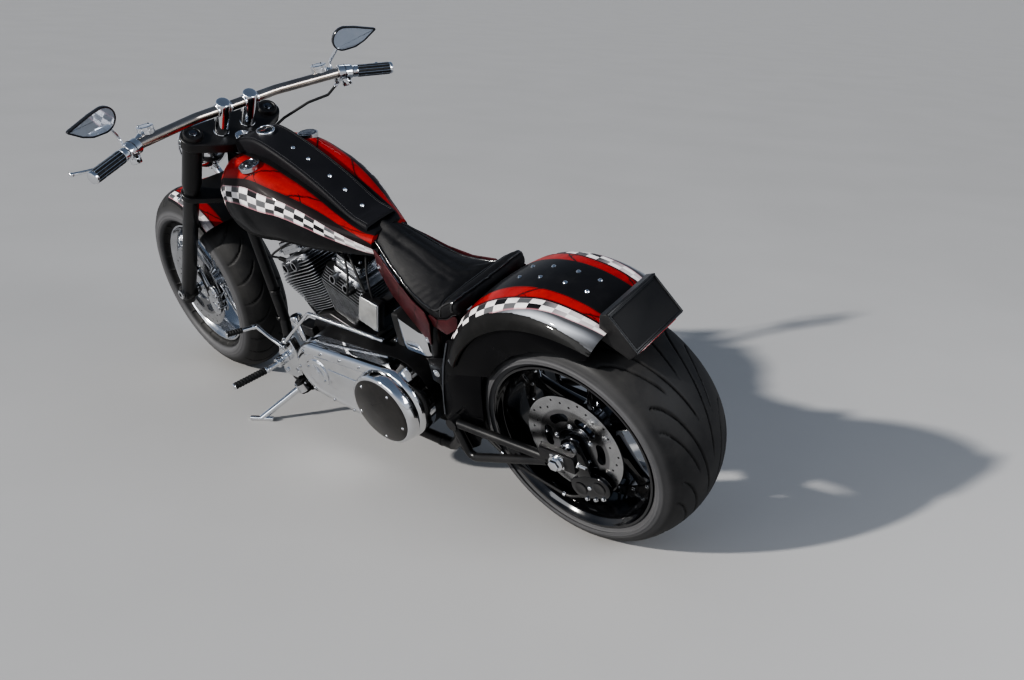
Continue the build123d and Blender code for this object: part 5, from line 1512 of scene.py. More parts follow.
b.rbox((0.012, -0.086, -0.001), (fl - 0.010, 0.086, 0.0012), 0.0006, 1, M)
# lamp strip along the lower rear edge, clear of the plate
la, lb = V(-0.213, 0, 0.663), V(-0.191, 0, 0.640)
ld = unit(lb - la)
ln_ = V(-ld[2] * -1, 0, ld[0] * -1)
ln_ = ln_ if ln_[0] < 0 else -ln_
M2 = Matrix(((ld[0], 0, ln_[0], la[0]), (ld[1], 1, ln_[1], la[1]), (ld[2], 0, ln_[2], la[2]), (0, 0, 0, 1)))
b.rbox((0.006, -0.070, -0.002), (0.024, 0.070, 0.0022), 0.0012, 3, M2)
b.piece("tail_box_detail", "chassis", [mat("satin_black"), mat("matt_black"), mat("chrome_dark"), mat("red_lens")], replaces="tail_box", slot="satin_black", smooth=35)

# ---- maroon side panels under the seat
b = Build()
SK = V([(649, 722), (649, 655), (591, 593), (516, 563), (442, 537), (410, 520), (392, 600), (407, 628), (473, 636), (540, 662), (595, 694)]) / 1000
sk = fillet2(SK, 0.008, 4)
for s in (1, -1):
    n = unit(V(0.325, s, 0))
    e = unit(V(1, -s * 0.325, 0))
    k = np.linalg.norm(V(1, -s * 0.325, 0))
    org = V(0.7, s * 0.048, 0)
    pts = [((x - 0.7) * k, z) for x, z in sk]
    if s > 0:
        b.prism(pts, org + n * 0.0045, e, (0, 0, 1), 0.0045, bev=0.0016, mat=0, steps=3)
    else:
        b.prism(pts, org, e, (0, 0, 1), 0.0045, bev=0.0016, mat=0, steps=3)
    for x, z in ((0.425, 0.534), (0.632, 0.668)):
        p = V(x, s * (0.048 + (0.7 - x) * 0.325), z)
        b.bolt(p + n * 0.0045, n, 0.0072 if x < 0.5 else 0.0045, 0.006, 1, "dome")
BACK = V([(404, 626), (372, 612), (336, 622), (306, 642), (296, 640), (304, 604), (346, 574), (396, 590)]) / 1000
for s in (1, -1):
    b.prism(fillet2(BACK, 0.006, 3), (0, 0.1415 if s > 0 else -0.1380, 0), (1, 0, 0), (0, 0, 1), 0.0035, bev=0.001, mat=0, steps=2)
b.piece("side_panels", "chassis", [mat("maroon"), mat("chrome")], replaces="seat_skirt", slot="paint_red_black", smooth=35)

# ---- seat: cushion swollen by a cloth simulation, then piping and seams
SEAT = V([(700, 50, 757, 771, 742), (645, 64, 737, 762, 716), (595, 82, 703, 738, 676), (540, 100, 670, 711, 643), (473, 121, 643, 680, 612),
          (407, 139, 636, 660, 603), (372, 146, 648, 654, 606), (335, 148, 672, 668, 616), (306, 147, 686, 682, 638), (290, 142, 676, 676, 640)])[::-1] / 1000


def seat_row(x, inset=0.0):
    w, ze, zm, zb = spline(SEAT[:, 0], SEAT[:, 1:], np.array([x]))[0]
    w, ze, zm, zb = w - inset, ze - inset * 0.8, zm - inset * 0.8, zb + inset * 0.5
    h = (ze - zb) * 0.5
    f = np.linspace(0, 1, 10)
    top = arc3((-w + 0.012, ze), (0, zm), (w - 0.012, ze), np.linspace(0, 1, 30))
    side = arc3((w - 0.012, ze), (w, zb + h), (w - 0.014, zb), f)
    bot = np.stack([np.linspace(w - 0.014, -w + 0.014, 16), np.full(16, zb)], -1)
    p = np.vstack([top[:-1], side[:-1], bot[:-1], (side * V(-1, 1))[::-1][:-1]])
    return np.stack([np.full(len(p), x), p[:, 0], p[:, 1]], -1)


def seat_pad():
    b = Build()
    xs = np.linspace(0.294, 0.697, 72)
    rows = V([seat_row(x, 0.0045) for x in xs])
    b.grid(rows, close_v=True, cap=(True, True))
    me = b.mesh("seat_pad")
    bm = bmesh.new()
    bm.from_mesh(me)
    bmesh.ops.recalc_face_normals(bm, faces=bm.faces)
    bm.to_mesh(me)
    bm.free()
    ob = bpy.data.objects.new("seat_pad", me)
    bpy.context.scene.collection.objects.link(ob)
    md = ob.modifiers.new("re", "REMESH")
    md.mode, md.voxel_size, md.use_smooth_shade = "VOXEL", 0.005, True
    dg = bpy.context.evaluated_depsgraph_get()
    me2 = bpy.data.meshes.new_from_object(ob.evaluated_get(dg))
    ob.modifiers.clear()
    ob.data = me2
    n = len(me2.vertices)
    rest = np.empty(n * 3)
    me2.vertices.foreach_get("co", rest)
    rest = rest.reshape(-1, 3)
    out = rest
    vg = ob.vertex_groups.new(name="hold")
    for i, (x, y, z) in enumerate(rest):
        zb = np.interp(x, SEAT[:, 0], SEAT[:, 4])
        if z < zb + 0.006 or x > 0.680:
            vg.add([i], 1.0, "REPLACE")
        elif abs(x - 0.366) < 0.004:
            vg.add([i], 0.85, "REPLACE")
    cm = ob.modifiers.new("cloth", "CLOTH")
    st = cm.settings
    st.quality = 6
    st.mass = 0.3
    st.tension_stiffness = st.compression_stiffness = 22
    st.shear_stiffness = 12
    st.bending_stiffness = 1.2
    st.use_pressure = True
    st.uniform_pressure_force = 4.0
    st.vertex_group_mass = "hold"
    st.effector_weights.gravity = 0.0
    cm.collision_settings.use_collision = False
    sc = bpy.context.scene
    sc.frame_start, sc.frame_end = 1, 20
    cm.point_cache.frame_start, cm.point_cache.frame_end = 1, 20
    for f in range(1, 21):
        sc.frame_set(f)
    dg = bpy.context.evaluated_depsgraph_get()
    me3 = bpy.data.meshes.new_from_object(ob.evaluated_get(dg))
    out = np.empty(n * 3)
    me3.vertices.foreach_get("co", out)
    out = out.reshape(-1, 3)
    mv = out - rest
    d = np.linalg.norm(mv, axis=1)
    cap = 0.007
    print("seat swell mm", round(float(d.max()) * 1000, 1), round(float(d.mean()) * 1000, 1))
    out = rest + mv * np.minimum(1, cap / np.maximum(d, 1e-9))[:, None]
    ob.modifiers.clear()
    bpy.data.meshes.remove(me3)
    sc.frame_set(1)
    # light wrinkles where the pad folds before the rear roll, and creases from the seams
    x, y, z = out.T
    top = np.clip((z - np.interp(x, SEAT[:, 0], SEAT[:, 4]) - 0.015) / 0.01, 0, 1)
    fold = np.exp(-((x - 0.366) / 0.0055) ** 2) * 0.0060 - np.exp(-((x - 0.328) / 0.018) ** 2) * 0.0045
    # the crest along the middle with a crease on either side
    run = np.clip((x - 0.395) / 0.03, 0, 1)
    cr = np.interp(x, [0.40, 0.54, 0.70], [0.036, 0.024, 0.022])
    fold = fold + run * (np.exp(-((np.abs(y) - cr) / 0.0075) ** 2) * 0.0030 - np.exp(-(y / 0.011) ** 2) * 0.0050)
    wr = 0.0007 * np.sin(y * 150 + 9 * np.sin(x * 42)) * np.exp(-((x - 0.402) / 0.025) ** 2)
    wr += 0.0005 * np.sin(x * 210 + 6 * np.sin(y * 33)) * np.clip((np.abs(y) - 0.06) / 0.05, 0, 1)
    out = out + np.stack([0 * x, 0 * x, (wr - fold) * top], -1)
    ob.data.vertices.foreach_set("co", out.ravel())
    ob.data.update()
    return ob


seat = seat_pad()
seat.data.materials.clear()
seat.data.materials.append(mat("leather"))
for p in seat.data.polygons:
    p.use_smooth = True
seat.matrix_world = BODY_M["chassis"]
md = seat.modifiers.new("sub", "SUBSURF")
md.levels = md.render_levels = 1
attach(seat, "chassis")
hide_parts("seat")

from mathutils.bvhtree import BVHTree
_bm = bmesh.new()
_bm.from_mesh(seat.data)
SEAT_TREE = BVHTree.FromBMesh(_bm)


def snap(p, lift=0.0008):
    q, n, i, d = SEAT_TREE.find_nearest(Vector(p))
    return V(q) + V(n) * lift


b = Build()
xx = np.linspace(0.300, 0.690, 60)
for s in (1, -1):
    path = []
    for x in xx:
        w, ze, zm, zb = spline(SEAT[:, 0], SEAT[:, 1:], np.array([x]))[0]
        path.append(snap((x, s * (w - 0.0075), ze - 0.001)))
    b.tube(catmull(path[::2], 3), 0.0032, 10, 0)
    # lower edge welt
    low = []
    for x in xx:
        w, ze, zm, zb = spline(SEAT[:, 0], SEAT[:, 1:], np.array([x]))[0]
        low.append(snap((x, s * (w - 0.010), zb + 0.003)))
    b.tube(catmull(low[::2], 3), 0.0022, 8, 0)
# piping across the roll's crest and at its foot
for xc, dz, r in ((0.3045, 0.004, 0.0028), (0.3520, 0.002, 0.0026)):
    path = []
    for y in np.linspace(-0.134, 0.134, 40):
        w, ze, zm, zb = spline(SEAT[:, 0], SEAT[:, 1:], np.array([xc]))[0]
        path.append(snap((xc - 0.004, y, ze + dz)))
    w, ze, zm, zb = spline(SEAT[:, 0], SEAT[:, 1:], np.array([xc]))[0]
    ends = [(xc, 0.1425, ze - 0.006), (xc + 0.001, 0.1480, ze - 0.018), (xc + 0.002, 0.1480, ze - 0.032)]
    path = [snap(V(p) * V(1, -1, 1)) for p in ends[::-1]] + path + [snap(p) for p in ends]
    b.tube(catmull(path, 2), r, 10, 0)
b.piece("seat_piping", "chassis", [mat("piping")], slot="black_leather", smooth=60)
# ------------------------------------------------------------------- engine
CR = V(0.936, 0, 0.302)
TILT = radians(22.5)
CYL_D = {1: V(sin(TILT), 0, cos(TILT)), -1: V(-sin(TILT), 0, cos(TILT))}
CYL_F = {1: V(cos(TILT), 0, -sin(TILT)), -1: V(cos(TILT), 0, sin(TILT))}


def upc(side, s, off=0.0, y=0.0):
    return CR + CYL_D[side] * s + CYL_F[side] * off + V(0, y, 0)


def round_rect(hx, hy, r, n=6):
    out = []
    for cx, cy, a0 in ((1, 1, 0), (-1, 1, 90), (-1, -1, 180), (1, -1, 270)):
        out += circle_pts(cx * (hx - r), cy * (hy - r), r, a0, a0 + 90, n + 1)
    return out


def clip_half(pts, side, s, margin=0.0006):
    """Keep the part of a cross-section (off, y) that lies on its own side of the engine's middle plane."""
    # x of a point: CR.x + side*sin*s + cos*off
    lim = -side * sin(TILT) * s / cos(TILT) + side * margin
    k = (lambda o: o >= lim) if side > 0 else (lambda o: o <= lim)
    out = []
    n = len(pts)
    for i in range(n):
        a, b = pts[i], pts[(i + 1) % n]
        ka, kb = k(a[0]), k(b[0])
        if ka:
            out.append(a)
        if ka != kb:
            t = (lim - a[0]) / (b[0] - a[0])
            out.append((lim, a[1] + (b[1] - a[1]) * t))
    return out


def slab_at(b, side, outline, s, depth, bev, mat, steps=2):
    o = clip_half(outline, side, s + depth)
    if len(o) < 3:
        return
    b.prism(o, upc(side, s), V(CYL_F[side]), V(0, side * 1.0, 0) * side, depth, bev=bev, mat=mat, steps=steps) if False else None
    # ux x uy must point up the cylinder: F x (0,-1,0)
    b.prism([(x, -y) for x, y in o], upc(side, s), CYL_F[side], (0, -1, 0), depth, bev=bev, mat=mat, steps=steps)


for side, name in ((1, "front"), (-1, "rear")):
    b = Build()
    # base flange, barrel, fins
    slab_at(b, side, round_rect(0.066, 0.062, 0.022), 0.117, 0.009, 0.0015, 1, 2)
    b.cyl(upc(side, 0.108), upc(side, 0.118), 0.0555, n=48, mat=0)
    core = round_rect(0.050, 0.048, 0.030)
    slab_at(b, side, core, 0.118, 0.150, 0.0, 0)
    N = 15
    for k in range(N):
        s = 0.1315 + k * 0.0081
        f = k / (N - 1)
        hl, hw2 = 0.060 + 0.030 * f, 0.057 + 0.0225 * f
        o = round_rect(hl, hw2, 0.022)
        oc = clip_half(o, side, s)
        o2 = clip_half(round_rect(hl - 0.0016, hw2 - 0.0016, 0.0205), side, s)
        b.prism([(x, -y) for x, y in oc], upc(side, s), CYL_F[side], (0, -1, 0), 0.0026, bev=0.0, mat=1)
        b.prism([(x, -y) for x, y in o2], upc(side, s - 0.0002), CYL_F[side], (0, -1, 0), 0.0030, bev=0.0, mat=0)
    # head: finned casting with polished edges, ports and plug
    for k in range(6):
        s = 0.2545 + k * 0.0098
        f = k / 5.0
        hl, hw2 = 0.0895 - 0.012 * f, 0.0800 - 0.010 * f
        for h, t, m_, ds in ((0.0, 0.0034, 1, 0.0), (0.0018, 0.0040, 0, -0.0003)):
            o = clip_half(round_rect(hl - h, hw2 - h, 0.018), side, s)
            b.prism([(x, -y) for x, y in o], upc(side, s + ds), CYL_F[side], (0, -1, 0), t, bev=0.0, mat=m_)
    slab_at(b, side, round_rect(0.066, 0.062, 0.020), 0.250, 0.085, 0.003, 0)
    slab_at(b, side, round_rect(0.058, 0.060, 0.018), 0.312, 0.0235, 0.0025, 1, 3)
    # polished rocker pedestal with two openings on the left
    for o_ in (-0.026, 0.026):
        if side * (CR[0] + side * sin(TILT) * 0.29 + cos(TILT) * o_ - CR[0]) < 0.004:
            continue
        p0 = upc(side, 0.290, o_, 0.0615)
        u_, w_ = CYL_F[side], CYL_D[side]
        oval = [(0.0125 * cos(a), 0.0165 * sin(a)) for a in np.linspace(0, 2 * pi, 26, endpoint=False)]
        hole = [(0.0080 * cos(a), 0.0115 * sin(a)) for a in np.linspace(0, 2 * pi, 26, endpoint=False)]
        plate(b, [oval, hole], p0 + V(0, 0.0225, 0), CYL_F[side], CYL_D[side] * -1, 0.0 + 0.004, 1)
        b.grid([[p0 + V(0, 0.0185, 0) + u_ * x + w_ * z for x, z in hole], [p0 + u_ * x + w_ * z for x, z in hole]], close_v=True, mat=2, cap=(False, True))
        b.grid([[p0 + V(0, 0.0225, 0) + u_ * x + w_ * z for x, z in oval], [p0 + u_ * x + w_ * z for x, z in oval]], close_v=True, mat=1)
    # head bolts at the corners
    for ox in (-0.048, 0.048):
        for oy in (-0.046, 0.046):
            if (sin(TILT) * side * 0.335 + cos(TILT) * ox) * side > 0.012:
                b.bolt(upc(side, 0.3355, ox * 1.08, oy * 1.22), CYL_D[side], 0.0052, 0.006, 1, "socket")
    # plug and its lead on the left
    pp = upc(side, 0.286, side * 0.070, 0.030)
    pd = unit(V(side * 0.75, 0.45, 0.5)) if side > 0 else unit(V(-0.4, 0.9, 0.3))
    pq = pp if side > 0 else upc(side, 0.286, -0.045, 0.060)
    b.cyl(pq, pq + pd * 0.022, 0.0065, n=14, mat=1)
    b.cyl(pq + pd * 0.018, pq + pd * 0.046, 0.0078, 0.0062, n=14, mat=2, bev=0.0012)
    b.piece(name + "_barrel", "chassis", [mat("fin_black"), mat("aluminium"), mat("matt_black")], replaces=name + "_cylinder", slot="engine_metal", smooth=32)

# plug leads to the coil under the tank
b = Build()
f0 = upc(1, 0.286, 0.070, 0.030) + unit(V(0.75, 0.45, 0.5)) * 0.046
r0 = upc(-1, 0.286, -0.045, 0.060) + unit(V(-0.4, 0.9, 0.3)) * 0.046
b.tube(catmull([f0, f0 + V(0.012, 0.012, 0.014), V(1.05, 0.062, 0.640), V(0.96, 0.058, 0.672), V(0.90, 0.045, 0.690)], 8), 0.0034, 8, 0)
b.tube(catmull([r0, r0 + V(-0.010, 0.014, 0.008), V(0.760, 0.094, 0.620), V(0.79, 0.066, 0.670), V(0.83, 0.045, 0.690)], 8), 0.0034, 8, 0)
b.piece("plug_leads", "chassis", [mat("rubber_soft")], slot="hose_rubber", smooth=60)

# ---- rocker covers
b = Build()
for side in (1, -1):
    for s0, dep, hx, hy, m_, bv in ((0.3355, 0.012, 0.0515, 0.0575, 0, 0.0015), (0.3475, 0.0015, 0.0500, 0.0560, 1, 0.0), (0.349, 0.0145, 0.0515, 0.0575, 0, 0.0018),
                                   (0.3635, 0.0015, 0.0500, 0.0560, 1, 0.0), (0.365, 0.0195, 0.0505, 0.0565, 0, 0.0060)):
        o = round_rect(hx, hy, 0.014)
        b.prism([(x, -y) for x, y in o], upc(side, s0), CYL_F[side], (0, -1, 0), dep, bev=bv, mat=m_, steps=3)
    for ox in (-0.041, 0.0, 0.041):
        for oy in (-0.047, 0.047):
            b.bolt(upc(side, 0.3812, ox, oy), CYL_D[side], 0.0042, 0.004, 0, "socket")
b.piece("rocker_boxes", "chassis", [mat("chrome_worn"), mat("matt_black")], replaces="rocker_covers", slot="chrome", smooth=32)

# ---- crankcase
b = Build()
cc = V([(1040, 205), (1054, 330), (1010, 404), (936, 432), (840, 404), (768, 346), (768, 200), (830, 172), (1005, 172)]) / 1000
b.prism(fillet2(cc, 0.028, 5), (0, 0.075, 0), (1, 0, 0), (0, 0, 1), 0.150, bev=0.006, mat=0, steps=3)
b.lathe([(-0.0755, 0.108), (-0.0755, 0.113), (-0.070, 0.1165), (0.070, 0.1165), (0.0755, 0.113), (0.0755, 0.108)], CR, (0, 1, 0), 72, 0)
# joint line and ribs on the case
b.prism(fillet2(cc * 1.0, 0.028, 5), (0, 0.0015, 0), (1, 0, 0), (0, 0, 1), 0.003, bev=0.0, mat=1)
for x, z in ((1.044, 0.230), (1.050, 0.315), (1.000, 0.402), (0.880, 0.412), (0.790, 0.360), (0.855, 0.180), (0.980, 0.180)):
    b.cyl((x, -0.030, z), (x, 0.030, z), 0.0095, n=18, mat=0, bev=0.002)
    b.bolt((x, 0.030, z), (0, 1, 0), 0.0058, 0.005, 2, "socket", washer=False)
# cylinder seats
for side in (1, -1):
    o = clip_half(round_rect(0.070, 0.066, 0.024), side, 0.117)
    b.prism([(x, -y) for x, y in o], upc(side, 0.090), CYL_F[side], (0, -1, 0), 0.0275, bev=0.002, mat=0, steps=2)
    for ox, oy in ((0.056, 0.056), (-0.056, 0.056), (0.056, -0.056), (-0.056, -0.056)):
        if (side * sin(TILT) * 0.118 + cos(TILT) * ox) * side > 0.008:
            b.bolt(upc(side, 0.1175, ox, oy), CYL_D[side], 0.0062, 0.007, 2, "hex")
# cam cover on the right, turned rings and screws
cv = V(0.938, 0, 0.316)
b.lathe([(-0.0745, 0.083), (-0.097, 0.082), (-0.1035, 0.076), (-0.104, 0.060), (-0.1015, 0.057), (-0.1015, 0.030), (-0.104, 0.028), (-0.104, 0.0001)], cv, (0, 1, 0), 80, 3)
for k in range(8):
    a = k * pi / 4 + 0.2
    b.bolt(cv + V(0.068 * cos(a), -0.104, 0.068 * sin(a)), (0, -1, 0), 0.0042, 0.004, 2, "socket")
for k in range(4):
    a = k * pi / 2 + 0.6
    b.bolt(cv + V(0.020 * cos(a), -0.104, 0.020 * sin(a)), (0, -1, 0), 0.003, 0.002, 2, "dome", washer=False)
# lifter blocks and pushrod tubes
for side in (1, -1):
    for o_ in (0.012, 0.046):
        off = side * o_
        p0 = V(0.936 + side * (0.040 + o_ * 0.5), -0.086, 0.372)
        p1 = upc(side, 0.272, side * (o_ - 0.012), -0.083)
        b.cyl(p0, p0 + (p1 - p0) * 0.18, 0.0105, n=20, mat=2, bev=0.002)
        b.cyl(p0 + (p1 - p0) * 0.18, p0 + (p1 - p0) * 0.60, 0.0072, n=18, mat=2)
        b.cyl(p0 + (p1 - p0) * 0.58, p0 + (p1 - p0) * 0.66, 0.0092, n=18, mat=2, bev=0.001)
        b.cyl(p0 + (p1 - p0) * 0.66, p1, 0.0078, n=18, mat=2)
# bright oil filter canister at the front left, on a ribbed base
ca, cb = V(1.080, 0.090, 0.302), V(1.098, 0.090, 0.388)
cd = cb - ca
b.rbox((1.020, 0.052, 0.323), (1.084, 0.0955, 0.361), 0.004, 0, steps=3)
b.lathe([(0.0, 0.0001), (0.0, 0.0165), (0.003, 0.0186), (0.060, 0.0190), (0.064, 0.0178), (0.067, 0.0190), (0.0835, 0.0190), (0.0875, 0.0160), (0.0878, 0.0001)], ca, cd, 40, 2)
for k in range(14):
    a = 2 * pi * k / 14
    u, w = frame_of(cd)
    q = ca + unit(cd) * 0.072 + 0.0186 * (cos(a) * u + sin(a) * w)
    b.cyl(q, q + unit(cd) * 0.010, 0.0014, n=6, mat=2)
b.piece("engine_cases", "chassis", [mat("satin_black"), mat("matt_black"), mat("chrome"), mat("chrome_worn")], replaces="crankcase", slot="engine_metal", smooth=32)

# ---- air cleaner: round cover on the right
b = Build()
ac = V(0.936, 0, 0.512)
b.lathe([(-0.127, 0.084), (-0.132, 0.0858), (-0.140, 0.0840), (-0.141, 0.079), (-0.160, 0.079), (-0.161, 0.0845), (-0.166, 0.0860), (-0.174, 0.083), (-0.181, 0.072),
         (-0.1838, 0.052), (-0.1838, 0.034), (-0.1815, 0.031), (-0.1815, 0.0001)], ac, (0, 1, 0), 96, 0)
b.lathe([(-0.127, 0.084), (-0.1265, 0.030)], ac, (0, 1, 0), 48, 1)
for k in range(48):
    a = 2 * pi * k / 48
    p = ac + V(0.0795 * cos(a), -0.141, 0.0795 * sin(a))
    b.cyl(p, p + V(0, -0.020, 0), 0.0022, n=6, mat=1, caps=False)
b.cyl((0.936, -0.083, 0.516), (0.936, -0.128, 0.516), 0.0235, n=32, mat=1)
b.bolt(ac + V(0, -0.1815, 0), (0, -1, 0), 0.009, 0.005, 0, "socket")
for k in range(3):
    a = k * 2 * pi / 3 + 0.4
    b.bolt(ac + V(0.050 * cos(a), -0.1838, 0.050 * sin(a)), (0, -1, 0), 0.0038, 0.003, 0, "socket")
b.piece("air_filter", "chassis", [mat("chrome"), mat("matt_black")], replaces="air_cleaner", slot="chrome", smooth=32)

# ---- gearbox
b = Build()
gp = V([(768, 196), (768, 330), (700, 394), (500, 394), (464, 330), (472, 186), (520, 172), (740, 172)]) / 1000
b.prism(fillet2(gp, 0.020, 5), (0, 0.0748, 0), (1, 0, 0), (0, 0, 1), 0.1496, bev=0.005, mat=0, steps=3)
b.prism(fillet2([(0.520, 0.389), (0.690, 0.389), (0.690, 0.3975), (0.520, 0.3975)], 0.003), (0, 0.060, 0), (1, 0, 0), (0, 0, 1), 0.120, bev=0.0015, mat=1)
for x in (0.530, 0.605, 0.680):
    for y in (-0.050, 0.050):
        b.bolt((x, y, 0.3975), (0, 0, 1), 0.0045, 0.004, 2, "socket")
b.lathe([(-0.0745, 0.062), (-0.090, 0.060), (-0.094, 0.054), (-0.094, 0.0001)], (0.640, 0, 0.290), (0, 1, 0), 56, 1)
for k in range(6):
    a = k * pi / 3 + 0.3
    b.bolt(V(0.640 + 0.049 * cos(a), -0.0935, 0.290 + 0.049 * sin(a)), (0, -1, 0), 0.0042, 0.004, 2, "socket")
bx_, bz_ = 0.520, 0.292
out = []
for k in range(30):
    for f_, r in ((0.0, 0.0440), (0.20, 0.0440), (0.34, 0.0462), (0.84, 0.0462), (0.97, 0.0440)):
        a = 2 * pi * (k + f_) / 30
        out.append((r * cos(a), r * sin(a)))
plate(b, [out, circ(0, 0, 0.012, 20)], (bx_, -0.177, bz_), (0, 0, 1), (1, 0, 0), 0.0255, 2)
b.cyl((bx_, -0.0745, bz_), (bx_, -0.1795, bz_), 0.0195, n=28, mat=2, bev=0.002)
b.bolt((bx_, -0.1795, bz_), (0, -1, 0), 0.014, 0.0005, 2, "hex", washer=False)
for z in np.linspace(0.200, 0.330, 7):
    b.rbox((0.4595 if z < 0 else 0.4605, -0.060, z - 0.0015), (0.4700, 0.060, z + 0.0015), 0.001, 0)
b.piece("gearbox_case", "chassis", [mat("satin_black"), mat("chrome_worn"), mat("chrome")], replaces="gearbox", slot="satin_black", smooth=32)

# ---- primary cover: chrome case with a gasket line, screws and a dark top
PO = hull2([(0.909, 0.296, 0.096), (0.600, 0.290, 0.122)], 72)
PO = V(PO)
pc = V(0.745, 0.293)


def inset(o, d):
    o = V(o)
    n = []
    k = len(o)
    for i in range(k):
        e0, e1 = o[i] - o[i - 1], o[(i + 1) % k] - o[i]
        n0, n1 = unit((e0[1], -e0[0])), unit((e1[1], -e1[0]))
        v = n0 + n1
        n.append(v / max(v @ v / 2, 0.5))
    return o - V(n) * d


b = Build()
sections = [(0.0752, 0.0), (0.1295, 0.0), (0.1300, 0.0008), (0.1312, 0.0008), (0.1317, 0.0), (0.170, 0.0), (0.1802, 0.0014), (0.1880, 0.0052), (0.1928, 0.0108), (0.1950, 0.0180), (0.1958, 0.0280),
            (0.1945, 0.0300), (0.1935, 0.0335), (0.1935, 0.0500)]
rows = []
for y, d in sections:
    q = inset(PO, d)
    rows.append(np.stack([q[:, 0], np.full(len(q), y), q[:, 1]], -1))
b.grid(rows[:3], close_v=True, mat=1)
b.grid(rows[2:4], close_v=True, mat=2)
b.grid(rows[3:], close_v=True, mat=0, cap=(False, True))
# screws round the face
q = inset(PO, 0.0165)
ln = np.concatenate([[0], np.cumsum(np.linalg.norm(np.diff(np.vstack([q, q[:1]]), axis=0), axis=1))])
for d in np.linspace(0, ln[-1], 15)[:-1]:
    px = np.interp(d, ln, np.append(q[:, 0], q[0, 0]))
    pz = np.interp(d, ln, np.append(q[:, 1], q[0, 1]))
    b.bolt((px, 0.1934, pz), (0, 1, 0), 0.0046, 0.0042, 3, "socket", washer=False)
# inspection cover towards the front and a raised boss line
b.lathe([(0.1930, 0.048), (0.1975, 0.047), (0.1992, 0.043), (0.1992, 0.030), (0.1980, 0.028), (0.1980, 0.0001)], (0.905, 0, 0.298), (0, 1, 0), 56, 0)
for k in range(2):
    a = k * pi + 0.5
    b.bolt((0.905 + 0.036 * cos(a), 0.1990, 0.298 + 0.036 * sin(a)), (0, 1, 0), 0.0036, 0.003, 3, "socket", washer=False)
b.rbox((0.700, 0.192, 0.262), (0.850, 0.1966, 0.330), 0.0045, 0, steps=3)
# drain plug
b.bolt((0.700, 0.120, 0.1765), (0, 0, -1), 0.009, 0.006, 3, "hex")
b.piece("primary_case", "chassis", [mat("chrome"), mat("satin_black"), mat("matt_black"), mat("chrome_worn")], replaces="primary_cover", slot="chrome", smooth=32)

# ---- clutch cover: chrome drum under a domed black cap
b = Build()
cc_ = V(0.600, 0, 0.290)
b.lathe([(0.1935, 0.1170), (0.1990, 0.1172), (0.2060, 0.1160), (0.2170, 0.1130), (0.2230, 0.1110), (0.2268, 0.1060), (0.2275, 0.1020)], cc_, (0, 1, 0), 96, 0)
b.lathe([(0.2262, 0.1025), (0.2285, 0.1022), (0.2300, 0.1000), (0.2318, 0.0900), (0.2360, 0.0700), (0.2392, 0.0450), (0.2412, 0.0200), (0.2418, 0.0001)], cc_, (0, 1, 0), 96, 1)
for k in range(5):
    a = k * 2 * pi / 5 + 0.95
    b.bolt(cc_ + V(0.088 * cos(a), 0.2318, 0.088 * sin(a)), unit(V(0.2 * cos(a), 1, 0.2 * sin(a))), 0.0050, 0.0036, 2, "dome", washer=False)
b.piece("clutch_dome", "chassis", [mat("chrome"), mat("dome_black"), mat("chrome_worn")], replaces="clutch_cover", slot="cover_black", smooth=40)

# ---- oil tank, chrome, with the cut-back top corners
b = Build()


def skirt_y(x):
    return 0.048 + (0.7 - x) * 0.325 - 0.004


xs_ = np.linspace(0.453, 0.553, 12)
rows = []
for x in xs_:
    zt = np.interp(x, [0.453, 0.474, 0.556], [0.560, 0.584, 0.596])
    f = np.clip(min((x - 0.453), (0.553 - x)) / 0.020, 0, 1)
    w = 0.132 - 0.012 * (1 - sqrt(1 - (1 - f) ** 2))
    ws = min(w, skirt_y(x) - 0.002)
    zsk = np.interp(x, [0.410, 0.442, 0.516, 0.591], [0.520, 0.537, 0.563, 0.593]) - 0.010
    r_ = 0.022
    o = [(ws - 0.014, zt), (ws - 0.003, zt - 0.004), (ws, zt - 0.012)] if zt > zsk + 0.013 else [(w - 0.02, zt), (w - 0.006, zt - 0.006), (w - 0.001, zt - 0.012)]
    o += [(ws + 0.0, min(zt - 0.012, zsk + 0.001)), (w - 0.001, min(zt - 0.0125, zsk)), (w, zsk - 0.012), (w, 0.480), (w - 0.002, 0.462), (w - 0.010, 0.450), (w - 0.022, 0.446)]
    o = V(o)
    row = np.vstack([np.stack([np.full(len(o), x), o[:, 0], o[:, 1]], -1), np.stack([np.full(len(o), x), -o[::-1, 0], o[::-1, 1]], -1)])
    rows.append(row)
rows = V(rows)
for part, m_ in ((rows[:, 0:4], 0), (rows[:, 3:5], 2), (rows[:, 4:16], 0), (rows[:, 15:17], 2), (rows[:, [16, 17, 18, 19, 0]], 0)):
    b.grid(part, mat=m_)
b.grid([rows[0]], close_v=True, cap=(True, False), mat=0)
b.grid([rows[-1]], close_v=True, cap=(False, True), mat=0)
b.rbox((0.547, -0.116, 0.450), (0.589, 0.116, 0.556), 0.006, 2, steps=3)
b.tube(catmull([V(0.480, 0.060, 0.448), V(0.478, 0.062, 0.425), V(0.500, 0.064, 0.405), V(0.530, 0.062, 0.396)], 8), 0.0055, 10, 1)
b.tube(catmull([V(0.500, -0.060, 0.448), V(0.498, -0.062, 0.425), V(0.520, -0.064, 0.405), V(0.550, -0.062, 0.396)], 8), 0.0055, 10, 1)
b.piece("oil_tank_shell", "chassis", [mat("chrome"), mat("rubber_soft"), mat("matt_black")], replaces="oil_tank", slot="chrome", smooth=40)

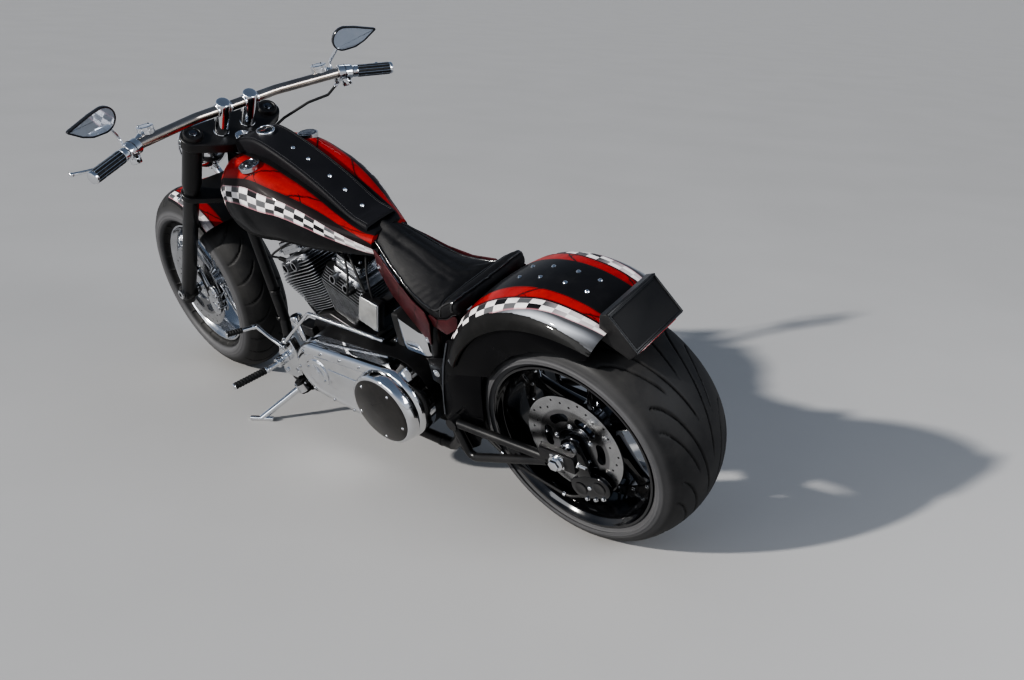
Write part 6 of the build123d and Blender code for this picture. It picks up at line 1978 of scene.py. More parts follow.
# ---- coil box: brushed cover with a bright edge, dark back
b = Build()
cbx = V([(664, 470), (631, 567), (702, 583), (735, 494)]) / 1000
b.prism(fillet2(cbx, 0.006, 4), (0, 0.112, 0), (1, 0, 0), (0, 0, 1), 0.022, bev=0.001, mat=1, steps=2)
b.prism(fillet2(cbx, 0.006, 4), (0, 0.1165, 0), (1, 0, 0), (0, 0, 1), 0.0045, bev=0.0010, mat=2, steps=2)
cen = cbx.mean(0)
b.prism(fillet2(cen + (cbx - cen) * 0.93, 0.005, 4), (0, 0.1196, 0), (1, 0, 0), (0, 0, 1), 0.004, bev=0.0010, mat=0, steps=2)
b.rbox((0.650, 0.010, 0.508), (0.696, 0.0895, 0.547), 0.003, 1)
for p in cbx:
    q = cen + (p - cen) * 0.80
    b.bolt((q[0], 0.1193, q[1]), (0, 1, 0), 0.0028, 0.0015, 2, "dome", washer=False)
b.tube(catmull([V(0.700, 0.095, 0.580), V(0.712, 0.092, 0.600), V(0.740, 0.080, 0.640), V(0.775, 0.060, 0.680)], 8), 0.0040, 10, 3)
b.tube(catmull([V(0.668, 0.100, 0.574), V(0.672, 0.098, 0.600), V(0.690, 0.080, 0.640), V(0.700, 0.060, 0.680)], 8), 0.0032, 10, 3)
b.piece("coil_cover", "chassis", [mat("alu_face"), mat("satin_black"), mat("chrome"), mat("rubber_soft")], replaces="coil_box", slot="chrome", smooth=32)

# ---- exhaust: two pipes with seams, clamps and turned-out ends
b = Build()
P0 = V([(1095, -40, 534), (1152, -60, 498), (1122, -124, 424), (1000, -200, 312), (890, -218, 222), (440, -262, 212), (-60, -264, 212)]) / 1000
P1 = V([(776, -40, 532), (716, -62, 492), (676, -124, 424), (630, -205, 330), (540, -240, 286), (430, -262, 278), (-60, -264, 278)]) / 1000
for P, r in ((P0, 0.038), (P1, 0.030)):
    path = rounded(P, r, 10)
    seg = [path[0]]
    for i in range(1, len(path)):
        n = max(1, int(np.linalg.norm(path[i] - path[i - 1]) / 0.02))
        seg += [path[i - 1] + (path[i] - path[i - 1]) * k / n for k in range(1, n + 1)]
    b.tube(seg, 0.0208, 28, 0, caps=False)
    b.lathe([(0.0, 0.0208), (-0.003, 0.0205), (-0.004, 0.0188), (0.0, 0.0180), (0.110, 0.0178)], P[-1], (1, 0, 0), 28, 1)
    b.lathe([(-0.004, 0.0225), (0.006, 0.0232), (0.010, 0.0225), (0.010, 0.0205)], path[3], unit(path[4] - path[2]), 28, 0)
for x in (0.135, 0.480):
    y = -0.262 if x < 0.3 else -0.2535
    b.rbox((x - 0.012, y - 0.004, 0.205), (x + 0.012, y + 0.004, 0.285), 0.002, 2)
for z in (0.212, 0.278):
    for x in (0.130, 0.470):
        b.lathe([(0.0, 0.0212), (0.0, 0.0222), (0.014, 0.0222), (0.014, 0.0212)], (x, np.interp(x, [-0.06, 0.44], [-0.264, -0.262]), z), (1, 0, 0), 28, 2)
b.piece("exhausts", "chassis", [mat("chrome"), mat("matt_black"), mat("chrome_worn")], replaces="exhaust_pipes", slot="chrome", smooth=40)
# --------------------------------------------------------------- fork group
def H(s, fwd=0.0, y=0.0):
    return V(on_head(s, fwd, y))


HD, HF = V(HEAD), V(HEAD_FWD)

# ---- legs: wide upper tubes over sliders, with seals and axle lugs
b = Build()
for s in (1, -1):
    prof = [(0.311, 0.0001), (0.311, 0.020), (0.314, 0.0235), (0.335, 0.0242), (0.862, 0.0242), (0.864, 0.0256), (0.894, 0.0260), (0.8985, 0.0256), (0.900, 0.0288), (0.904, 0.0291),
            (1.100, 0.0291), (1.108, 0.0285), (1.112, 0.0262), (1.1125, 0.0215), (1.1105, 0.0200), (1.1105, 0.0001)]
    b.lathe([(t - 0.311, r) for t, r in prof], H(0.311, LEG_FWD, s * 0.127), HD, 48, 0)
    b.lathe([(0, 0.0118), (0.0035, 0.0118), (0.0045, 0.0105), (0.0045, 0.0001)], H(1.1095, LEG_FWD, s * 0.127), HD, 32, 1)
    b.bolt(H(1.114, LEG_FWD, s * 0.127), HD, 0.0080, 0.0045, 1, "hex", washer=False)
    # axle lug
    c = H(AXLE_S, LEG_FWD, s * 0.127)
    b.cyl(c - V(0, 0.0235, 0), c + V(0, 0.0235, 0), 0.0262, n=32, mat=0, bev=0.003)
b.piece("fork_tubes", "fork", [mat("satin_black"), mat("chrome_dark")], replaces="fork_legs", slot="satin_black", smooth=35)

# ---- upper and lower clamps with pinch bolts and the stem nut
for nm, s0, leg_r, wrap, mid, tk in (("upper", 1.066, 0.0291, 0.037, 0.034, 0.034), ("lower", 0.840, 0.0242, 0.031, 0.029, 0.022)):
    b = Build()
    o = hull2([(0, 0, mid), (LEG_FWD, 0.127, wrap), (LEG_FWD, -0.127, wrap)], 44)
    b.prism([(x, y) for x, y in o], H(s0), HF, (0, 1, 0), tk, bev=0.004, mat=0, steps=4)
    for s in (1, -1):
        for k in (-tk * 0.26, tk * 0.26):
            b.bolt(H(s0 + tk / 2 + k, LEG_FWD + 0.004, s * (0.127 + wrap - 0.0006)), V(0, s, 0), 0.0042, 0.0035, 1, "socket", washer=False)
        b.lathe([(-0.0015, leg_r + 0.0025), (0.0005, leg_r + 0.0035), (0.0012, leg_r + 0.0010)], H(s0 + tk, LEG_FWD, s * 0.127), HD, 40, 0)
    if nm == "upper":
        b.lathe([(0, 0.0235), (0.0015, 0.0235), (0.003, 0.0215), (0.003, 0.0001)], H(1.100), HD, 40, 1)
        b.bolt(H(1.103), HD, 0.0165, 0.006, 1, "hex", washer=False)
        b.lathe([(-0.0125, 0.0245), (0.0, 0.0245)], H(1.066), HD, 32, 2)
    else:
        b.lathe([(0, 0.0315), (0.002, 0.0315), (0.003, 0.0225), (0.2035, 0.0125)], H(0.862), HD, 32, 2)
        b.lathe([(0, 0.014), (-0.004, 0.014), (-0.005, 0.0125), (-0.005, 0.0001)], H(0.840), HD, 32, 1)
    b.piece(nm + "_clamp", "fork", [mat("satin_black"), mat("chrome"), mat("chrome_dark")], replaces=nm + "_triple_tree", slot="satin_black", smooth=35)

# ---- bar
BARP = V([(1190, 0, 1036), (1190, 135, 1036), (1152, 330, 1034), (1097, 489, 1010)]) / 1000
full = V([p for p in BARP[::-1][:-1]] + [q * V(1, -1, 1) for q in BARP[1:]])
path = rounded(full, 0.110, 14)
b = Build()
b.tube(path, 0.0150, 32, 0)
b.piece("bar_tube", "fork", [mat("nickel_worn")], replaces="handlebar", slot="nickel", smooth=60)

# ---- risers: plain chrome posts that the bar passes through
b = Build()
for s in (1, -1):
    y = s * 0.0445
    b.lathe([(0, 0.0222), (0.0025, 0.0228), (0.0045, 0.0213), (0.1070, 0.0213), (0.1110, 0.0209), (0.1140, 0.0196), (0.1158, 0.0172), (0.1168, 0.0120), (0.1170, 0.0001)],
            H(1.100, 0.044, y), HD, 56, 0)
    for k in (-0.0118, 0.0118):
        b.lathe([(-0.0032, 0.0176), (-0.0022, 0.0186), (0.0022, 0.0186), (0.0032, 0.0176)], V(1.190, y + k * 1.75, 1.036), (0, 1, 0), 32, 0, cap=(True, True))
b.piece("riser_posts", "fork", [mat("chrome"), mat("chrome_worn")], replaces="handlebar_risers", slot="chrome", smooth=35)


def along(t, s=1):
    a, c = BARP[3], BARP[2]
    p = a + unit(c - a) * t
    return V(p[0], s * p[1], p[2])


# ---- grips: ribbed rubber with chrome rings
b = Build()
for s in (1, -1):
    a, e = along(-0.007, s), along(0.122, s)
    d = unit(e - a)
    b.lathe([(0.0, 0.0001), (0.0, 0.0130), (0.0015, 0.0165), (0.005, 0.0185), (0.010, 0.0185), (0.0115, 0.0172)], a, d, 40, 1)
    b.lathe([(0.112, 0.0172), (0.1135, 0.0186), (0.122, 0.0186), (0.1288, 0.0178), (0.129, 0.0155)], a, d, 40, 1)
    n = 96
    u, w = frame_of(d)
    rows = []
    for t in np.concatenate([[0.0112], np.linspace(0.0125, 0.1115, 26), [0.1128]]):
        ring = []
        for k in range(n):
            g = k % 8
            r = 0.0183 if g < 6 else 0.0168
            if t < 0.012 or t > 0.1122:
                r = 0.0165
            # three cross grooves
            for gt in (0.036, 0.062, 0.088):
                if abs(t - gt) < 0.0012:
                    r = min(r, 0.0170)
            q = 2 * pi * k / n
            ring.append(a + d * t + r * (cos(q) * u + sin(q) * w))
        rows.append(ring)
    b.grid(rows, close_v=True, mat=0)
    for k in range(12):
        q = 2 * pi * (8 * k + 6.5) / n
        rad = 0.0173 * (cos(q) * u + sin(q) * w)
        b.tube([a + d * 0.0115 + rad, a + d * 0.062 + rad, a + d * 0.1125 + rad], 0.0014, 6, 1)
b.piece("grip_sleeves", "fork", [mat("grip"), mat("chrome")], replaces="grips", slot="grip_rubber", smooth=30)


# ---- hand controls
def control(s):
    b = Build()
    a, e = along(0.1235, s), along(0.168, s)
    m_ = (a + e) / 2
    d = unit(e - a)
    b.cyl(a, e, 0.0225, n=40, mat=0, bev=0.004)
    b.lathe([(0.021, 0.0229), (0.0215, 0.0236), (0.023, 0.0236), (0.0235, 0.0229)], a, d, 40, 1)
    # switch pod under the clamp
    p0, p1 = V(m_[0] - 0.006, m_[1], m_[2] - 0.040), V(m_[0], m_[1], m_[2] - 0.012)
    b.cyl(p0, p1, 0.0155, n=28, mat=0, bev=0.003)
    for k, (dx, dz) in enumerate(((-0.0148, -0.018), (-0.0148, -0.030))):
        q = V(m_[0] + dx - 0.003, m_[1], m_[2] + dz)
        b.cyl(q, q + V(-0.0035, 0, 0), 0.0042, n=16, mat=2, bev=0.0008)
    # perch and pivot
    pv = V(1.190, s * 0.352, 1.002)
    q = V(m_[0] + 0.014, m_[1], m_[2] - 0.002)
    b.tube(catmull([q, q * 0.5 + pv * 0.5 + V(0.003, 0, 0), pv], 5), [0.0112, 0.0108, 0.0104, 0.0100, 0.0098, 0.0098, 0.0100, 0.0102, 0.0106, 0.0108, 0.0108][:11], 20, 0)
    b.cyl(pv - V(0, 0, 0.0115), pv + V(0, 0, 0.0115), 0.0100, n=24, mat=0, bev=0.0015)
    b.bolt(pv + V(0, 0, 0.0115), (0, 0, 1), 0.0050, 0.003, 1, "hex", washer=False)
    # lever blade: flattened, with a ball end
    lv = V([(1190, 352, 1002), (1182, 430, 998), (1194, 508, 1004)]) / 1000 * V(1, s, 1)
    pl = catmull([lv[0], lv[0] * 0.5 + lv[1] * 0.5 + V(-0.002, 0, 0), lv[1], lv[1] * 0.5 + lv[2] * 0.5 + V(-0.001, 0, 0), lv[2]], 8)
    k = len(pl)
    f = np.linspace(0, 1, k)
    rr = 0.0088 - 0.0032 * np.clip(f / 0.3, 0, 1) + 0.0006 * np.sin(f * 6)
    b.tube(pl, rr, 20, 0, up=(1, 0, 0), flat=0.75)
    b.sphere(lv[2], 0.0068, 0, n=20, k=12)
    # master cylinder and cup
    q0, q1 = along(0.168, s) + V(0.012, 0, -0.010), along(0.205, s) + V(0.014, 0, -0.004)
    b.cyl(q0, q1, 0.0118, n=26, mat=0, bev=0.0025)
    rc = V(1.176, s * 0.287, 1.036)
    rd = unit(V(0.002, 0, 0.032))
    b.lathe([(0.0, 0.0001), (0.0, 0.0215), (0.002, 0.0235), (0.022, 0.0238), (0.0225, 0.0228), (0.0235, 0.0228), (0.024, 0.0240), (0.0305, 0.0240), (0.0322, 0.0225), (0.0325, 0.0180), (0.0318, 0.0170), (0.0318, 0.0001)], rc, rd, 44, 0)
    for kk in range(4):
        an = kk * pi / 2 + 0.6
        b.bolt(rc + V(0.0195 * cos(an), 0.0195 * sin(an), 0.0323), (0, 0, 1), 0.0021, 0.0015, 1, "dome", washer=False)
    b.cyl(along(0.160, s) + V(0.010, 0, 0), (1.178, s * 0.296, 1.050), 0.0100, n=20, mat=0)
    b.lathe([(-0.003, 0.0070), (0.006, 0.0070)], q1, unit(q1 - q0), 16, 1, cap=(True, True))
    return b


control(1).piece("left_control", "fork", [mat("chrome"), mat("chrome_dark"), mat("matt_black")], replaces="left_hand_control", slot="chrome", smooth=35)
control(-1).piece("right_control", "fork", [mat("chrome"), mat("chrome_dark"), mat("matt_black")], replaces="right_hand_control", slot="chrome", smooth=35)

# ---- teardrop mirrors: rounded dark back, bright rim, silvered face
b = Build()
for s in (1, -1):
    org = V(1.176, s * 0.392, 1.121)
    nz = unit(V(cos(0.19), s * sin(0.19), 0.28))     # each head is turned a little towards the rider
    ux = V(-sin(0.19), s * cos(0.19), 0)
    uy = np.cross(nz, ux)
    o = V(hull2([(0, -0.001 * s, 0.0385), (0.030, -0.004 * s, 0.0345), (0.058, -0.004 * s, 0.0245), (0.084, -0.001 * s, 0.0122), (0.105, 0.003 * s, 0.0038)], 56))
    cen = V(0.026, 0)
    # the sheet is drawn in (ux, uy); face looks back along -nz
    def lay_(q, h):
        return org + q[:, 0:1] * ux + q[:, 1:2] * uy + nz * h
    def sc_(f):
        return inset(o, f)
    rows = [lay_(sc_(0.0048), -0.0074), lay_(sc_(0.0040), -0.0090), lay_(sc_(0.0006), -0.0090), lay_(o, -0.0070), lay_(o, 0.0)]
    b.grid(rows[:4], close_v=True, mat=0)
    dome = [lay_(o, -0.0070), lay_(o, -0.001)]
    for f in (0.96, 0.86, 0.70, 0.50, 0.28, 0.08):
        q = cen + (o - cen) * f
        h = 0.0085 * sqrt(max(0.0, 1 - f * f)) - 0.001 + 0.001
        dome.append(lay_(q, h))
    b.grid(dome, close_v=True, mat=0, cap=(False, True))
    b.grid([lay_(inset(o, 0.0048), -0.0074)], close_v=True, mat=2, cap=(False, True))
    st = rounded(V([(1196, s * 348, 1004), (1216, s * 350, 1050), (1190, s * 378, 1096)]) / 1000, 0.022, 8)
    b.tube(st, 0.0050, 16, 1)
    b.sphere(st[-1], 0.0078, 1, n=18, k=10)
    b.lathe([(0, 0.0088), (0.010, 0.0088), (0.012, 0.0062)], st[0] - unit(st[1] - st[0]) * 0.002, unit(st[1] - st[0]), 20, 1, cap=(True, True))
b.piece("teardrop_mirrors", "fork", [mat("mirror_back"), mat("chrome"), mat("mirror_blue")], replaces="mirrors", slot="mirror_shell", smooth=40)

# ---- headlight
hl = H(0.905, 0.178)
b = Build()
prof = [(-0.058, 0.0001), (-0.0575, 0.018), (-0.054, 0.032), (-0.047, 0.043), (-0.034, 0.058), (-0.018, 0.067), (-0.004, 0.0718), (0.020, 0.0732), (0.036, 0.0736), (0.037, 0.0760), (0.0435, 0.0768), (0.0468, 0.0745), (0.0472, 0.0708), (0.0440, 0.0700)]
b.lathe(prof, hl, (1, 0, 0), 72, 0)
b.lathe([(0.0440, 0.0700), (0.030, 0.066), (0.004, 0.050), (-0.016, 0.026), (-0.020, 0.0001)], hl, (1, 0, 0), 72, 2)
b.cyl(hl + V(-0.020, 0, 0), hl + V(0.012, 0, 0), 0.0075, n=20, mat=1, bev=0.002)
b.cyl(H(0.848, 0.088), hl + V(0, 0, -0.060), 0.0118, n=28, mat=0, bev=0.0015)
b.cyl(hl + V(0, 0, -0.078), hl + V(0, 0, -0.066), 0.0155, n=28, mat=0, bev=0.0025)
b.piece("headlight_shell", "fork", [mat("chrome"), mat("chrome_worn"), mat("mirror_face")], replaces="headlight_bowl", slot="chrome", smooth=35)
b = Build()
b.lathe([(0.0442, 0.0698), (0.0462, 0.0695), (0.0490, 0.0600), (0.0508, 0.0420), (0.0518, 0.0200), (0.0520, 0.0001)], hl, (1, 0, 0), 72, 0)
b.piece("headlight_glass", "fork", [mat("glass")], replaces="headlight_lens", slot="lens_glass", smooth=60)

# ---- front fender with red panels and chequers on its sides
FCN = V(WB, 0, FRONT_Z)
FSEC = [(0.0, 0.3600), (0.030, 0.3592), (0.055, 0.3570), (0.076, 0.3530), (0.090, 0.3475), (0.0975, 0.3405), (0.099, 0.3380), (0.099, 0.3300)]
fs = np.concatenate([[0], np.cumsum(np.linalg.norm(np.diff(V(FSEC), axis=0), axis=1))])
b = Build()
rows, pats = [], []
for a in np.radians(np.linspace(90.5, 128.5, 56)):
    e = [0.0, 0.034, 0.066, 0.069, 0.100, fs[-1]]
    e[4] = max(min(e[4], fs[-1] - 0.010), e[3] + 0.004)
    s, bb = band_line(e, (6, 6, 1, 8, 5))
    y, r = np.interp(s, fs, V(FSEC)[:, 0]), np.interp(s, fs, V(FSEC)[:, 1])
    out = np.stack([WB + r * cos(a), y, FRONT_Z + r * sin(a)], -1)
    inn = np.stack([WB + (r - 0.0032) * cos(a), np.maximum(0, y - 0.0032 * (y > 0.02)), FRONT_Z + (r - 0.0032) * sin(a)], -1)[::-1][::3]
    p = np.vstack([out, inn])
    pt = np.stack([np.full(len(p), 0.36 * a), np.concatenate([bb, np.full(len(inn), -1.0)]), np.full(len(p), 0.36 * a / 0.030)], -1)
    row, pat = both_halves(p, pt)
    rows.append(row)
    pats.append(pat)
rows, pats = V(rows), V(pats)
b.grid(rows, pat=pats.reshape(-1, 3))
for i in (0, -1):
    n = rows.shape[1]
    kk = len(range(0, 27, 3))
    outer = rows[i][kk:n - kk]
    inner = np.vstack([rows[i][:kk][::-1], rows[i][n - kk:][::-1]])
    x_in = V([inner[int(round(f))] for f in np.linspace(0, len(inner) - 1, len(outer))])
    b.grid([outer, x_in], pat=np.tile(V(0, -1, 0), (2 * len(outer), 1)))
b.piece("front_fender_shell", "fork", mat("paint_front"), replaces="front_fender", slot="paint_red_black", smooth=45)
b = Build()
for s in (1, -1):
    p = H(AXLE_S + 0.345, LEG_FWD, s * 0.098)
    b.cyl((p[0], s * 0.0965, p[2]), (p[0], s * 0.1042, p[2]), 0.0135, n=28, mat=0, bev=0.0015)
    for a in (100, 113):
        q = FCN + V(0.349 * cos(radians(a)), s * 0.088, 0.349 * sin(radians(a)))
        b.bolt(q + V(0, 0, 0), unit(V(0.6 * cos(radians(a)), s, 0.6 * sin(radians(a)))), 0.0052, 0.0045, 1, "dome")
b.piece("front_fender_mounts", "fork", [mat("satin_black"), mat("chrome")], slot="satin_black", smooth=35)

# ---- brake hose and its unions
HOSE = V([(1190, -352, 992), (1198, -312, 964), (1208, -244, 960), (1247, -172, 928), (1253, -108, 899), (1284, -66, 868), (1330, -60, 830), (1366, -62, 786)]) / 1000
b = Build()
hp = rounded(HOSE, 0.012, 5)
b.tube(hp, 0.0040, 14, 0)
for i, j in ((0, 1), (-1, -2)):
    d = unit(hp[j] - hp[i])
    b.cyl(hp[i] - d * 0.001, hp[i] + d * 0.016, 0.0052, n=16, mat=1, bev=0.0008)
b.piece("hose", "fork", [mat("rubber_soft"), mat("chrome")], replaces="brake_hose", slot="hose_rubber", smooth=60)
# ----------------------------------------------------- foot controls, stand
def ribbed(b, a, e, r, r_g, n_ribs, mat_, n=28, ends=True):
    """Rubber sleeve with rounded ribs along its axis."""
    a, e = V(a), V(e)
    d = unit(e - a)
    L = np.linalg.norm(e - a)
    prof = [(0.0, r_g * 0.9)]
    for k in range(n_ribs):
        t0, t1 = L * k / n_ribs, L * (k + 1) / n_ribs
        w = t1 - t0
        prof += [(t0 + w * 0.08, r_g), (t0 + w * 0.20, r - 0.0004), (t0 + w * 0.35, r), (t0 + w * 0.75, r), (t0 + w * 0.88, r - 0.0004), (t0 + w * 0.97, r_g)]
    prof.append((L, r_g * 0.9))
    b.lathe(prof, a, d, n, mat_, cap=(True, True))


PLATE = V([(1168, 176), (1168, 262), (1120, 330), (1084, 334), (1070, 300), (1076, 196), (1110, 176)]) / 1000


def foot(s, b):
    y0, y1 = (0.1222, 0.148) if s > 0 else (-0.148, -0.122)
    b.prism(fillet2(PLATE, 0.010, 5), (0, y1, 0), (1, 0, 0), (0, 0, 1), y1 - y0, bev=0.0035, mat=0, steps=3)
    for x, z in ((1.090, 0.215), (1.150, 0.195), (1.110, 0.300)):
        b.bolt((x, s * 0.148, z), (0, s, 0), 0.0068, 0.005, 0, "hex")


# left: shifter
b = Build()
foot(1, b)
b.cyl((1.133, 0.147, 0.252), (1.134, 0.186, 0.250), 0.0168, n=36, mat=0, bev=0.003)
b.lathe([(0.0, 0.0172), (0.002, 0.0180), (0.006, 0.0180), (0.008, 0.0172)], (1.1335, 0.166, 0.251), (0.02, 1, -0.05), 32, 0)
b.tube([V(1.134, 0.183, 0.250), V(1.138, 0.200, 0.248), V(1.142, 0.217, 0.246)], [0.0090, 0.0085, 0.0092], 20, 0)
pa, pb = V(1.142, 0.2145, 0.246), V(1.181, 0.330, 0.239)
pd = unit(pb - pa)
b.cyl(pa, pa + pd * 0.012, 0.0118, n=28, mat=0, bev=0.002)
ribbed(b, pa + pd * 0.0115, pb - pd * 0.006, 0.0114, 0.0094, 11, 1)
b.lathe([(0, 0.0105), (0.0035, 0.0112), (0.0062, 0.0095), (0.0068, 0.0060), (0.0070, 0.0001)], pb - pd * 0.0066, pd, 28, 0)
b.cyl((1.094, 0.147, 0.318), (1.094, 0.176, 0.318), 0.0128, n=30, mat=0, bev=0.0025)
b.bolt((1.094, 0.176, 0.318), (0, 1, 0), 0.0066, 0.004, 0, "socket", washer=False)
la, lb, lc = V(1.094, 0.168, 0.318), V(1.169, 0.190, 0.386), V(1.201, 0.280, 0.400)
b.tube(catmull([la, la * 0.5 + lb * 0.5 + V(0.003, 0, -0.003), lb], 8), [0.0085, 0.0082, 0.0078, 0.0072, 0.0068, 0.0066, 0.0064, 0.0063, 0.0062, 0.0062, 0.0063, 0.0064, 0.0066, 0.0069, 0.0073, 0.0077, 0.0080], 20, 0, flat=0.9)
td = unit(lc - V(1.168, 0.187, 0.385))
b.cyl(V(1.168, 0.187, 0.385), V(1.168, 0.187, 0.385) + td * 0.016, 0.0085, n=24, mat=0, bev=0.0015)
b.cyl(V(1.168, 0.187, 0.385) + td * 0.014, lc - td * 0.002, 0.0070, n=24, mat=0)
ribbed(b, lc - td * 0.052, lc - td * 0.003, 0.0090, 0.0076, 6, 1)
b.lathe([(0, 0.0085), (0.002, 0.0088), (0.0030, 0.0060), (0.0032, 0.0001)], lc - td * 0.0032, td, 24, 0)
# shift rod: plain lower run, ribbed long run with bright end fittings
rp = rounded(V([(1092, 158, 330), (985, 114, 441), (664, 108, 436)]) / 1000, 0.018, 8)
b.tube(rp, 0.0052, 18, 0)
b.sphere(rp[0], 0.0088, 0, n=20, k=10)
ra, rb = V(0.962, 0.1137, 0.4408), V(0.702, 0.1088, 0.4367)
ribbed(b, ra, rb, 0.0065, 0.0052, 52, 2, n=20)
for p in (ra, rb):
    b.lathe([(-0.004, 0.0066), (-0.003, 0.0072), (0.003, 0.0072), (0.004, 0.0066)], p, unit(rb - ra), 22, 0, cap=(True, True))
b.cyl(rb, V(0.664, 0.108, 0.436), 0.0062, n=20, mat=0, bev=0.001)
b.lathe([(0, 0.0064), (0.004, 0.0064), (0.006, 0.0040)], (0.668, 0.108, 0.436), (-1, 0, 0), 18, 0, cap=(False, True))
b.piece("left_foot_parts", "chassis", [mat("chrome"), mat("grip"), mat("chrome_worn")], replaces="left_foot_control", slot="chrome", smooth=35)

# right: brake
b = Build()
foot(-1, b)
b.cyl((1.133, -0.147, 0.252), (1.134, -0.186, 0.250), 0.0168, n=36, mat=0, bev=0.003)
b.tube([V(1.134, -0.183, 0.250), V(1.138, -0.215, 0.248), V(1.142, -0.251, 0.246)], [0.0090, 0.0085, 0.0092], 20, 0)
pa, pb = V(1.142, -0.2478, 0.246), V(1.181, -0.350, 0.239)
pd = unit(pb - pa)
b.cyl(pa, pa + pd * 0.012, 0.0118, n=28, mat=0, bev=0.002)
ribbed(b, pa + pd * 0.0115, pb - pd * 0.006, 0.0114, 0.0094, 10, 1)
b.lathe([(0, 0.0105), (0.0035, 0.0112), (0.0062, 0.0095), (0.0068, 0.0060), (0.0070, 0.0001)], pb - pd * 0.0066, pd, 28, 0)
b.cyl((1.094, -0.147, 0.318), (1.094, -0.176, 0.318), 0.0128, n=30, mat=0, bev=0.0025)
la, lb = V(1.094, -0.168, 0.318), V(1.185, -0.236, 0.378)
b.tube(catmull([la, la * 0.5 + lb * 0.5 + V(0.003, 0, -0.003), lb], 8), 0.0072, 20, 0, flat=0.9)
b.rbox((1.1725, -0.2995, 0.3685), (1.2055, -0.2325, 0.3775), 0.004, 0, steps=3)
b.rbox((1.1735, -0.2985, 0.3772), (1.2045, -0.2335, 0.3835), 0.003, 1, steps=3)
for k in range(6):
    y = -0.2925 + k * 0.0105
    b.rbox((1.176, y, 0.3830), (1.202, y + 0.0055, 0.3842), 0.0010, 1)
b.piece("right_foot_parts", "chassis", [mat("chrome"), mat("grip"), mat("chrome_worn")], replaces="right_foot_control", slot="chrome", smooth=35)

# ---- fender struts: gloss plates and their bolts
def strut_outline():
    a = lambda r, q: (r * cos(radians(q)), REAR_R + r * sin(radians(q)))
    pts = [a(0.392, 28), a(0.392, 41), a(0.392, 55)]
    pts += [a(0.387, 68), a(0.381, 80), a(0.380, 90), a(0.373, 100), a(0.364, 108), a(0.345, 109.5)]
    pts += [a(0.322, 103), a(0.3155, 92), a(0.303, 81), a(0.288, 66), a(0.276, 51), a(0.270, 38)]
    pts += [(0.330, 0.460), (0.395, 0.400), (0.430, 0.410), (0.430, 0.480)]
    return pts


SIDE_PANEL = V([(336, 571), (374, 473), (418, 299), (398, 226), (345, 200), (306, 228), (266, 330), (252, 430), (236, 500), (250, 590)]) / 1000
b = Build()
so_ = strut_outline()
for s in (1, -1):
    y1 = 0.1548 if s > 0 else -0.1478
    b.prism(fillet2(so_, 0.006, 3), (0, y1, 0), (1, 0, 0), (0, 0, 1), 0.007, bev=0.0015, mat=0, steps=2)
    if s > 0:
        # gloss side panel on the left, between the fender's front end and the swingarm pivot
        b.prism(fillet2(SIDE_PANEL, 0.012, 4), (0, 0.1546, 0), (1, 0, 0), (0, 0, 1), 0.0068, bev=0.0015, mat=0, steps=2)
        b.tube(catmull([V(x, 0.1548, z) for x, z in ((0.338, 0.562), (0.356, 0.520), (0.376, 0.466), (0.398, 0.386), (0.414, 0.300))], 8), 0.0034, 12, 2)
    for (x, z), r in (((0.338, 0.500), 0.0078), ((0.250, 0.604), 0.0064), ((0.060, 0.690), 0.0060), ((0.408, 0.440), 0.0085)):
        b.bolt((x, s * 0.155, z), (0, s, 0), r, 0.005, 1, "dome")
b.piece("strut_plates", "chassis", [mat("panel_black"), mat("chrome"), mat("chrome_dark")], replaces="fender_struts", slot="satin_black", smooth=35)

# ---- frame dressing: neck cups, cable clips and engine mount bolts
b = Build()
for s0, s1 in ((0.865, 0.877), (1.051, 1.063)):
    b.lathe([(0, 0.0272), (0.0008, 0.0292), (0.0112, 0.0292), (0.012, 0.0272)], H(s0), HD, 40, 0)
for x, z, y in ((1.222, 0.330, 0.062), (1.214, 0.430, 0.060), (0.765, 0.128, 0.105), (0.515, 0.128, 0.105)):
    for s in (1, -1):
        b.lathe([(-0.006, 0.0174), (-0.005, 0.0186), (0.005, 0.0186), (0.006, 0.0174)], (x, s * y, z), (0, 0, 1) if x > 1 else (1, 0, 0), 28, 1)
b.piece("frame_dressing", "chassis", [mat("chrome_dark"), mat("satin_black")], slot="satin_black", smooth=35)
# ------------------------------------------- finishes of the carried-over nodes
CAD_MATS = {"main_frame": "satin_black", "swingarm": "satin_black", "rear_axle": "chrome", "drive_belt": "rubber_soft",
            "fork_legs": "satin_black", "upper_triple_tree": "satin_black", "lower_triple_tree": "satin_black",
            "side_stand_leg": "chrome", "front_axle": "chrome"}
for n, o in NODE.items():
    if o.hide_render:
        continue
    o.data.materials.clear()
    o.data.materials.append(mat(CAD_MATS.get(n, "aluminium")))
    for p in o.data.polygons:
        p.use_smooth = True
    o.data.set_sharp_from_angle(angle=radians(32))
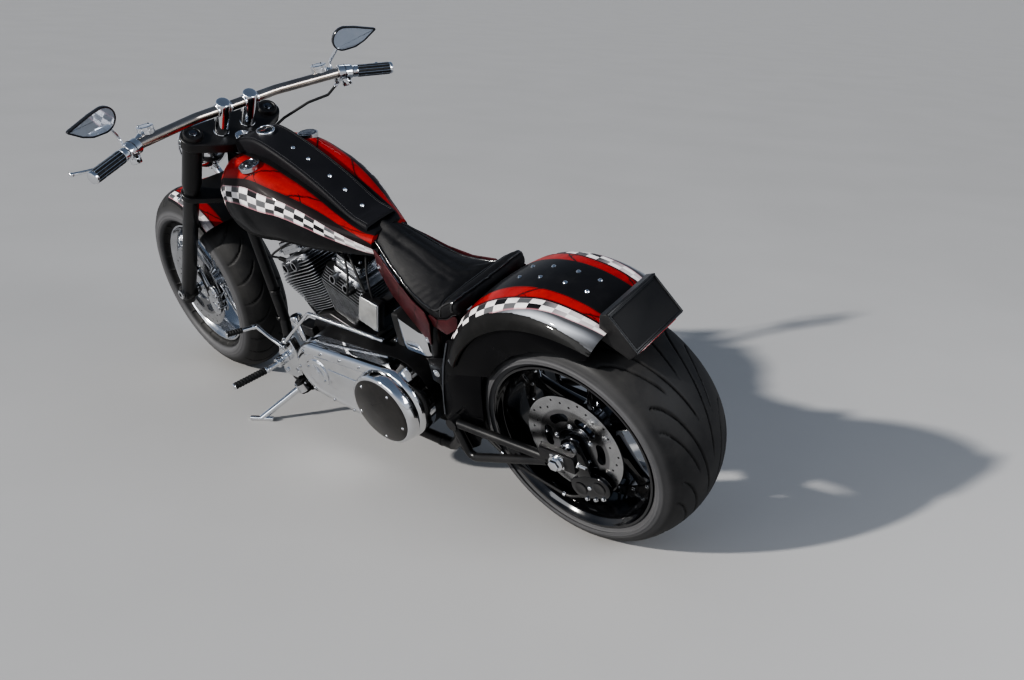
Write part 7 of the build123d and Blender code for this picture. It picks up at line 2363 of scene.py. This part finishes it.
# ------------------------------------------------------- floor, light, camera
def stage():
    nb = NB("floor")
    o = nb.obj()
    n1 = nb.noise(o, 1.2, 4.0, 0.5)
    nb.set(Base_Color=nb.mix(n1, (0.42, 0.415, 0.41), (0.47, 0.465, 0.46)), Roughness=0.8, Specular_IOR_Level=0.2)
    me = bpy.data.meshes.new("floor")
    w = 2000.0
    me.from_pydata([(-w, -w, 0), (w, -w, 0), (w, w, 0), (-w, w, 0)], [], [(0, 1, 2, 3)])
    me.materials.append(nb.mat)
    fl = bpy.data.objects.new("floor", me)
    bpy.context.scene.collection.objects.link(fl)

    world = bpy.data.worlds.new("studio")
    bpy.context.scene.world = world
    world.use_nodes = True
    nt = world.node_tree
    bg = nt.nodes["Background"]
    tc = nt.nodes.new("ShaderNodeTexCoord")
    sp = nt.nodes.new("ShaderNodeSeparateXYZ")
    nt.links.new(tc.outputs["Generated"], sp.inputs[0])
    rp = nt.nodes.new("ShaderNodeValToRGB")
    e = rp.color_ramp.elements
    e[0].position, e[0].color = 0.0, (0.36, 0.35, 0.34, 1)
    e[1].position, e[1].color = 1.0, (0.16, 0.20, 0.27, 1)
    for pos, c in ((0.495, (0.30, 0.29, 0.28)), (0.505, (0.72, 0.73, 0.75)), (0.60, (0.66, 0.70, 0.78)), (0.72, (0.34, 0.40, 0.50)), (0.86, (0.20, 0.25, 0.33))):
        x = e.new(pos)
        x.color = c + (1,)
    mr = nt.nodes.new("ShaderNodeMapRange")
    mr.inputs[1].default_value, mr.inputs[2].default_value = -1.0, 1.0
    nt.links.new(sp.outputs[2], mr.inputs[0])
    nt.links.new(mr.outputs[0], rp.inputs[0])
    nt.links.new(rp.outputs[0], bg.inputs[0])
    bg.inputs[1].default_value = 0.60

    sun = bpy.data.lights.new("sun", "SUN")
    sun.energy, sun.angle, sun.color = 3.3, radians(2.2), (1.0, 0.965, 0.91)
    so = bpy.data.objects.new("sun", sun)
    bpy.context.scene.collection.objects.link(so)
    so.rotation_mode = "QUATERNION"
    so.rotation_quaternion = Vector((0.33, 0.82, 0.46)).to_track_quat("Z", "Y")

    def area(name, at, aim, size, power, col=(1, 1, 1)):
        li = bpy.data.lights.new(name, "AREA")
        li.shape, li.size, li.size_y, li.energy, li.color = "RECTANGLE", size[0], size[1], power, col
        ob = bpy.data.objects.new(name, li)
        bpy.context.scene.collection.objects.link(ob)
        ob.location = at
        ob.rotation_mode = "QUATERNION"
        ob.rotation_quaternion = (Vector(at) - Vector(aim)).to_track_quat("Z", "Y")
        return ob
    area("left_fill", (-0.4, 5.2, 2.6), (0.0, 0, 0.4), (3.0, 2.0), 40, (0.98, 0.99, 1.0))
    area("rear_fill", (-4.6, -0.6, 2.4), (-0.3, 0, 0.4), (2.6, 1.8), 60, (0.97, 0.98, 1.0))

    # the photograph's view: place, and the camera's right, up and back directions
    cam = bpy.data.cameras.new("camera")
    co = bpy.data.objects.new("camera", cam)
    bpy.context.scene.collection.objects.link(co)
    right = Vector((-0.763861, -0.643858, 0.044298))
    down = Vector((-0.255416, 0.238558, -0.936938))
    ahead = Vector((0.592688, -0.727005, -0.346677))
    m = Matrix((right, -down, -ahead)).transposed().to_4x4()
    m.translation = (-2.138627, 1.799268, 1.402116)
    co.matrix_world = m
    cam.sensor_fit, cam.sensor_width, cam.lens = "HORIZONTAL", 36.0, 35.512
    cam.clip_start, cam.clip_end = 0.05, 6000
    bpy.context.scene.camera = co
    sc = bpy.context.scene
    sc.view_settings.view_transform = "AgX"
    sc.view_settings.look = "AgX - High Contrast"
    sc.view_settings.exposure = 0.15


stage()
